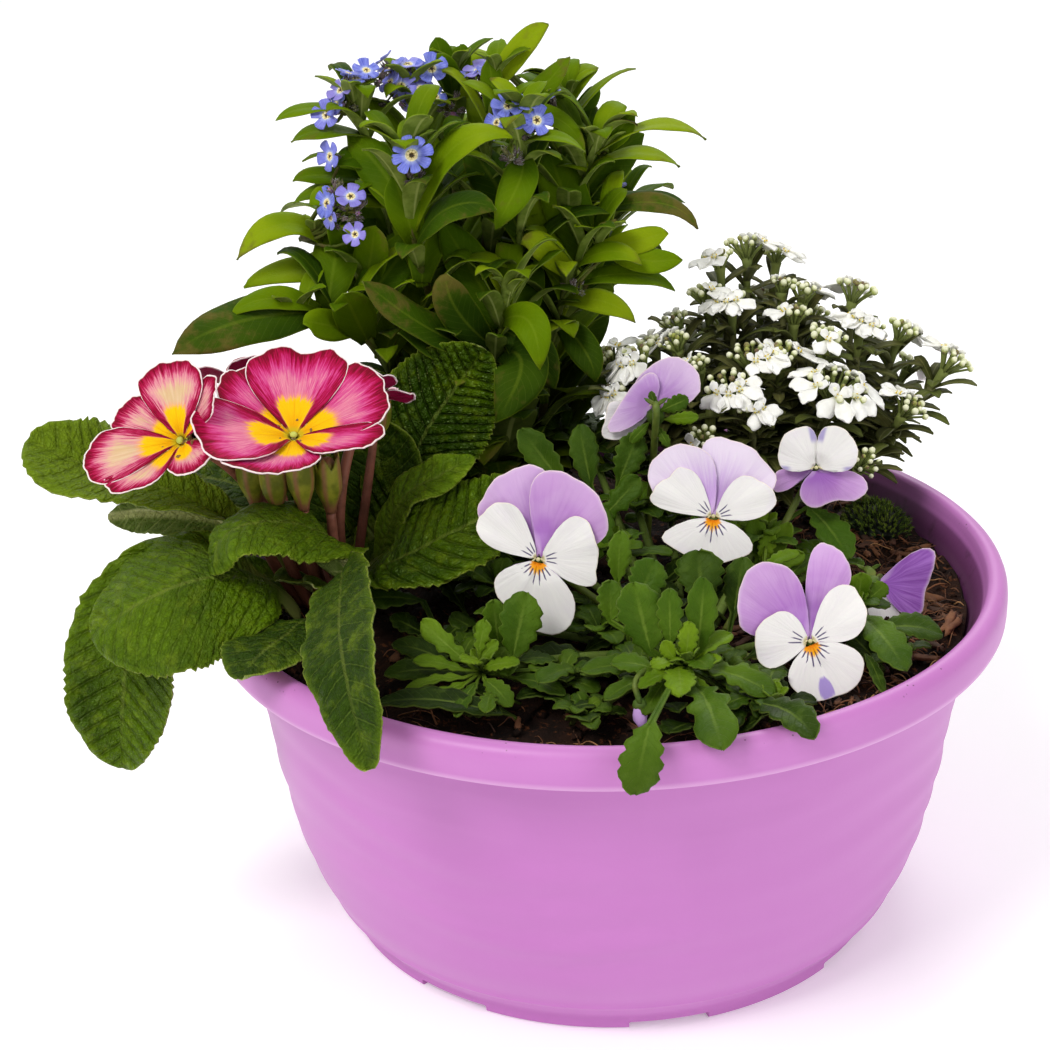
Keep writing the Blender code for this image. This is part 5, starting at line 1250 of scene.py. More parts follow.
MYOSOTIS_LEAVES = (
    (0, 0.79, (-82, 46, 232), (-94, 46, 228), 8, (0, -2, 9), 1),
    (0, 0.68, (-78, 42, 226), (-89, 40, 223), 10, (0, -2, 9), 0),
    (0, 0.58, (-69, 42, 218), (-76, 38, 216), 10, (0, -6, 8), 0),
    (0, 0.49, (-75, 38, 209), (-84, 34, 206), 12, (0, -6, 8), 1),
    (8, 0.77, (-91, 34, 207), (-106, 30, 191), 10, (0, -6, 8), 1),
    (0, 0.55, (-80, 42, 212), (-89, 38, 212), 7, (0, -6, 8), 0),
    (0, 0.52, (-78, 40, 209), (-89, 36, 206), 7, (0, -6, 8), 0),
    (1, 0.59, (-63, 56, 227), (-69, 54, 231), 8, (0, -6, 8), 1),
    (8, 0.59, (-74, 34, 195), (-78, 32, 203), 9, (0, -9, 4), 0),
    (8, 0.53, (-66, 32, 191), (-65, 30, 200), 11, (0, -9, 4), 0),
    (2, 0.73, (-46, 68, 239), (-48, 70, 246), 8, (0, -9, 4), 0),
    (2, 0.75, (-40, 72, 238), (-41, 74, 243), 7, (0, -9, 4), 0),
    (2, 0.69, (-42, 64, 241), (-50, 60, 240), 7, (0, -9, 4), 0),
    (11, 0.48, (-56, 28, 207), (-59, 28, 215), 11, (0, -9, 4), 0),
    (11, 0.48, (-45, 18, 212), (-29, 16, 208), 13, (0, -6, 8), 3),
    (11, 0.53, (-44, 24, 231), (-24, 22, 227), 11, (0, -6, 8), 1),
    (3, 0.78, (-24, 58, 244), (-14, 60, 251), 8, (0, -9, 4), 1),
    (3, 0.70, (-30, 54, 235), (-32, 56, 242), 7, (0, -9, 4), 0),
    (3, 0.64, (-16, 56, 230), (-8, 62, 241), 9, (0, -9, 4), 0),
    (5, 0.67, (-2, 74, 223), (0, 78, 229), 7, (0, -9, 4), 0),
    (6, 0.98, (6, 58, 219), (11, 60, 224), 9, (0, -9, 4), 0),
    (6, 0.82, (17, 60, 225), (32, 60, 216), 9, (0, -2, 9), 1),
    (6, 0.70, (11, 56, 216), (24, 56, 209), 10, (0, -2, 9), 1),
    (3, 0.65, (-12, 52, 232), (-4, 50, 215), 9, (0, -6, 8), 0),
    (4, 0.67, (-14, 34, 226), (-4, 32, 220), 7, (0, -2, 9), 1),
    (6, 0.58, (12, 62, 199), (26, 64, 196), 8, (0, -2, 9), 2),
    (6, 0.52, (19, 50, 205), (29, 48, 192), 11, (0, -6, 8), 3),
    (4, 0.62, (-20, 26, 214), (-30, 24, 200), 11, (0, -9, 4), 0),
    (7, 0.60, (-16, 38, 191), (-23, 34, 193), 9, (0, -9, 4), 1),
    (7, 0.66, (3, 38, 191), (12, 36, 185), 9, (0, -6, 8), 1),
    (7, 0.81, (13, 44, 188), (20, 44, 192), 12, (0, -9, 4), 1),
    (7, 0.87, (14, 40, 181), (24, 40, 185), 12, (0, -9, 4), 1),
    (7, 0.56, (9, 42, 183), (22, 42, 175), 9, (0, -6, 8), 0),
    (7, 0.50, (0, 36, 176), (10, 34, 168), 13, (0, -6, 8), 1),
    (9, 0.70, (-101, 16, 180), (-123, 8, 170), 19, (0, -6, 8), 3),
    (8, 0.60, (-90, 36, 187), (-105, 32, 182), 10, (0, -6, 8), 1),
    (9, 0.76, (-94, 22, 184), (-107, 18, 178), 9, (0, -6, 8), 1),
    (9, 0.57, (-81, 22, 172), (-86, 18, 175), 10, (0, -9, 4), 1),
    (9, 0.51, (-72, 22, 175), (-74, 20, 183), 13, (0, -9, 4), 0),
    (10, 0.54, (-55, 16, 172), (-68, 16, 188), 12, (0, -6, 8), 3),
    (10, 0.58, (-46, 16, 178), (-44, 18, 189), 12, (0, -9, 4), 3),
    (10, 0.73, (-18, 12, 181), (-18, 8, 163), 11, (0, -9, 4), 1),
    (10, 0.58, (-16, 14, 167), (-31, 8, 147), 17, (0, -9, 4), 2),
    (10, 0.49, (-47, 24, 164), (-59, 20, 171), 12, (0, -6, 8), 2),
    (7, 0.44, (-4, 34, 160), (-2, 30, 151), 12, (0, -9, 4), 2),
    (10, 0.68, (-20, 26, 165), (-14, 22, 152), 13, (0, -9, 4), 2),
    (12, 0.95, (-92, 102, 190), (-104, 108, 184), 11, (0, 3, 9), 0),
    (12, 0.70, (-86, 94, 176), (-100, 92, 170), 11, (0, 3, 9), 0),
    (12, 0.60, (-70, 98, 170), (-76, 112, 166), 11, (0, 3, 9), 2),
    (13, 0.98, (-40, 108, 214), (-48, 116, 212), 10, (0, 3, 9), 0),
    (13, 0.80, (-26, 108, 196), (-16, 118, 190), 11, (0, 3, 9), 0),
    (13, 0.62, (-46, 104, 180), (-56, 114, 176), 12, (0, 3, 9), 2),
    (14, 0.95, (16, 104, 192), (24, 112, 188), 11, (0, 3, 9), 0),
    (14, 0.72, (10, 98, 178), (20, 100, 170), 12, (0, 3, 9), 0),
    (14, 0.60, (-6, 98, 166), (-4, 112, 160), 12, (0, 3, 9), 2),
)
MYOSOTIS_SHOOTS = ((0,), (1, 11), (2, 3), (4, 10), (5, 14), (6, 7), (8, 9), (13, 12))
# open flowers: centre, way it faces, width across, petals
MYOSOTIS_FLOWERS = (
    (0, (-74.0, 44, 235.5), (-4, -5, 6), 10.0, 5), (0, (-69.6, 45, 238.5), (0, -1, 9), 10.5, 5), (0, (-78.5, 43, 228.6), (-2, -7, 5), 10.5, 5),
    (0, (-71.5, 44, 240.2), (3, 2, 9), 9.0, 5), (0, (-75.5, 43, 231.6), (-5, -4, 4), 9.0, 5), (0, (-66.5, 46, 240.6), (2, -4, 8), 9.5, 5),
    (1, (-60.2, 57, 239.0), (-3, -1, 8), 10.5, 5), (1, (-55.5, 58, 239.6), (0, -2, 9), 11.0, 5), (1, (-57.6, 55, 233.8), (-1, -7, 6), 11.5, 5),
    (1, (-48.6, 58, 238.2), (2, -7, 6), 11.0, 5), (1, (-52.0, 56, 232.8), (2, -6, 7), 9.5, 5), (1, (-47.6, 56, 230.4), (5, -5, 6), 9.0, 5),
    (1, (-63.0, 58, 241.0), (-5, 2, 8), 8.5, 5), (1, (-60.6, 55, 235.2), (-5, -5, 6), 9.5, 5), (1, (-54.6, 57, 228.6), (0, -7, 5), 9.0, 5),
    (2, (-25.6, 38, 231.0), (-1, -5, 8), 11.0, 5), (2, (-29.0, 37, 226.6), (-5, -5, 4), 10.0, 5), (2, (-17.6, 37, 227.0), (2, -8, 4), 11.0, 5), (2, (-22.6, 37, 227.6), (0, -6, 6), 9.5, 5),
    (2, (-21.0, 38, 231.6), (2, -2, 9), 9.0, 5),
    (11, (-52.6, 22, 221.4), (0, -8, 4), 12.2, 8),
    (8, (-71.1, 27, 208.6), (1, -6, 7), 10.4, 5), (8, (-77.6, 38, 217.7), (-6, -5, 2), 10.5, 5), (8, (-78.6, 32, 205.5), (-6, -6, 3), 11.0, 5),
    (8, (-77.6, 30, 201.8), (-6, -5, 0), 8.6, 5), (8, (-70.5, 27, 197.5), (-3, -7, 3), 8.6, 5),
    (3, (-35.0, 62, 236.5), (-1, -2, 9), 11.0, 5), (3, (-31.6, 62, 236.0), (3, -3, 8), 9.0, 5), (3, (-38.0, 63, 235.6), (-4, -2, 8), 9.0, 5),
    (3, (-14.0, 58, 229.6), (-3, -1, 8), 8.0, 5), (6, (-4.0, 68, 213.0), (0, -6, 6), 6.5, 5),
    (13, (-40.0, 92, 210.0), (0, 6, 8), 10.0, 5), (13, (-34.0, 94, 212.0), (3, 5, 8), 10.0, 5), (13, (-37.0, 97, 207.0), (0, 8, 4), 10.0, 5),
    (12, (-78.0, 92, 190.0), (-4, 5, 8), 10.0, 5), (12, (-73.0, 94, 192.0), (0, 5, 8), 9.5, 5), (14, (4.0, 96, 192.0), (2, 6, 8), 10.0, 5),
    (14, (0.0, 92, 193.0), (-2, 3, 9), 9.5, 5),
)
# knots of buds and spent calyxes: centre, spread, how many, stem it hangs from
MYOSOTIS_KNOTS = (
    ((-74.0, 48, 231.0), 4.6, 11, 0), ((-65.0, 52, 236.5), 3.6, 6, 0), ((-59.0, 55, 231.0), 4.0, 7, 1), ((-51.0, 60, 229.0), 5.0, 12, 1),
    ((-43.8, 58, 226.5), 4.4, 9, 1), ((-54.0, 60, 236.0), 4.0, 6, 1), ((-34.8, 65, 229.5), 3.6, 7, 3), ((-22.0, 40, 223.5), 4.2, 8, 4),
    ((-25.2, 36, 216.5), 3.2, 8, 4), ((-24.9, 35, 211.0), 2.2, 3, 4), ((-17.6, 60, 226.0), 4.2, 8, 3), ((-52.6, 26, 214.0), 3.0, 6, 11),
    ((-71.0, 30, 203.5), 3.4, 7, 8), ((-76.0, 34, 209.0), 3.4, 6, 8), ((-74.5, 33, 200.0), 3.2, 6, 8), ((-5.0, 70, 211.0), 3.2, 5, 6),
    ((-37.0, 94, 206.0), 4.0, 9, 13), ((-76.0, 94, 187.0), 4.0, 7, 12), ((2.0, 95, 189.0), 4.0, 7, 14), ((-8.0, 40, 176.0), 3.0, 5, 7),
)


def myosotis_half(t):
    rise = 0.40 + 0.60 * np.sin(np.pi / 2 * np.clip(t / 0.46, 0, 1)) ** 1.3
    fall = (1 - np.clip((t - 0.52) / 0.48, 0, 1) ** 2.2) ** 0.85
    return rise * fall


def soft_leaf(shape, line, wide, face, end_face, tone, seed, half=myosotis_half, m=11, cup=0.22, droop=0.0, thick=0.6, wav=0.35, veins=0.35):
    n = len(line)
    t, s, u = frame_along(line, face, end_face)
    ts = np.linspace(0, 1, n)
    long = length_of(line)
    w = wide * 0.5 * half(ts)
    x = np.linspace(-1, 1, m)
    x = np.sign(x) * np.abs(x) ** 0.9
    X_, T_ = np.meshgrid(x, ts)
    W = w[:, None]
    lat = X_ * W
    keel = np.sqrt(X_ ** 2 + 0.02)
    up_ = cup * keel * W * (1.1 - 0.7 * T_) - droop * X_ ** 2 * W * T_
    up_ = up_ + wav * np.sin(T_ * long * 0.28 + seed + 1.4 * np.sign(X_)) * np.abs(X_) ** 2 * np.clip(T_ * 3, 0, 1)
    side_vein = np.sin((T_ * long - 1.5 * np.abs(lat)) * 1.05 + seed)
    up_ = up_ + veins * 0.35 * side_vein * np.abs(X_) * (1 - np.abs(X_)) * 2.2
    up_ = up_ - 0.32 * np.exp(-(lat / 0.9) ** 2)
    grid = line[:, None, :] + s[:, None, :] * lat[:, :, None] + u[:, None, :] * up_[:, :, None]
    th = thick * (0.55 + 0.45 * (1 - np.abs(X_))) + 0.5 * np.exp(-(lat / 0.8) ** 2) * (1 - T_)
    lf = np.stack([X_, T_, (1 - np.abs(X_)) * W], axis=-1)
    tn = np.broadcast_to(arr((tone, (seed * 0.3183) % 1.0, long)), lf.shape)
    sheet(shape, grid, th, lf=lf, tn=tn)


def myosotis_leaf_material():
    g = Graph("myosotis_leaf_green")
    x, t, edge = g.attr("lf")
    tone, rnd, long = g.attr("tn")
    side = g.attr("side")[0]
    p = g.place()
    big = g.noise(p, 45.0, 2.0, 0.5)
    mid = g.noise(p, 260.0, 3.0, 0.6)
    fine = g.noise(p, 1500.0, 2.0, 0.6)
    green = g.mix(g.ease(big + (rnd - 0.5) * 0.4, 0.3, 0.7), srgb(56, 84, 0), srgb(86, 112, 0))
    light = g.mix(g.ease(big + (rnd - 0.5) * 0.4, 0.3, 0.7), srgb(92, 120, 0), srgb(128, 148, 10))
    deep = g.mix(g.ease(big, 0.3, 0.7), srgb(34, 58, 2), srgb(56, 82, 4))
    col = g.mix(g.ease(tone, 0.0, 1.0), green, light)
    col = g.mix(g.ease(tone, 1.2, 2.0), col, deep)
    # painted shade: low in the plant and at the foot of each blade the leaves are painted darker
    z = g.new("ShaderNodeSeparateXYZ")
    g.put(z.inputs[0], p)
    height = X(g, z.outputs[2])
    col = g.scale(col, g.ease(height, 0.110, 0.205, 0.50, 1.0) * g.ease(t, 0.0, 0.40, 0.62, 1.0))
    # brownish purple blush on some, and along the tips of others
    blush = g.ease(mid * 0.6 + big * 0.5 + t * 0.30 + x.abs() * 0.10 + g.ease(tone, 2.0, 3.0) * 0.14 + (rnd - 0.5) * 0.16, 0.90, 1.12)
    col = g.mix(blush * 0.70, col, srgb(100, 84, 40))
    vein = g.ease(((t * long - x.abs() * 8.0) * 1.05).sin().abs(), 0.16, 0.0)
    col = g.mix(vein * 0.10 * g.ease(edge, 0.2, 1.5), col, srgb(140, 156, 66))
    col = g.mix(g.ease(x.abs(), 0.12, 0.02) * g.ease(t, 1.0, 0.7) * 0.16, col, srgb(132, 150, 40))
    col = g.mix(g.ease(edge, 0.45, 0.1) * 0.18 * (1.0 - blush), col, srgb(140, 160, 34))
    back = g.mix(g.ease(mid, 0.3, 0.7), srgb(92, 112, 36), srgb(124, 140, 62))
    # painted shade on the underside too, darker low in the plant
    back = g.scale(back, g.ease(height, 0.110, 0.205, 0.45, 1.0))
    back = g.mix(g.ease(x.abs(), 0.14, 0.05) * 0.6, back, srgb(166, 176, 100))
    col = g.mix(g.ease(side, 0.6, 0.4), col, back)
    g.set("Base Color", col)
    g.set("Roughness", g.ease(mid, 0.3, 0.7, 0.60, 0.74))
    g.set("Specular IOR Level", 0.14)
    g.set("Specular Tint", (0.70, 0.90, 0.30))
    g.set("Subsurface Weight", 0.10)
    g.bsdf.inputs["Subsurface Radius"].default_value = (0.0012, 0.0016, 0.0004)
    g.bump(fine * 0.7 + mid * 0.5, 0.35, 0.0005)
    return g.mat


def myosotis_petal_material():
    g = Graph("forget_me_not_blue")
    th, r, rnd = g.attr("lf")
    p = g.place()
    n = g.noise(p, 700.0, 3.0, 0.6)
    side = g.attr("side")[0]
    ray = g.noise(g.vec(th * 9.0 + rnd * 30.0, r * 1.5, rnd * 5.0), 1.0, 2.0, 0.6)
    blue = g.mix(g.ease(ray, 0.3, 0.7), srgb(80, 92, 196), srgb(128, 138, 224))
    blue = g.mix(g.ease(rnd, 0.45, 1.0) * 0.75, blue, srgb(150, 132, 214))
    blue = g.mix(g.ease(r, 0.55, 0.30) * 0.55, blue, srgb(190, 204, 244))
    col = g.mix(g.ease(side, 0.6, 0.4), blue, srgb(150, 150, 214))
    eye = g.mix(g.ease(r, 0.17, 0.22), srgb(228, 190, 40), srgb(246, 240, 200))
    col = g.mix(g.ease(r, 0.33, 0.27), col, eye)
    # painted shade: the feet of the petals and the disc in the mouth are painted dark brown for the shaded tube
    col = g.mix(g.ease(r, 0.115, 0.085), col, srgb(58, 40, 18))
    g.set("Base Color", col)
    g.set("Roughness", 0.55)
    g.set("Sheen Weight", 0.15)
    g.set("Subsurface Weight", 0.10)
    g.bsdf.inputs["Subsurface Radius"].default_value = (0.0006, 0.0006, 0.0012)
    g.bump(ray + n * 0.4, 0.25, 0.0003)
    return g.mat


def calyx_material():
    g = Graph("forget_me_not_calyx")
    t = g.attr("lf")[1]
    hue = g.attr("tn")[0]
    p = g.place()
    n = g.noise(p, 500.0, 3.0, 0.65)
    body = g.mix(g.ease(n, 0.35, 0.65), srgb(62, 50, 48), srgb(104, 88, 84))
    body = g.mix(g.ease(hue, 0.3, 0.6), body, srgb(104, 106, 46))
    body = g.mix(g.ease(hue, 0.75, 0.95), body, g.mix(g.ease(n, 0.3, 0.7), srgb(214, 130, 172), srgb(150, 120, 200)))
    g.set("Base Color", body)
    g.set("Roughness", 0.75)
    g.set("Sheen Weight", 0.6)
    g.set("Sheen Roughness", 0.35)
    g.bump(n, 0.5, 0.0005)
    return g.mat


def small_flower(shape, c, face, across, petals, seed, rows=5, cols=7):
    n = unit(arr(face))
    x = unit(np.cross(n, (0.13, 0.07, 1.0)))
    y = np.cross(n, x)
    r_ = across / 2
    rnd = (math.sin(seed * 12.9898) * 43758.5453) % 1.0
    for k in range(petals):
        a0 = 2 * math.pi * (k + 0.37 * rnd) / petals + seed
        half = math.pi / petals * (1.04 if petals == 5 else 1.04)
        th = np.linspace(-1, 1, cols)
        rr = np.linspace(0.0, 1, rows)
        TH, RR = np.meshgrid(th, rr)
        R = r_ * (1.0 - 0.04 * np.sin(seed + k)) * (0.48 + 0.52 * np.cos(np.abs(TH) ** 2.4 * np.pi / 2) ** 0.5)
        if petals > 5:
            R = R * (0.92 + 0.08 * ((k * 7) % 3) / 2)
        spread = 0.55 + 0.45 * np.clip(RR * 2.0, 0, 1)
        a = a0 + TH * half * spread
        r = r_ * 0.10 + (R - r_ * 0.10) * RR
        z = 0.28 * r_ * (r / r_) ** 2 * (0.7 + 0.5 * math.sin(seed * 3 + k)) - 0.05 * r_ * np.cos(TH * 1.5) * RR + 0.10 * (k % 2)
        grid = arr(c) + (x[None, None] * np.cos(a)[..., None] + y[None, None] * np.sin(a)[..., None]) * r[..., None] + n[None, None] * z[..., None]
        lf = np.stack([TH, r / r_, np.full_like(TH, rnd)], axis=-1)
        sheet(shape, grid[:, ::-1], 0.24, lf=lf[:, ::-1])
    # throat ring: five little scales round the mouth; the small disc in it is painted dark brown as the shade inside
    # the tube
    for k in range(petals):
        a = 2 * math.pi * (k + 0.37 * rnd) / petals + seed
        d = x * math.cos(a) + y * math.sin(a)
        ball(shape, arr(c) + d * r_ * 0.19 + n * 0.25, n, (r_ * 0.085, r_ * 0.06), 3, 6, lf=(0, 0.20, rnd))
    ball(shape, arr(c) + n * 0.05, n, (r_ * 0.13, 0.25), 3, 8, lf=(0, 0.02, rnd))


def small_calyx(shape, at, axis, size, hue, rng, hairs=4):
    axis = unit(arr(axis))
    x = unit(np.cross(axis, (0.31, 0.52, 0.8)))
    y = np.cross(axis, x)
    ball(shape, at, axis, (0.82 * size, 1.25 * size), 3, 6, 0.0, 0.06, tn=(hue, rng.random(), 0))
    for k in range(5):
        a = 2 * math.pi * k / 5 + hue
        d = x * math.cos(a) + y * math.sin(a)
        p0 = arr(at) + axis * size * 0.5 + d * size * 0.66
        p1 = arr(at) + axis * size * 1.15 + d * size * 0.80
        p2 = arr(at) + axis * size * 1.95 + d * size * (0.35 + 0.5 * rng.random())
        tube(shape, np.array([p0, p1, p2]), np.array([0.34, 0.26, 0.05]) * size, 3, tn=(min(hue, 0.7), 0.5, 0))
    for k in range(hairs):
        a, h = rng.random() * 6.28, rng.random() * 1.4 - 0.7
        d = x * math.cos(a) + y * math.sin(a)
        p0 = arr(at) + axis * size * h + d * size * 0.70
        tube(shape, np.array([p0, p0 + d * 0.75 + axis * 0.35]), np.array([0.05, 0.02]), 3, tn=(0.0, 0.9, 0))


def make_forget_me_not():
    rng = random.Random(31)
    leaf_mat = myosotis_leaf_material()
    stem_mat = stalk_material("forget_me_not_stem_green", srgb(70, 76, 22), srgb(88, 110, 24), srgb(92, 74, 40), 0.65)
    petal = myosotis_petal_material()
    calyx = calyx_material()
    lines = []
    for a, m_, b in MYOSOTIS_STEMS:
        a, m_, b = arr(a), arr(m_), arr(b)
        lines.append((a, 2 * m_ - (a + b) / 2, b))

    def at(k, t):
        return arc(lines[k][0], lines[k][1], lines[k][2], [t])[0]

    flower_at = {}
    for q, stems in enumerate(MYOSOTIS_SHOOTS):
        leaves, stem = Shape(), Shape()
        for i, k in enumerate(stems):
            ts = np.linspace(0.28 if i else 0.0, 1.0, 30)
            line = arc(lines[k][0], lines[k][1], lines[k][2], ts)
            if i:
                root = at(stems[0], 0.22)
                w = np.clip((ts - 0.28) / 0.22, 0, 1)[:, None]
                w = w * w * (3 - 2 * w)
                line = line * w + (root + (at(k, 0.55) - root) * ((ts - 0.28) / 0.27)[:, None].clip(0, 1)) * (1 - w)
            tube(stem, line, 1.45 - 0.75 * ts, 8)
        for j, (k, t, ctrl, tip, wide, face, tone) in enumerate(MYOSOTIS_LEAVES):
            if k not in stems:
                continue
            base = at(k, t)
            line = arc(base, ctrl, tip, np.linspace(0, 1, 17))
            tipd = unit(line[-1] - line[-3])
            line[-5:] += np.linspace(0, 1, 5)[:, None] ** 2 * arr((0, 0, -1.1))
            soft_leaf(leaves, line, wide * (0.94 if tip[0] < -10 else 0.80 if wide < 11 or tip[0] < 4 else 0.64), arr(face), arr(face) + arr((0, 0, 1.0)), tone, 1.3 * j + 0.7, m=9, cup=0.30 - 0.18 * (wide > 12),
                      droop=0.25, wav=0.45)
        # smaller leaves fill the inside of the clump
        for i, k in enumerate(stems):
            for c in range(20):
                t = 0.16 + 0.038 * c + rng.random() * 0.03
                if k in (8, 9) and t > 0.66:
                    continue
                base = at(k, t)
                a = 2.4 * c + 1.7 * k + rng.random() * 0.5
                d = arr((math.cos(a), math.sin(a), 0))
                long = (37 - 22 * (t - 0.3)) * (0.78 + 0.4 * rng.random())
                if d[1] < -0.3:
                    long *= 0.85
                lift = 0.95 + 1.0 * (t - 0.3) + 0.5 * rng.random()
                ctrl = base + d * long * 0.34 + arr((0, 0, long * 0.46 * lift))
                tip = base + d * long * (0.92 - 0.18 * lift) + arr((0, 0, long * 0.40 * lift * (0.6 + 0.6 * rng.random())))
                if tip[2] > 238 or abs(tip[1]) > 116:
                    continue
                line = arc(base, ctrl, tip, np.linspace(0, 1, 11))
                wide = 6.2 + 3.0 * rng.random() - 2.0 * (t - 0.3)
                turn = arr((rng.random() - 0.5, rng.random() - 0.5, 0)) * 0.7
                soft_leaf(leaves, line, wide, arr((0, 0, 1)) - d * 0.5 + turn, arr((0, 0, 1)) + d * 0.35 + turn * 0.5,
                          rng.choice((0, 0, 1, 2, 0.5, 2)) if t < 0.5 else rng.choice((0, 0.4, 1, 1, 0.7, 2.6)), rng.random() * 20, m=5, cup=0.32, droop=0.25)
            # broader leaves close the back of the clump
            for c in range(4):
                base = at(k, 0.24 + 0.15 * c + 0.05 * rng.random())
                a = math.radians(25 + 130 * rng.random())
                d = arr((math.cos(a), 0.75 * math.sin(a), 0))
                tip = base + d * (22 + 8 * rng.random()) + arr((0, 0, 20 + 12 * rng.random()))
                if tip[1] < 114 and tip[2] < 225 and tip[0] > -84:
                    line = arc(base, base + d * 9 + arr((0, 0, 15)), tip, np.linspace(0, 1, 11))
                    soft_leaf(leaves, line, 12.5 + 2.5 * rng.random(), arr((0.2 * math.cos(a), -1, 0.5)), arr((0, -1, 0.6)), rng.choice((0, 2, 0.3)),
                              rng.random() * 20, m=5, cup=0.25, droop=0.25)
            # a tuft of young leaves at the growing tip
            for c in range(4):
                base = at(k, 0.93 - 0.03 * c)
                a = 1.57 * c + k
                d = arr((math.cos(a), math.sin(a), 0))
                long = 9 + 2.5 * c
                line = arc(base, base + d * long * 0.30 + arr((0, 0, long * 0.5)), base + d * long * 0.75 + arr((0, 0, long * 0.62)), np.linspace(0, 1, 9))
                if line[-1][2] < 249.5:
                    soft_leaf(leaves, line, 3.6 + 0.8 * c, arr((0, 0, 1)) - d * 0.5, arr((0, 0, 1)), rng.choice((0.4, 1)), rng.random() * 20, m=7, cup=0.4)
        name = "forget_me_not_shoot_%d" % (q + 1)
        piece(leaves, name + "_leaves", leaf_mat, (name,))
        piece(stem, name + "_stems", stem_mat)
    # broad dark leaves from the crown stand round the foot of the stems
    low = Shape()
    for i in range(58):
        a = 2.39996 * i
        d = arr((math.cos(a), math.sin(a), 0))
        ring = 5 + 13 * ((i * 0.618) % 1.0)
        base = arr((-36, 57, 98)) + d * ring + arr((0, 0, 0.7 * i % 9))
        long = 42 + 20 * rng.random()
        lift = 0.45 + 0.95 * rng.random()
        if d[1] < -0.2:
            long *= 0.86
        tip = base + d * long * (0.86 - 0.28 * lift) + arr((0, 0, long * 0.62 * lift))
        out_ = math.hypot(tip[0], tip[1])
        if out_ > 116:
            tip[:2] *= 116 / out_
            tip[2] += 6
        ctrl = base + d * long * 0.30 + arr((0, 0, long * (0.45 + 0.35 * lift)))
        soft_leaf(low, arc(base, ctrl, tip, np.linspace(0, 1, 12)), 11 + 5 * rng.random(), arr((0, 0, 1)) - d * 0.2, arr((0, 0, 1)) + d * 0.6,
                  rng.choice((2, 2, 1.5, 0, 2.3)), rng.random() * 20, m=5, cup=0.22, droop=0.25)
    piece(low, "forget_me_not_crown_leaves", leaf_mat)
    # the open flowers, by clump, each on its short stalk from the coiled stem
    groups = {0: Shape(), 1: Shape(), 2: Shape(), 3: Shape()}
    buds, stalks = Shape(), Shape()
    for j, (k, c, face, across, petals) in enumerate(MYOSOTIS_FLOWERS):
        which = k if k in (0, 1, 2) else 3
        small_flower(groups[which], c, face, across * (1.0 if petals == 8 else 0.87), petals, 0.9 * j + 0.4, 6 if petals == 8 else 5, 9 if petals == 8 else 7)
        n = unit(arr(face))
        back = arr(c) - n * 1.7
        small_calyx(buds, back - n * 0.8, n, 1.15, 0.1 + 0.25 * (j % 2), rng)
        stem_of = {2: 4}.get(k, k)
        root = at(stem_of, 0.985)
        hub = root * 0.45 + back * 0.55 + arr((0, 0, -3.0))
        line = catmull([root, hub, back - n * 2.6, back - n * 1.4], np.linspace(0, 1, 9))
        tube(stalks, line, np.linspace(0.62, 0.36, 9), 6)
    for c, spread, count, k in MYOSOTIS_KNOTS:
        root = at(k, 0.985) if np.linalg.norm(at(k, 0.985) - arr(c)) < 26 else arr(c) + arr((0, 0, -9))
        coil = catmull([root, (root + arr(c)) / 2 + arr((0, 0, 1.5)), arr(c)], np.linspace(0, 1, 8))
        tube(stalks, coil, np.linspace(0.8, 0.5, 8), 6)
        for i in range(count):
            a = 2.4 * i + c[0]
            h = 1 - 2 * (i + 0.5) / count
            d = arr((math.cos(a) * math.sqrt(1 - h * h), math.sin(a) * math.sqrt(1 - h * h), h * 0.8))
            pos = arr(c) + d * spread * (0.55 + 0.45 * rng.random())
            axis = d + arr((0, -0.2, 0.55))
            hue = rng.choice((0.0, 0.05, 0.1, 0.2, 0.5, 0.9)) if spread > 3.3 else rng.choice((0.0, 0.1, 0.5))
            small_calyx(buds, pos, axis, 0.85 + 0.4 * rng.random(), hue, rng)
            near = coil[min(7, 3 + i % 5)]
            tube(stalks, np.array([near, (near + pos) / 2 + arr((0, 0, 0.4)), pos]), (0.4, 0.34, 0.3), 5)
    piece(groups[0], "forget_me_not_blooms_1", petal, ("forget_me_not_flowers_1",))
    piece(groups[1], "forget_me_not_blooms_2", petal, ("forget_me_not_flowers_2",))
    piece(groups[2], "forget_me_not_blooms_3", petal, ("forget_me_not_flowers_3",))
    piece(groups[3], "forget_me_not_blooms_4", petal)
    piece(buds, "forget_me_not_buds", calyx)
    piece(stalks, "forget_me_not_flower_stalks", stem_mat)


make_forget_me_not()

# ------------------------------------------------------------------ candytuft
# flower heads by shoot: x, y, z, radius, open flowers, where they sit round the head in degrees
CANDYTUFT_HEADS = (
    ((45, 75, 180, 9, 4, 20), (36, 70, 177, 7, 2, 230), (31, 64, 168, 8, 1, 300), (39, 58, 167, 7, 4, 230), (55, 82, 174, 6, 3, 340)),
    ((21, 46, 158, 7, 3, 120), (9, 40, 156, 9, 4, 200), (3, 34, 147, 6, 3, 220), (1, 47, 154, 6, 1, 340), (22, 57, 161, 6, 1, 90)),
    ((44, 36, 157, 9, 4, 330), (36, 24, 152, 8.5, 4, 280), (43, 18, 147, 6, 2, 300), (28, 12, 139, 6, 1, 200), (54, 40, 156, 8, 2, 10)),
    ((63, 70, 166, 8, 2, 30), (59, 56, 163, 7, 1, 200), (68, 46, 159, 8, 1, 260), (70, 26, 151, 12.5, 7, 0)),
    ((80, 74, 165, 9, 3, 100), (81, 58, 159, 8, 4, 220), (94, 62, 155, 8, 2, 30), (108, 50, 149, 9, 3, 120), (93, 34, 140, 8, 3, 130),
     (76, 8, 132, 7, 0, 0)),
)
CANDYTUFT_FEET = ((46, 58), (41, 50), (50, 41), (57, 57), (64, 47))
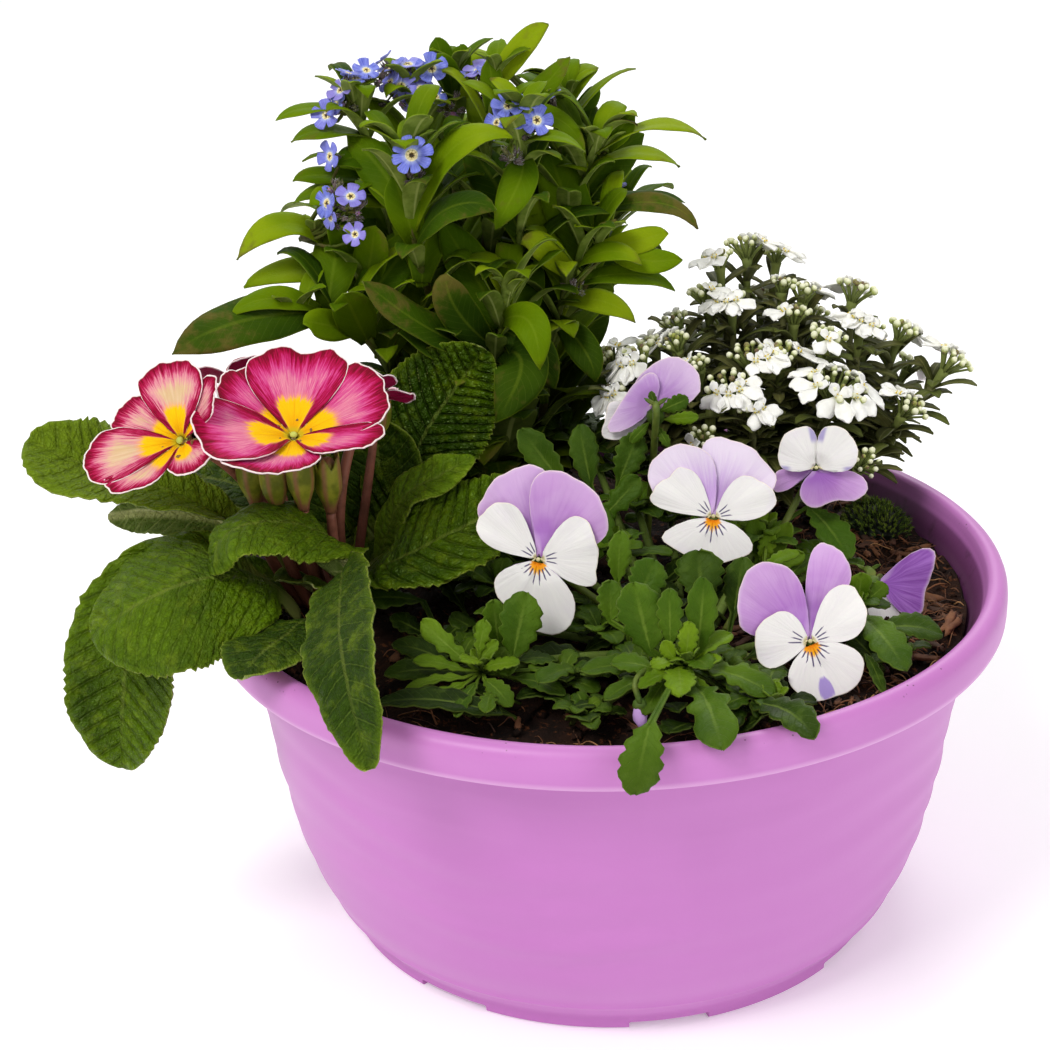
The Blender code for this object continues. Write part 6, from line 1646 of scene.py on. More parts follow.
CANDYTUFT_BIG = {(44, 36): "candytuft_flower_head_1", (9, 40): "candytuft_flower_head_2",
                 (70, 26): "candytuft_flower_head_3", (45, 75): "candytuft_flower_head_4"}
# smaller heads on side stems, some on the far side: x, y, z, radius, open, turn, shoot
CANDYTUFT_MORE = ((28, 36, 154, 5, 1, 150, 1), (14, 50, 156, 5, 1, 80, 1), (0, 46, 152, 4, 0, 0, 1), (52, 92, 158, 7, 3, 90, 0), (38, 96, 148, 6, 2, 120, 0),
                  (68, 90, 152, 7, 2, 70, 3), (86, 84, 146, 7, 3, 40, 4), (98, 72, 140, 6, 1, 20, 4), (24, 82, 150, 6, 2, 140, 1), (56, 70, 168, 6, 1, 100, 3))


def iberis_petal(shape, foot, out, n, long, wide, seed, lift, rows=6, cols=5):
    side = unit(np.cross(n, out))
    ts = np.linspace(0, 1, rows) ** 0.80
    w = wide * 0.55 * np.interp(ts, (0, 0.25, 0.5, 0.72, 0.88, 1.0), (0.26, 0.52, 0.90, 1.0, 0.90, 0.46))
    x = np.linspace(-1, 1, cols)
    X_, T_ = np.meshgrid(x, ts)
    run = T_ * long * (1 - 0.16 * X_ ** 2 * T_)
    z = lift * T_ * long * 0.55 + 0.16 * wide * X_ ** 2 * (1 if lift > 0.2 else -0.5) + 0.25 * np.sin(seed + 3 * T_ + X_)
    grid = arr(foot) + out[None, None] * run[..., None] + side[None, None] * (X_ * w[:, None])[..., None] + n[None, None] * z[..., None]
    lf = np.stack([X_, T_, (1 - np.abs(X_)) * w[:, None]], axis=-1)
    sheet(shape, grid, 0.28, lf=lf, tn=(0.0, (seed * 0.37) % 1, 0))


def iberis_material():
    g = Graph("candytuft_white")
    x, t, e = g.attr("lf")
    kind, rnd, _ = g.attr("tn")
    p = g.place()
    n = g.noise(p, 420.0, 3.0, 0.6)
    fine = g.noise(p, 1600.0, 2.0, 0.6)
    white = g.mix(g.ease(n, 0.3, 0.7), srgb(250, 249, 244), srgb(238, 237, 230))
    white = g.mix(g.ease(t, 0.22, 0.03) * 0.6, white, srgb(206, 212, 150))
    bud = g.mix(g.ease(t, 0.10, 0.70), srgb(238, 238, 206), srgb(164, 176, 84))
    bud = g.mix(g.ease(n + rnd * 0.3, 0.55, 0.85) * 0.5, bud, srgb(214, 216, 178))
    young = g.mix(g.ease(n, 0.35, 0.65), srgb(158, 164, 70), srgb(104, 70, 60))
    col = g.mix(g.ease(kind, 0.1, 0.3), white, bud)
    col = g.mix(g.ease(kind, 0.5, 0.7), col, young)
    col = g.mix(g.ease(kind, 0.85, 0.95), col, srgb(226, 196, 40))
    g.set("Base Color", col)
    g.set("Roughness", 0.55)
    g.set("Subsurface Weight", 0.12)
    g.bsdf.inputs["Subsurface Radius"].default_value = (0.0012, 0.0012, 0.0010)
    g.set("Sheen Weight", 0.1)
    g.bump(n * 0.5 + fine * 0.5, 0.25, 0.0003)
    return g.mat


def iberis_leaf_material():
    g = Graph("candytuft_leaf_dark")
    x, t, e = g.attr("lf")
    tone, rnd, _ = g.attr("tn")
    p = g.place()
    side = g.attr("side")[0]
    n = g.noise(p, 160.0, 3.0, 0.6)
    fine = g.noise(p, 1300.0, 2.0, 0.6)
    col = g.mix(g.ease(n + (rnd - 0.5) * 0.5, 0.3, 0.7), srgb(58, 62, 24), srgb(94, 92, 50))
    col = g.mix(g.ease(rnd, 0.55, 0.95) * 0.6, col, srgb(74, 92, 26))
    col = g.mix(g.ease(tone, 0.3, 1.0), col, g.mix(g.ease(n, 0.3, 0.7), srgb(96, 124, 34), srgb(136, 156, 54)))
    col = g.mix(g.ease(x.abs(), 0.22, 0.05) * 0.35, col, srgb(120, 118, 68))
    col = g.mix(g.ease(side, 0.6, 0.4) * 0.5, col, srgb(96, 100, 66))
    g.set("Base Color", col)
    g.set("Roughness", g.ease(n, 0.3, 0.7, 0.55, 0.68))
    g.set("Specular IOR Level", 0.18)
    g.set("Specular Tint", (0.84, 0.86, 0.60))
    g.bump(fine * 0.6 + n * 0.4, 0.3, 0.0004)
    return g.mat


def linear_half(t):
    return (0.30 + 0.70 * np.sin(np.pi * np.clip(t * 0.86 + 0.02, 0, 1)) ** 0.9) * (1 - np.clip((t - 0.8) / 0.2, 0, 1) ** 2 * 0.8)


def narrow_leaf(shape, base, d, long, wide, rise, tone, rnd, sag=0.0, n=7):
    ts = np.linspace(0, 1, n)
    tip = base + d * long * (0.92 - 0.3 * max(rise, 0)) + arr((0, 0, long * rise * 0.75 - sag * long))
    ctrl = base + d * long * 0.5 + arr((0, 0, long * rise * 0.7 + long * 0.10))
    line = arc(base, ctrl, tip, ts)
    t, s, u = frame_along(line, arr((0, 0, 1)) - d * 0.2)
    w = wide * 0.5 * linear_half(ts)
    x = np.array([-1.0, 0.0, 1.0])
    X_, T_ = np.meshgrid(x, ts)
    up_ = 0.30 * np.abs(X_) * w[:, None]
    grid = line[:, None, :] + s[:, None, :] * (X_ * w[:, None])[..., None] + u[:, None, :] * up_[..., None]
    lf = np.stack([X_, T_, (1 - np.abs(X_)) * w[:, None]], axis=-1)
    sheet(shape, grid, 0.45, lf=lf, tn=(tone, rnd, 0))


def umbel(flower, pedicel, top, axis, radius, open_, turn, rng):
    """A flat-topped head: buds crowd the middle, open flowers ring them with two long petals each turned outwards."""
    n = unit(axis)
    x = unit(np.cross(n, (0.12, -1.0, 0.05)))
    y = np.cross(x, n) * -1
    y = np.cross(n, x)
    hub = top - n * radius * 0.95
    count = int(6 + radius * 1.1)
    spots = []
    for i in range(count):
        f = math.sqrt((i + 0.4) / count)
        a = 2.39996 * i + turn
        spots.append((f * 0.74, a))
    full = open_ >= 7
    for i in range(open_):
        if full:
            a = 2 * math.pi * i / open_ + 0.2 * math.sin(3.1 * i)
        else:
            a = math.radians(turn) + (i - (open_ - 1) / 2) * 0.62 * (1 if i % 2 else 1.05)
        f = 0.78 + 0.08 * math.sin(5 * i + turn)
        d = x * math.cos(a) + y * math.sin(a)
        at = top + d * radius * f * 0.72 - n * radius * (0.10 + 0.12 * f)
        tube(pedicel, arc(hub, hub + n * radius * 0.5 + d * radius * 0.3, at - n * 0.6, np.linspace(0, 1, 5)), np.linspace(0.55, 0.4, 5), 5,
             tn=(1.0, rng.random(), 0))
        fn = unit(n * 0.8 + d * 0.55)
        o = unit(d - fn * float(np.dot(d, fn)))
        size = (5.9 if full else 4.7) * (0.9 + 0.2 * rng.random())
        q = unit(np.cross(fn, o))
        for sgn in (-1, 1):
            out = unit(o * 0.93 + q * 0.55 * sgn)
            iberis_petal(flower, at + fn * 0.3, out, fn, size * 1.45, size * 0.92, 3.1 * i + sgn, 0.30 + 0.5 * rng.random() - 0.2)
            out2 = unit(-o * 0.75 + q * 0.75 * sgn)
            iberis_petal(flower, at + fn * 0.4, out2, fn, size * 0.74, size * 0.56, 1.1 * i + sgn, 0.6, 5, 3)
        ball(flower, at + fn * 0.9, fn, (0.62, 1.0), 4, 7, tn=(0.2, rng.random(), 0))
        for m_ in range(4):
            b = 1.57 * m_ + 0.6
            ball(flower, at + fn * 1.35 + (o * math.cos(b) + q * math.sin(b)) * 0.8, fn, (0.26, 0.42), 2, 4, tn=(1.0, 0.5, 0))
    for f, a in spots:
        d = x * math.cos(a) + y * math.sin(a)
        if open_ and not full and f > 0.5:
            near = abs((math.degrees(a) - turn + 180) % 360 - 180)
            if near < 18 + 17 * open_ * 0.8:
                continue
        at = top + d * radius * f - n * radius * 0.30 * f * f + n * rng.random() * 0.5
        tube(pedicel, arc(hub, hub + n * radius * 0.45 + d * radius * f * 0.35, at, np.linspace(0, 1, 3)), np.linspace(0.5, 0.36, 3), 4,
             tn=(1.0, rng.random(), 0))
        size = 1.12 * (0.62 + 0.42 * f) * (0.80 + 0.4 * rng.random()) * (1.0 if radius > 7 else 0.9)
        kind = 0.4 if f > 0.36 or rng.random() < 0.4 else 0.76
        ball(flower, at, n * 0.9 + d * 0.4, (size, size * 1.12), 4, 7, 0.0, 0.04, tn=(kind, rng.random(), 0))
        # two sepals clasp each bud
        if kind > 0.5 or rng.random() < 0.6:
            for sgn in (-1, 1):
                q = unit(np.cross(n, d + arr((0.01, 0, 0)))) * sgn
                ball(flower, at - n * size * 0.35 + q * size * 0.55, n, (size * 0.42, size * 0.75), 2, 5, tn=(0.76, rng.random(), 0))


def make_candytuft():
    rng = random.Random(77)
    white = iberis_material()
    green = iberis_leaf_material()
    for k, (heads, foot) in enumerate(zip(CANDYTUFT_HEADS, CANDYTUFT_FEET)):
        foot = arr((foot[0], foot[1], 98.0))
        centre = np.mean([h[:3] for h in heads], axis=0)
        fork = foot * 0.55 + centre * 0.45
        fork[2] = 118.0
        greens, blooms = Shape(), Shape()
        line = arc(foot, foot * 0.5 + fork * 0.5 + arr((0, 0, 2)), fork, np.linspace(0, 1, 8))
        tube(greens, line, np.linspace(2.2, 1.8, 8), 9, tn=(0.15, 0.3, 0))
        more = [h[:6] for h in CANDYTUFT_MORE if h[6] == k]
        for j, (x, y, z, r, open_, turn) in enumerate(list(heads) + more):
            top = arr((x, y, z))
            out = unit(top - arr((50, 45, 95)))
            out = unit(out + arr((0, -0.05, 0.25)))
            end = top - out * r * 0.9
            ctrl = arr((fork[0] * 0.35 + end[0] * 0.65, fork[1] * 0.35 + end[1] * 0.65, (fork[2] + end[2]) * 0.5 - 3))
            ts = np.linspace(0, 1, 16)
            line = arc(fork - arr((0, 0, 1)), ctrl, end, ts)
            tube(greens, line, 1.25 - 0.2 * ts + 0.3 * np.clip(ts - 0.85, 0, 1) * 6 * 0.15, 7, tn=(0.0, 0.5, 0))
            # the yellow-green top of the stem widens into the head
            tube(greens, np.array([line[-3], line[-2], line[-1], end + out * r * 0.22]), (1.1, 1.25, 1.5, 1.9), 8, tn=(1.0, 0.6, 0))
            big = CANDYTUFT_BIG.get((x, y))
            f = Shape() if big else blooms
            umbel(f, greens, top, out, r, open_, turn, rng)
            if big:
                piece(f, big + "_florets", white, (big,))
            # leaves all the way up, crowding below the head
            long_stem = length_of(line)
            count = int(10 + long_stem * 0.27)
            for i in range(count):
                t = 0.12 + 0.84 * (i / count) ** 0.85
                a = 2.39996 * i + k + 1.7 * j
                base = arc(fork, ctrl, end, [t])[0]
                d = arr((math.cos(a), math.sin(a), 0.0))
                size = (21.0 - 7.0 * t) * (0.8 + 0.4 * rng.random())
                rise = 0.10 + 0.55 * t * rng.random() + 0.15 * (t > 0.85)
                narrow_leaf(greens, base, d, size, 3.0 + 1.2 * rng.random(), rise, 0.45 * (t > 0.92) * rng.random(), rng.random(),
                            sag=0.28 * rng.random() * (1 - t))
        # low leaves over the soil
        for i in range(16):
            a = 2.39996 * i + 0.9 * k
            base = foot + arr((0, 0, 3 + 1.1 * i)) + (fork - foot) * (i / 22)
            d = arr((math.cos(a), math.sin(a), 0.0))
            narrow_leaf(greens, base, d, 18 + 5 * rng.random(), 3.4 + 1.0 * rng.random(), 0.15 + 0.3 * rng.random(), 0.0, rng.random(), sag=0.15)
        piece(greens, "candytuft_shoot_%d_greens" % (k + 1), green, ("candytuft_shoot_%d" % (k + 1),))
        piece(blooms, "candytuft_shoot_%d_heads" % (k + 1), white)


make_candytuft()

# ------------------------------------------------------------------ viola
# flowers: node, centre, way it faces, foot of the stalk, then petals from the back to the front:
# kind (0 lilac, 1 white side, 2 lip), outline as angle and distance in the flower's plane, lift, cup
VIOLA_FLOWERS = (
    ("viola_flower_1", (-18, -46, 127), (-1, -9, 3), (14, -38, 98), (
        (0, ((156, 17), (145, 21.0), (130, 23.2), (119, 24.6), (104, 25.4), (88, 24.6), (78, 19)), -2.4, 0.06),
        (0, ((104, 17), (95, 22.5), (84, 24.2), (70, 24.4), (52, 23.8), (36, 22.4), (22, 19.5), (8, 13)), -1.2, 0.10),
        (1, ((172, 10.5), (165, 14.6), (156, 18.6), (142, 19.6), (125, 18.6), (108, 14.5)), 0.0, 0.05),
        (1, ((62, 13.5), (52, 15.8), (36, 17.0), (20, 16.4), (6, 16.4), (-10, 15.8), (-24, 16.4), (-38, 9)), 0.9, 0.04),
        (2, ((-170, 8), (-160, 12), (-140, 14.8), (-121, 15.6), (-104, 18.2), (-86, 20.0), (-70, 20.4), (-56, 18.0), (-44, 14.0), (-34, 8)), 1.6, -0.04))),
    ("viola_flower_2", (30, -22, 128), (0, -8, 5), (25, -34, 98), (
        (0, ((106, 12), (100, 19.5), (92, 22.4), (78, 22.8), (62, 22.4), (46, 21.6), (32, 21.0), (22, 18), (14, 13)), -2.2, 0.10),
        (0, ((168, 13), (156, 18.5), (144, 22.0), (130, 23.4), (116, 22.8), (102, 20.4), (90, 17.0), (80, 12)), -1.0, 0.12),
        (1, ((174, 11), (166, 17.6), (152, 18.2), (137, 16.8), (121, 16.6), (104, 12)), 0.2, 0.04),
        (1, ((66, 10), (54, 14.2), (38, 16.4), (24, 17.8), (12, 18.0), (0, 13.6), (-12, 8)), 0.9, 0.04),
        (2, ((-176, 8), (-162, 15.4), (-144, 14.2), (-124, 13.0), (-104, 12.8), (-84, 12.8), (-62, 13.2), (-46, 14.4), (-34, 13.0), (-20, 8)), 1.5, -0.14))),
    ("viola_flower_3", (53, -66, 111), (0, -8, 5), (36, -48, 98), (
        (0, ((94, 12), (90, 19.0), (85, 25.4), (78, 27.6), (70, 26.4), (62, 24.2), (55, 20.4), (49, 14)), -2.2, -0.16),
        (0, ((178, 11), (170, 17.6), (158, 20.2), (144, 22.4), (131, 24.8), (118, 24.0), (106, 21.0), (97, 16.5), (90, 11)), -1.0, 0.12),
        (1, ((-136, 8), (-146, 12.6), (-163, 14.4), (178, 14.4), (160, 14.0), (142, 12.0), (128, 10.6), (112, 7.4)), 0.4, 0.06),
        (1, ((76, 10), (66, 15.6), (52, 18.4), (36, 17.6), (20, 15.8), (6, 12.2), (-4, 8.4)), 0.2, 0.05),
        (2, ((-134, 9), (-124, 11.6), (-108, 13.6), (-93, 15.4), (-78, 15.6), (-62, 15.8), (-46, 16.4), (-30, 15.8), (-14, 13.4), (0, 9)), 1.3, -0.04))),
    ("viola_flower_4", (60, -4, 135), (0, -9, 3), (33, -32, 98), (
        (0, ((178, 7), (185, 11), (198, 12.6), (212, 13.0), (222, 8)), -1.0, -0.10),
        (0, ((222, 5), (236, 8.5), (252, 10.6), (270, 11.4), (288, 10.8), (304, 11.2), (320, 14.8), (336, 16.0), (350, 13.6), (360, 8)), 0.0, -0.08),
        (3, ((84, 8.6), (96, 11.6), (112, 12.6), (130, 13.2), (150, 12.2), (166, 11.0), (180, 9.6), (192, 6)), 1.4, 0.05),
        (3, ((-14, 6), (-6, 8.8), (9, 11.4), (27, 12.8), (46, 13.4), (64, 13.2), (80, 11.8), (92, 8.6)), 1.9, 0.06))),
    ("viola_flower_5", (14.9, 10, 149.8), (0, -9, 3.4), (12, 18, 98), (
        (3, ((170, 8), (171, 12.7), (183, 14.0), (196, 15.0), (207, 17.6), (216, 16.5), (227, 13.0), (233, 9), (240, 6)), -0.8, 0.02),
        (0, ((-34, 5), (-12, 7.4), (4, 10.2), (12, 12.8), (24, 14.4), (39, 15.6), (55, 15.4), (70, 14.6), (84, 12.8), (101, 10.8), (128, 8.8), (160, 7.4)), -0.2, 0.10),
        (0, ((72, 6.8), (84, 8.6), (100, 9.4), (122, 8.6), (148, 8.6), (170, 9.6), (186, 11.2), (197, 13.6), (206, 15.8), (213, 15.0), (221, 10.8), (230, 6)), 1.3, 0.06))),
    ("viola_flower_6", (76, -22, 107), (2, -8, 3), (42, -35, 98), (
        (0, ((-62, 7), (-56, 12.0), (-46, 14.5), (-40, 15.9), (-28, 15.0), (-16, 14.6), (0, 15.8), (11, 17.5), (19, 18.7), (27, 18.3), (33, 15.4), (39, 9)), 0.0, 0.04),
        (1, ((-122, 4), (-112, 8.0), (-100, 10.6), (-84, 10.5), (-70, 11.6), (-58, 12.4), (-50, 8)), -1.4, 0.05))),
)


def viola_rise(kind, lift, cup, seed, top):
    """How high a petal stands over the flower's plane."""
    def height(r, TH, tt):
        z = lift * np.clip(tt * 3, 0, 1) + cup * top * np.clip(tt - 0.1, 0, 1) ** 1.7
        z = z + (np.sin(TH * 4.2 + seed) * 0.55 + 0.35 * np.sin(TH * 8.6 + 1.7 * seed)) * np.clip(tt - 0.3, 0, 1) ** 1.4 * top * 0.07
        z = z + 0.05 * np.sin(TH * 40) * np.clip(tt * 2, 0, 1)
        if kind == 2:
            z = z + 0.9 * np.exp(-((r - 2.5) / 2.5) ** 2) * np.exp(-(TH / 0.5) ** 2) - 0.7 * np.exp(-(TH / 0.16) ** 2) * np.clip(1 - tt, 0, 1)
        return z
    return height


def viola_petal_material():
    g = Graph("viola_petals")
    th, t, edge = g.attr("lf")
    kind, rnd, blotch = g.attr("tn")
    r, rel, deep = g.attr("eye")
    side = g.attr("side")[0]
    p = g.place()
    n = g.noise(p, 120.0, 2.0, 0.55)
    fine = g.noise(p, 900.0, 3.0, 0.6)
    ray = g.noise(g.vec(th * 12.0 + rnd * 33.0, t * 1.3, rnd * 9.0), 1.0, 3.0, 0.6)
    ray = g.ease(ray, 0.28, 0.72)
    lilac = g.mix(g.ease(t + (ray - 0.5) * 0.14, 0.30, 1.0), srgb(172, 116, 192), srgb(202, 158, 212))
    lilac = g.mix(g.ease(n, 0.4, 0.65) * 0.25, lilac, srgb(216, 184, 222))
    pale = g.mix(g.ease(t + (ray - 0.5) * 0.16, 0.25, 0.9), srgb(196, 158, 216), srgb(230, 216, 234))
    lilac = g.mix(g.ease(deep, 0.3, 0.9), pale, lilac)
    lilac = g.mix(g.ease(deep, 1.2, 1.8), lilac, g.mix(ray, srgb(128, 68, 158), srgb(160, 106, 190)))
    # the back petals are deepest at the throat
    lilac = g.mix(g.ease(t, 0.55, 0.15) * g.ease(deep, 0.8, 1.2) * 0.6, lilac, srgb(146, 88, 182))
    lilac = g.mix(g.ease(edge, 1.3, 0.2) * 0.35, lilac, srgb(222, 200, 226))
    white = g.mix(ray * 0.4 + n * 0.5, srgb(238, 236, 231), srgb(229, 225, 226))
    white = g.mix(g.ease(t, 0.45, 1.0) * g.ease(n, 0.48, 0.66) * 0.22, white, srgb(216, 202, 226))
    col = g.mix(g.ease(kind, 0.3, 0.7), lilac, white)
    lip = g.ease(kind, 1.4, 1.6) * g.ease(kind, 2.6, 2.4)
    mid_ = g.ease(kind, 0.6, 0.9) * g.ease(kind, 1.6, 1.4)
    plain = g.ease(kind, 2.4, 2.6)
    # a violet blotch on the lip of some flowers
    sx, sy = (rel + 6.0) / 9.5, (t - 0.78) * 4.4
    spot = g.ease(sx * sx + sy * sy + (ray - 0.5) * 0.4, 0.95, 0.45) * blotch * lip
    col = g.mix(spot * 0.80, col, srgb(146, 112, 204))
    # the eye: orange yellow at the foot of the lip
    gold = g.mix(g.ease(r, 1.0, 3.6), srgb(226, 128, 0), srgb(244, 176, 6))
    col = g.mix(lip * g.ease(r + (ray - 0.5) * 1.3 + rel.abs() * 0.022, 4.4, 3.5), col, gold)
    col = g.mix(mid_ * g.ease(r, 2.2, 1.4) * 0.8, col, srgb(206, 196, 130))
    # whiskers: short violet lines, even in width, running out from the eye on the lip and the side petals
    lines = g.ease((rel * (math.pi / 17.0)).sin().abs() * r, 2.5, 1.5)
    reach = g.ease(r + (ray - 0.5) * 2.4 + rel.abs() * 0.02, 6.4, 5.7) * g.ease(r, 2.4, 2.9)
    whisk = lines * reach * lip * g.ease(rel.abs(), 62.0, 56.0)
    lines2 = g.ease(((rel + 4.0) * (math.pi / 17.0)).sin().abs() * r, 2.2, 1.3)
    reach2 = g.ease(r + (ray - 0.5) * 1.6, 5.3, 4.7) * g.ease(r, 2.0, 2.5) * g.ease(rel.abs(), 27.0, 22.0)
    whisk = whisk + lines2 * reach2 * mid_
    col = g.mix(whisk.min(1.0) * 0.92, col, srgb(48, 24, 92))
    # a violet stroke where the folded lobes meet
    col = g.mix(plain * g.ease((rel.abs() - 43.0).abs(), 9.0, 3.0) * g.ease(t, 0.50, 0.66) * 0.7, col, srgb(132, 112, 190))
    # a thin cream margin
    col = g.mix(g.ease(edge, 0.36, 0.10) * g.ease(t, 0.45, 0.6) * 0.5, col, srgb(244, 230, 204))
    back = g.mix(g.ease(kind, 0.3, 0.7), g.mix(ray, srgb(176, 132, 206), srgb(204, 170, 220)), srgb(234, 230, 222))
    back = g.mix(lip * 0.75, back, srgb(206, 178, 222))
    back = g.mix(g.ease(deep, 1.2, 1.8), back, g.mix(g.ease(t + (n - 0.5) * 0.5, 0.35, 0.95), g.mix(ray, srgb(158, 104, 194), srgb(180, 132, 210)), g.mix(ray, srgb(124, 66, 160), srgb(150, 92, 186))))
    col = g.mix(g.ease(side, 0.6, 0.4), col, back)
    g.set("Base Color", col)
    g.set("Roughness", 0.6)
    g.set("Specular IOR Level", 0.2)
    g.set("Subsurface Weight", 0.12)
    g.bsdf.inputs["Subsurface Radius"].default_value = (0.0016, 0.0012, 0.0016)
    g.bump(ray * 0.8 + fine * 0.35, 0.18, 0.0005)
    return g.mat


VIOLA_SHOOTS = (
    ("viola_shoot_1", (12, -47, 98), (-33, -68, 105), 17, 10, 10),
    ("viola_shoot_2", (22, -52, 98), (20, -80, 112), 19, 13, 30),
    ("viola_shoot_3", (16, -33, 98), (1, -14, 116), 17, 11, 0),
    ("viola_shoot_4", (30, -28, 98), (46, -6, 116), 16, 10, 50),
    ("viola_shoot_5", (42, -46, 98), (67, -38, 106), 18, 9, 20),
    ("viola_shoot_6", (30, -55, 98), (42, -88, 104), 17, 9, 75),
)
# leaves of the shoots: shoot, base of the blade, tip, width, tone from dark to fresh, 1 where the margin is lobed
VIOLA_LEAVES = (
    (1, (-36, -70, 108), (-49, -62, 117), 6.4, 0.75, 1), (1, (-37, -72, 107), (-51, -70, 109), 5.4, 0.85, 1),
    (1, (-37, -76, 107), (-53, -78, 105), 4.8, 0.80, 1), (1, (-36, -78, 107), (-47, -86, 104), 5.6, 0.85, 1),
    (1, (-34, -79, 107), (-39, -91, 104), 4.6, 0.60, 0), (1, (-32, -77, 107), (-25, -86, 104), 6.2, 0.70, 0),
    (1, (-32, -72, 108), (-23, -74, 110), 6.4, 0.85, 0), (1, (-34, -68, 108), (-29, -66, 113), 4.2, 0.90, 0),
    (1, (-34, -68, 110), (-32, -64, 118), 4.8, 0.80, 1), (1, (-38, -68, 104), (-59, -68, 104), 8.4, 0.15, 0),
    (1, (-25, -66, 108), (-21, -60, 124), 11.8, 0.45, 0), (1, (-29, -60, 109), (-30, -58, 121), 7.2, 0.35, 0),
    (1, (-3, -59, 101), (-25, -59, 102), 12.6, 0.02, 0), (1, (-8, -69, 106), (-18, -81, 108), 7.2, 0.55, 1),
    (1, (-24, -71, 104), (-11, -78, 103), 6.0, 0.40, 0), (1, (-52, -23, 104), (-72, -27, 106), 10.4, 0.25, 0),
    (1, (-28, -88, 103), (-60, -85, 105), 9.4, 0.02, 0), (1, (-42, -60, 103), (-58, -54, 106), 8.0, 0.05, 0),
    (1, (-30, -82, 106), (-31, -93, 106), 5.0, 0.70, 1), (1, (-33, -73, 110), (-38, -77, 113), 4.6, 0.95, 0),
    (2, (11, -80, 116), (7, -74, 133), 12.6, 0.42, 0), (2, (16, -80, 118), (16, -76, 132), 7.0, 0.45, 0),
    (2, (23, -78, 114), (25, -74, 134), 8.6, 0.38, 0), (2, (12, -78, 110), (-7, -75, 108), 8.0, 0.55, 1),
    (2, (13, -83, 112), (1, -80, 113), 7.0, 0.68, 0), (2, (13, -78, 108), (-1, -87, 106), 6.0, 0.50, 1),
    (2, (18, -84, 113), (18, -100, 114), 8.4, 0.95, 0), (2, (17, -82, 115), (14, -82, 120), 4.4, 0.92, 0),
    (2, (20, -81, 115), (21, -79, 124), 5.6, 0.88, 0), (2, (17, -82, 114), (11, -84, 114), 5.0, 0.92, 0),
    (2, (22, -80, 113), (29, -81, 114), 5.4, 0.92, 0), (2, (24, -78, 110), (42, -89, 108), 9.4, 0.62, 1),
    (2, (21, -82, 110), (26, -92, 107), 4.0, 0.70, 0), (2, (17, -80, 110), (9, -93, 105), 5.4, 0.72, 1),
    (2, (33, -80, 102), (30, -99, 103), 7.6, 0.15, 0), (2, (1, -66, 118), (1, -62, 128), 7.4, 0.35, 0),
    (2, (8, -62, 122), (13, -56, 131), 10.6, 0.40, 0), (2, (3, -50, 122), (4, -46, 135), 6.6, 0.40, 0),
    (2, (25, -54, 118), (25, -46, 129), 13.8, 0.12, 0), (2, (34, -50, 112), (37, -42, 125), 9.0, 0.15, 0),
    (2, (21, -80, 112), (32, -74, 118), 5.6, 0.80, 1), (2, (16, -84, 112), (8, -92, 112), 5.2, 0.88, 0),
    (3, (-4, -20, 114), (0, -14, 128), 8.2, 0.40, 0), (3, (-2, -10, 122), (10, -6, 134), 8.2, 0.40, 1),
    (3, (-12, -14, 136), (-23, -10, 151), 9.2, 0.22, 0), (3, (-4, -6, 132), (-7, 0, 148), 8.8, 0.20, 0),
    (3, (4, 0, 130), (10, 6, 143), 9.2, 0.25, 0), (3, (-26, 15, 103), (-42, 30, 107), 9.2, 0.25, 0),
    (4, (45, -14, 106), (42, -8, 122), 7.0, 0.75, 1), (4, (45, -14, 106), (52, -10, 121), 6.0, 0.75, 1),
    (4, (44, -24, 112), (38, -27, 113), 7.0, 0.80, 0), (4, (44, -28, 115), (54, -22, 117), 4.6, 0.80, 0),
    (4, (44, -16, 112), (47, -12, 119), 5.4, 0.90, 0), (4, (59, 5, 119), (69, -14, 111), 10.6, 0.42, 0),
    (4, (52, -18, 108), (60, -12, 111), 7.4, 0.25, 0), (4, (46, -14, 108), (56, -16, 114), 5.4, 0.70, 1),
    (5, (68, -54, 112), (77, -75, 107), 10.6, 0.50, 0), (5, (74, -52, 108), (90, -52, 106), 10.0, 0.18, 0),
    (5, (69, -36, 106), (70, -34, 116), 7.0, 0.70, 1), (5, (72, -36, 109), (77, -33, 112), 5.4, 0.70, 0),
    (5, (68, -64, 106), (71, -78, 102), 3.6, 0.20, 0), (5, (64, -34, 106), (60, -26, 114), 6.0, 0.60, 1),
    (6, (42, -80, 104), (38, -94, 104), 7.6, 0.10, 0),
)
# leaves that hang over the rim: shoot, base of the blade, bend, tip, width, tone, lobed
VIOLA_OVER_RIM = ((2, (10.2, -114, 114.4), (9, -119.5, 115.2), (6, -123.2, 99.6), 11.2, 0.50, 0), (2, (22, -90, 111), (25, -104, 116), (27, -118, 109), 12.0, 0.50, 1),
                  (6, (36, -89, 105), (44, -102, 114), (50, -113, 109), 9.6, 0.10, 0))
# how wide the blade is along the leaf: with rounded teeth, and with deeper lobes
TOOTHED = ((0, .15), (.10, .13), (.20, .17), (.28, .36), (.35, .68), (.41, .54), (.47, .87), (.52, .90), (.57, .70), (.63, 1.0), (.68, 1.0), (.73, .78),
           (.79, .96), (.85, .82), (.89, .60), (.94, .58), (.98, .30), (1, .06))
LOBED = ((0, .16), (.12, .13), (.24, .16), (.31, .30), (.38, .70), (.42, .72), (.47, .42), (.52, .50), (.57, .92), (.62, .94), (.66, .66), (.73, .76),
         (.80, .92), (.87, .88), (.93, .68), (.97, .42), (1, .06))


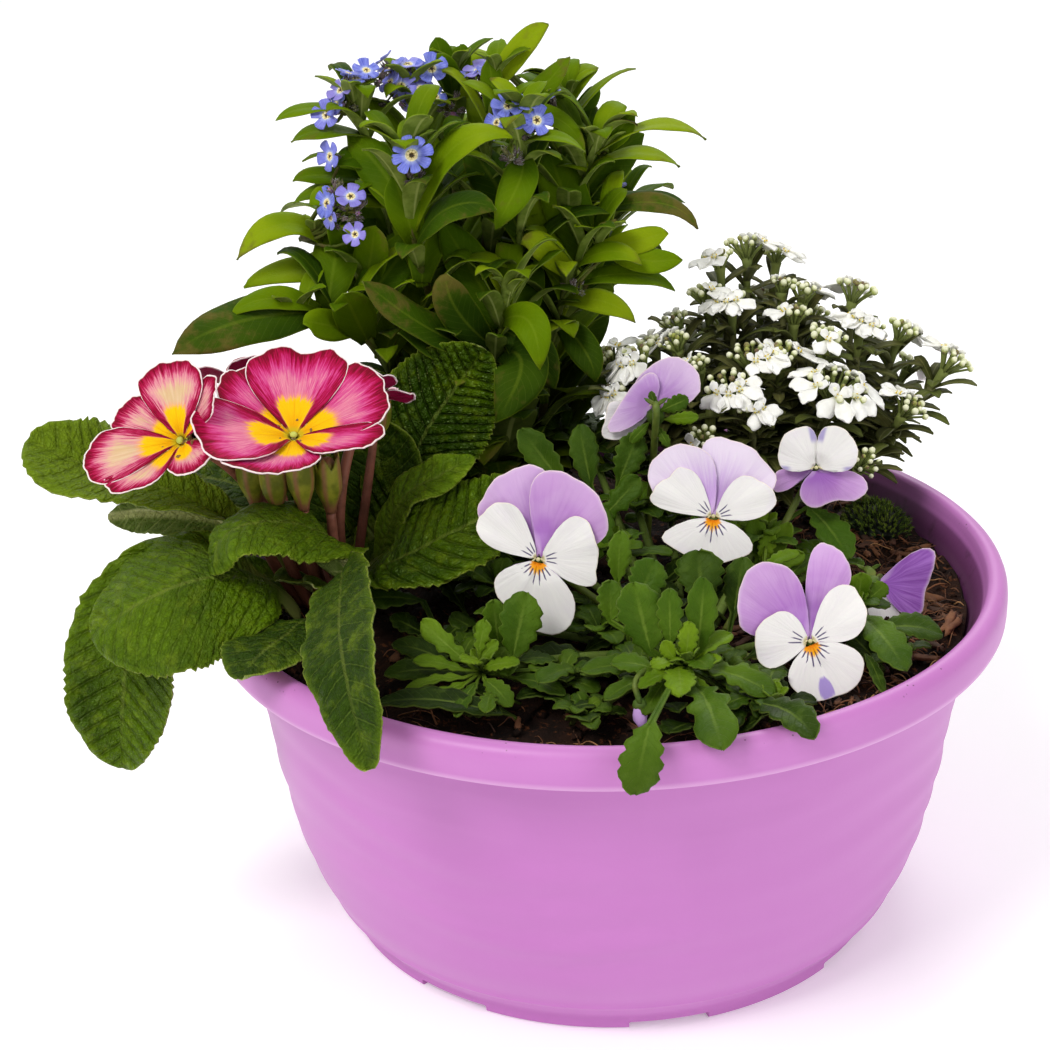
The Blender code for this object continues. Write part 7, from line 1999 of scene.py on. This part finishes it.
# further whorls of leaves: centre, length of the leaves, how many, turn, tone
VIOLA_WHORLS = (
    ((-13, -66, 99), 15, 9, 40, 0.1), ((-40, -4, 100), 15, 9, 10, 0.0), ((-31, -14, 102), 16, 9, 60, 0.1), ((10, 15, 114), 15, 9, 20, 0.0),
    ((-26, -36, 101), 15, 9, 80, 0.1), ((-2, -44, 103), 16, 9, 15, 0.05), ((8, -68, 102), 15, 8, 55, 0.1), ((52, -46, 101), 15, 8, 0, 0.05),
    ((34, 2, 108), 15, 9, 70, 0.1), ((-14, 6, 104), 15, 9, 25, 0.0), ((62, -4, 104), 15, 8, 50, 0.1), ((-40, -52, 99), 14, 8, 30, 0.0),
    ((30, -72, 102), 14, 8, 12, 0.1), ((40, -66, 98), 11, 7, 33, 0.0), ((-6, -84, 99), 12, 7, 5, 0.0), ((-22, 22, 104), 15, 8, 44, -0.05),
    ((20, 30, 104), 15, 8, 66, -0.05), ((78, -52, 99), 11, 6, 90, 0.0), ((44, 18, 102), 14, 8, 14, -0.05),
    ((-4, 48, 121), 17, 9, 20, -0.1), ((-12, 60, 120), 17, 9, 50, -0.1), ((8, 44, 114), 16, 9, 35, -0.1),
)


def viola_leaf(shape, line, wide, face, end_face, tone, seed, lobed=0, m=7, cup=0.10, start=0.0, teeth=1.0):
    """A spoon-shaped leaf along a line of points; start is where its widening begins, as a share of its length."""
    table = arr(LOBED if lobed else TOOTHED)
    ts = table[:, 0]
    if start > 0:
        ts = np.where(ts < 0.2, ts / 0.2 * start, start + (ts - 0.2) / 0.8 * (1 - start))
    step = np.concatenate([[0], np.cumsum(np.linalg.norm(np.diff(line, axis=0), axis=1))])
    long = step[-1]
    line = np.stack([np.interp(ts * long, step, line[:, k]) for k in range(3)], axis=1)
    t, s, u = frame_along(line, face, end_face)
    x = np.linspace(-1, 1, m)
    x = np.sign(x) * np.abs(x) ** 0.85
    X_, T_ = np.meshgrid(x, ts)
    shift = 0.014 * math.sin(seed * 2.7)
    wl, wr = (np.interp(np.clip(table[:, 0] + q, 0, 1), table[:, 0], table[:, 1]) for q in (shift, -shift))
    W = wide * 0.5 * np.where(X_ < 0, wl[:, None], wr[:, None])
    lat = X_ * W
    wave = np.sin(T_ * 7 + seed + X_) * np.abs(X_) ** 2
    up_ = cup * W * np.sqrt(X_ ** 2 + 0.02) * 2.3 - 0.16 * W * X_ ** 2 + 0.080 * wide * wave * np.clip(T_ * 3 - 0.6, 0, 1)
    up_ = up_ - 0.06 * wide * np.exp(-(X_ / 0.20) ** 2) * np.clip(T_ * 3 - 0.4, 0, 1)
    grid = line[:, None, :] + s[:, None, :] * lat[:, :, None] + u[:, None, :] * up_[:, :, None]
    th = 0.42 + 0.6 * np.exp(-(lat / 0.8) ** 2) * (1 - T_)
    lf = np.stack([X_, T_, (1 - np.abs(X_)) * W], axis=-1)
    tn = np.broadcast_to(arr((tone, (seed * 0.3183) % 1.0, long)), lf.shape)
    sheet(shape, grid, th, lf=lf, tn=tn)


def viola_leaf_material():
    g = Graph("viola_leaf_green")
    x, t, edge = g.attr("lf")
    tone, rnd, long = g.attr("tn")
    side = g.attr("side")[0]
    p = g.place()
    big = g.noise(p, 70.0, 2.0, 0.5)
    mid = g.noise(p, 330.0, 3.0, 0.6)
    fine = g.noise(p, 1500.0, 2.0, 0.6)
    dark = g.mix(g.ease(big, 0.3, 0.7), srgb(20, 38, 2), srgb(40, 62, 8))
    green = g.mix(g.ease(big + (rnd - 0.5) * 0.3, 0.3, 0.7), srgb(50, 78, 6), srgb(74, 102, 16))
    fresh = g.mix(g.ease(big, 0.3, 0.7), srgb(84, 114, 6), srgb(108, 136, 20))
    col = g.mix(g.ease(tone, 0.0, 0.4), dark, green)
    col = g.mix(g.ease(tone, 0.5, 1.0), col, fresh)
    vein = g.ease(((t * long - x.abs() * 4.5) * 1.25 + mid * 0.8).sin().abs(), 0.14, 0.0)
    # shaded low in the clump and at the foot of each blade
    z = g.new("ShaderNodeSeparateXYZ")
    g.put(z.inputs[0], p)
    height = X(g, z.outputs[2])
    col = g.scale(col, g.ease(height, 0.099, 0.118, 0.60, 1.04) * g.ease(t, 0.10, 0.50, 0.70, 1.0))
    col = g.mix(vein * 0.20 * g.ease(edge, 0.1, 1.0), col, srgb(110, 134, 46))
    col = g.mix(g.ease(x.abs(), 0.13, 0.03) * g.ease(t, 1.0, 0.6) * 0.42, col, srgb(118, 140, 52))
    col = g.mix(g.ease(mid, 0.50, 0.75) * 0.30, col, srgb(84, 106, 34))
    col = g.mix(g.ease(edge, 0.35, 0.08) * 0.25, col, srgb(116, 134, 48))
    col = g.mix(g.ease(side, 0.6, 0.4) * 0.6, col, srgb(98, 116, 56))
    g.set("Base Color", col)
    g.set("Roughness", g.ease(mid, 0.3, 0.7, 0.46, 0.60))
    g.set("Specular IOR Level", 0.24)
    g.set("Specular Tint", (0.70, 0.90, 0.40))
    g.set("Subsurface Weight", 0.06)
    g.bsdf.inputs["Subsurface Radius"].default_value = (0.0010, 0.0014, 0.0004)
    g.bump(fine * 0.4 + mid * 0.9 - vein * 0.8, 0.5, 0.0006)
    return g.mat


def make_viola():
    rng = random.Random(12)
    petal = viola_petal_material()
    leaf_mat = viola_leaf_material()
    stem_mat = stalk_material("viola_stem_green", srgb(92, 104, 36), srgb(74, 100, 34), srgb(126, 134, 60), 0.5)
    for k, (name, c, face, foot, petals) in enumerate(VIOLA_FLOWERS):
        c, n, foot = arr(c), unit(arr(face)), arr(foot)
        right = -unit(np.cross(n, (0, 0, 1)))
        up = np.cross(n, right) * -1
        up = up if up[2] > 0 else -up
        s = Shape()
        fine = (21, 29) if k < 3 else (17, 25)
        deep = (1.0, 0.25, 1.05, 1.1, 0.62, 1.75)[k]
        for j, (kind, outline, lift, cup) in enumerate(petals):
            seed = 2.3 * j + 1.1 * k + 0.4
            top = max(o[1] for o in outline)
            outline_petal(s, c, right, up, n, outline, viola_rise(kind, lift, cup, seed, top), seed,
                          (kind, seed % 1.0, 1.0 if k == 2 else 0.0), deep * (0.75 if k == 0 and j == 0 else 1.0), fine[0], fine[1], 0.008, 0.32)
        piece(s, name + "_petals", petal, (name,))
        g = Shape()
        # throat and its green stigma, spur and sepals behind
        e = Shape()
        ball(e, c + n * 1.5 + up * 0.2, n, (0.60, 0.50), 4, 9, tn=(1.0, 0.3, 0), lf=(0, 0.9, 9.0), eye=(1.2, 90.0, 0), side=(1, 0, 0))
        for h in (-1, 1):
            for q in range(3):
                ball(e, c + n * (1.3 + 0.15 * q) + right * h * (0.8 + 0.30 * q) + up * (0.35 - 0.25 * q), n + right * h, (0.24, 0.34), 3, 6,
                     tn=(1.0, 0.3, 0), lf=(0, 0.2, 9.0), eye=(1.5, 90.0, 0), side=(1, 0, 0))
        piece(e, name + "_eye", petal)
        # the fifth flower is seen from behind its calyx
        m_ = -n if k == 4 else n
        back = c - m_ * 3.2 - up * (3.4 if k == 4 else 0.0)
        ball(g, back, m_, (2.2, 2.6), 7, 12, 0.0, 0.05, lf=(0, 0.9, 0))
        tube(g, catmull([back, back - m_ * 2.0 - up * 1.6, back - m_ * 3.6 - up * 2.6], np.linspace(0, 1, 6)), np.linspace(1.1, 0.8, 6), 8)
        for q in range(5):
            a = 2 * math.pi * q / 5 + 0.3
            d = right * math.cos(a) + up * math.sin(a)
            if k == 4:
                continue
            spread = 0.55
            line = arc(back + d * 1.2, back + d * 4.2 * spread - n * 0.4, back + d * 8.0 * spread - n * 1.6, np.linspace(0, 1, 7))
            soft_leaf(g, line, 2.8, n, n, 0.5, 3.0 * q, m=5, cup=0.2, wav=0.1, veins=0.0, thick=0.4)
        if k == 4:
            sepals = Shape()
            for (bx, by), (tx, ty), wide, tone in (((1.2, -1.8), (9.4, 1.6), 5.2, 0.30), ((2.2, -4.2), (12.2, -3.8), 4.0, 0.85), ((-1.8, -5.0), (-7.4, -10.6), 3.6, 0.55),
                                                   ((0.4, -6.0), (3.6, -12.0), 3.0, 0.25), ((0.2, -1.0), (-1.4, 3.8), 2.4, 0.10)):
                b0, b1 = c + right * bx + up * by + n * 3.4, c + right * tx + up * ty + n * 4.2
                viola_leaf(sepals, arc(b0, (b0 + b1) / 2 + n * 1.4, b1, np.linspace(0, 1, 17)), wide, n, n, tone, 3.0 * bx, m=5, start=0.08)
            ball(sepals, back, n, (2.7, 2.7), 7, 12, 0.0, 0.06, tn=(-0.3, 0.2, 9), lf=(0.5, 0.5, 3.0), side=(1, 0, 0))
            piece(sepals, name + "_sepals", leaf_mat)
        top = back - m_ * 1.2 + up * 1.2
        crook = top - m_ * 3.0 + arr((0, 0, 2.6))
        low = foot * 0.45 + crook * 0.55 + arr((0, 0, -4.0)) - m_ * (3.0 if k != 4 else -3.0)
        line = catmull([foot, low, crook - arr((0, 0, 5)) - m_ * 1.2, crook, top], np.linspace(0, 1, 26))
        tube(g, line, 1.05, 8)
        # two small bracts on the stalk
        for sgn in (-1, 1):
            b = line[17]
            d = arr((sgn * 0.8, -0.2, 0.6))
            soft_leaf(g, arc(b, b + d * 2.2, b + d * 4.0, np.linspace(0, 1, 6)), 1.1, arr((0, -1, 0.4)), arr((0, -1, 0.4)), 0.5, 1.0, m=5, veins=0.0, thick=0.35)
        piece(g, name + "_stalk", stem_mat)
    for k, (name, foot, top, long, count, turn) in enumerate(VIOLA_SHOOTS):
        foot, top = arr(foot), arr(top)
        ctrl = 2 * ((foot + top) / 2 + arr((0, 0, 1.5))) - (foot + top) / 2
        g = Shape()
        tube(g, arc(foot, ctrl, top, np.linspace(0, 1, 10)), np.linspace(1.6, 1.2, 10), 8, tn=(0.4, 0.3, 30))
        own = sum(1 for l in VIOLA_LEAVES if l[0] == k + 1)
        count = 5 if own > 15 else 9
        for i in range(count):
            if k == 5 and i in (2, 5, 7):
                continue    # these would hide the lip of the third flower
            a = math.radians(turn + i * 137.5)
            f = i / count
            rise = 0.16 + 0.75 * f
            reach = long * (0.95 - 0.55 * f) * (0.8 if own > 15 else 1.0)
            base = arc(foot, ctrl, top, [0.98 - 0.14 * (1 - f)])[0]
            d = arr((math.cos(a), math.sin(a), 0.0))
            tip = base + d * reach * (1 - 0.30 * rise) + arr((0, 0, reach * rise * 0.72 - 1.2))
            mid = base + d * reach * 0.5 + arr((0, 0, 2.2 + reach * rise * 0.5))
            viola_leaf(g, arc(base, mid, tip, np.linspace(0, 1, 19)), long * (0.46 - 0.12 * f), arr((0, 0, 1)) - d * 0.3, arr((0, 0, 1)) + d * 0.2,
                       0.30 + 0.6 * f, 1.9 * i + k, lobed=i % 2)
        # tight young leaves in the heart of the whorl
        for i in range(5):
            a = 1.257 * i + k
            d = arr((math.cos(a), math.sin(a), 0.0))
            line = arc(top, top + d * 1.6 + arr((0, 0, 3.5)), top + d * 3.4 + arr((0, 0, 5.5)), np.linspace(0, 1, 9))
            viola_leaf(g, line, 3.4, arr((0, 0, 1)) - d * 0.8, arr((0, 0, 1)), 1.0, 3.0 * i, m=5)
        for which, b, c, t, wide, tone, lobed in VIOLA_OVER_RIM:
            if which == k + 1:
                b, c, t = arr(b), arr(c), arr(t)
                line = np.concatenate([arc(top, (top + b) / 2 + arr((0, 0, 2.0)), b, np.linspace(0, 1, 12))[:-1], arc(b, c, t, np.linspace(0, 1, 30))])
                sl = np.concatenate([[0], np.cumsum(np.linalg.norm(np.diff(line, axis=0), axis=1))])
                viola_leaf(g, line, wide, arr((0, -4, 9)), arr((0, -5, 6)), tone, 7.0 * which + b[0], lobed, m=9, start=max(0.2, sl[11] / sl[-1] * (1.0 if which == 2 and b[0] < 15 else 0.9)))
        for i, (which, b, t, wide, tone, lobed) in enumerate(VIOLA_LEAVES):
            if which != k + 1:
                continue
            b, t = arr(b), arr(t)
            gap = float(np.linalg.norm(t - b))
            stands = t[2] - b[2] > 0.45 * gap
            root = top - arr((0, 0, 1.0)) if np.linalg.norm(b - top) < 26 else arr((b[0] * 0.75 + top[0] * 0.25, b[1] * 0.75 + top[1] * 0.25, 99.0))
            bend = (b + t) / 2 + (arr((0, -0.10, 0.02)) if stands else arr((0, 0, 0.16))) * gap
            lead = (root + b) / 2 + arr((0, 0, -0.5 if stands else 1.0))
            line = np.concatenate([arc(root, lead, b, np.linspace(0, 1, 12))[:-1], arc(b, bend, t, np.linspace(0, 1, 30))])
            sl = np.concatenate([[0], np.cumsum(np.linalg.norm(np.diff(line, axis=0), axis=1))])
            look = arr((0, -8, 5)) if stands else arr((0, -2, 9))
            viola_leaf(g, line, wide, look, look, tone, wide * 2.7 + t[0], lobed, start=max(0.12, sl[11] / sl[-1]), m=9 if wide > 10 else 7)
        piece(g, name + "_leaves", leaf_mat, (name,))
    for half_ in (0, 1):
        g = Shape()
        for k, (c, long, count, turn, shade) in enumerate(VIOLA_WHORLS):
            if k % 2 != half_:
                continue
            c = arr(c)
            foot = c * 0.45 + arr((22, -42, 96)) * 0.55
            foot[2] = 97.5
            tube(g, arc(foot, (foot + c) / 2 + arr((0, 0, 2)), c, np.linspace(0, 1, 7)), np.linspace(1.3, 1.1, 7), 6, tn=(0.4, 0.3, 30))
            for i in range(count + 2):
                a = math.radians(turn + i * 137.5)
                f = i / (count + 2)
                rise = 0.20 + 0.85 * f + 0.1 * rng.random()
                reach = long * (1.10 - 0.55 * f) * (0.85 + 0.3 * rng.random())
                d = arr((math.cos(a), math.sin(a), 0.0))
                tip = c + d * reach * (1 - 0.30 * rise) + arr((0, 0, reach * rise * 0.75 - 1.0))
                out_ = math.hypot(tip[0], tip[1])
                if out_ > 101 and tip[2] < 108:
                    tip[:2] *= 101 / out_
                mid = c + d * reach * 0.45 + arr((0, 0, 2.4 + reach * rise * 0.55))
                viola_leaf(g, arc(c, mid, tip, np.linspace(0, 1, 19)), long * (0.48 - 0.12 * f), arr((0, 0, 1)) - d * 0.3,
                           arr((0, 0, 1)) + d * 0.2, max(0.0, 0.14 + 0.6 * f * f + shade + 0.15 * rng.random()), 1.9 * i + k, lobed=i % 2, m=5)
        piece(g, "viola_whorls_%d" % (half_ + 1), leaf_mat)
    # leaves in the shade below, close over the soil
    g = Shape()
    for i in range(84):
        a, q = 2.39996 * i, math.sqrt((i + 0.5) / 84)
        x, y = 14 + 66 * q * math.cos(a), -34 + 60 * q * math.sin(a)
        if math.hypot(x, y) > 96 or math.hypot(x + 77, y + 10) < 24 or (x > 58 and y > -40) or (y < -86 and -10 < x < 12):
            continue
        turn = rng.random() * 6.28
        d = arr((math.cos(turn), math.sin(turn), 0.0))
        base = arr((x, y, ground(x, y) + 1.5))
        reach = 13 + 6 * rng.random()
        tip = base + d * reach * 0.85 + arr((0, 0, 2 + 6 * rng.random()))
        out_ = math.hypot(tip[0], tip[1])
        if out_ > 101:
            tip[:2] *= 101 / out_
        line = arc(base, base + d * reach * 0.4 + arr((0, 0, 4 + 4 * rng.random())), tip, np.linspace(0, 1, 19))
        if x > 44 and y < -58:
            rng.random(), rng.random(), rng.random()
            continue
        viola_leaf(g, line, 7 + 2.5 * rng.random(), arr((0, 0, 1)) - d * 0.3, arr((0, 0, 1)), 0.14 * rng.random(), rng.random() * 20, m=5)
    piece(g, "viola_low_leaves", leaf_mat)
    # a violet bud on a bent stalk
    b, s = Shape(), Shape()
    tip = arr((8, -91, 104))
    ball(b, tip, (0.1, -0.5, -0.8), (1.9, 3.6), 7, 10, 0.0, 0.12, tn=(0.0, 0.2, 0), lf=(0.2, 0.25, 3.0), eye=(8, 0, 0), side=(1, 0, 0))
    tube(s, catmull([(22, -54, 100), (12, -78, 111), (7, -88, 112), (8, -91, 107)], np.linspace(0, 1, 16)), 0.8, 8)
    ball(s, tip + arr((0, 0.9, 2.2)), (0, -0.4, -0.8), (2.0, 1.9), 5, 10, lf=(0, 0.8, 0))
    piece(b, "viola_bud", petal)
    piece(s, "viola_bud_stalk", stem_mat)


make_viola()

# ------------------------------------------------------------------ camera, light and floor
def studio():
    scene = bpy.context.scene
    cam = bpy.data.cameras.new("view")
    cam.lens, cam.sensor_width, cam.sensor_fit = 73.27, 36.0, "HORIZONTAL"
    cam.dof.use_dof = False
    cam.clip_start, cam.clip_end = 0.02, 50.0
    ob = bpy.data.objects.new("view", cam)
    right, up, back = (Vector(v) for v in ((0.99914895, 0.02758608, -0.03066581), (0.01705341, 0.40067064, 0.91606344),
                                           (0.03755749, -0.91580677, 0.39985921)))
    m = Matrix.Identity(4)
    for r in range(3):
        m[r][0], m[r][1], m[r][2] = right[r], up[r], back[r]
    m.translation = Vector((0.0, -0.56846, 0.36532))
    ob.matrix_world = m
    scene.collection.objects.link(ob)
    scene.camera = ob

    def lamp(name, at, aim, size, power, colour=(1, 1, 1)):
        data = bpy.data.lights.new(name, "AREA")
        data.shape, data.size, data.energy, data.color = "DISK", size, power, colour
        o = bpy.data.objects.new(name, data)
        o.location = at
        o.rotation_euler = (Vector(aim) - Vector(at)).to_track_quat("-Z", "Y").to_euler()
        scene.collection.objects.link(o)

    lamp("key", (-0.75, -0.85, 1.55), (0, 0, 0.12), 0.75, 19.0, (1.0, 0.99, 0.97))
    lamp("fill", (1.15, -0.90, 0.75), (0, 0, 0.10), 1.1, 5.0, (0.98, 0.99, 1.0))
    lamp("back", (0.15, 1.25, 1.25), (0, 0, 0.12), 0.9, 8.0, (1.0, 1.0, 1.0))
    world = bpy.data.worlds.new("studio")
    world.use_nodes = True
    nt = world.node_tree
    nt.nodes["Background"].inputs["Color"].default_value = (1.0, 1.0, 1.0, 1.0)
    nt.nodes["Background"].inputs["Strength"].default_value = 0.54
    scene.world = world
    scene.view_settings.view_transform = "Standard"
    scene.view_settings.look = "None"
    scene.view_settings.exposure = 0.0
    scene.view_settings.gamma = 1.0

    # one sheet of paper that sweeps up behind
    bm = bmesh.new()
    half = 2.2
    ys = [-2.0, 1.9] + [1.9 + 0.6 * math.sin(a) for a in np.linspace(0.15, math.pi / 2, 10)] + [2.5]
    zs = [0.0, 0.0] + [0.6 - 0.6 * math.cos(a) for a in np.linspace(0.15, math.pi / 2, 10)] + [3.0]
    rows = []
    for y, z in zip(ys, zs):
        rows.append([bm.verts.new((-half, y, z)), bm.verts.new((half, y, z))])
    for a, b in zip(rows, rows[1:]):
        bm.faces.new((a[0], a[1], b[1], b[0]))
    me = bpy.data.meshes.new("floor")
    bm.to_mesh(me)
    bm.free()
    for f in me.polygons:
        f.use_smooth = True
    floor = bpy.data.objects.new("floor", me)
    g = Graph("floor_paper")
    g.bsdf.inputs["Base Color"].default_value = (0.90, 0.90, 0.90, 1.0)
    g.bsdf.inputs["Emission Color"].default_value = (1.0, 1.0, 1.0, 1.0)
    g.bsdf.inputs["Emission Strength"].default_value = 0.22
    g.bsdf.inputs["Roughness"].default_value = 0.7
    me.materials.append(g.mat)
    scene.collection.objects.link(floor)


studio()
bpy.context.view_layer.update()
bpy.context.view_layer.update()
low, high = [1e9] * 3, [-1e9] * 3
for ob in PIECES:
    co = np.empty(len(ob.data.vertices) * 3)
    ob.data.vertices.foreach_get("co", co)
    co = co.reshape(-1, 3)
    low = [min(a, float(b)) for a, b in zip(low, co.min(axis=0))]
    high = [max(a, float(b)) for a, b in zip(high, co.max(axis=0))]
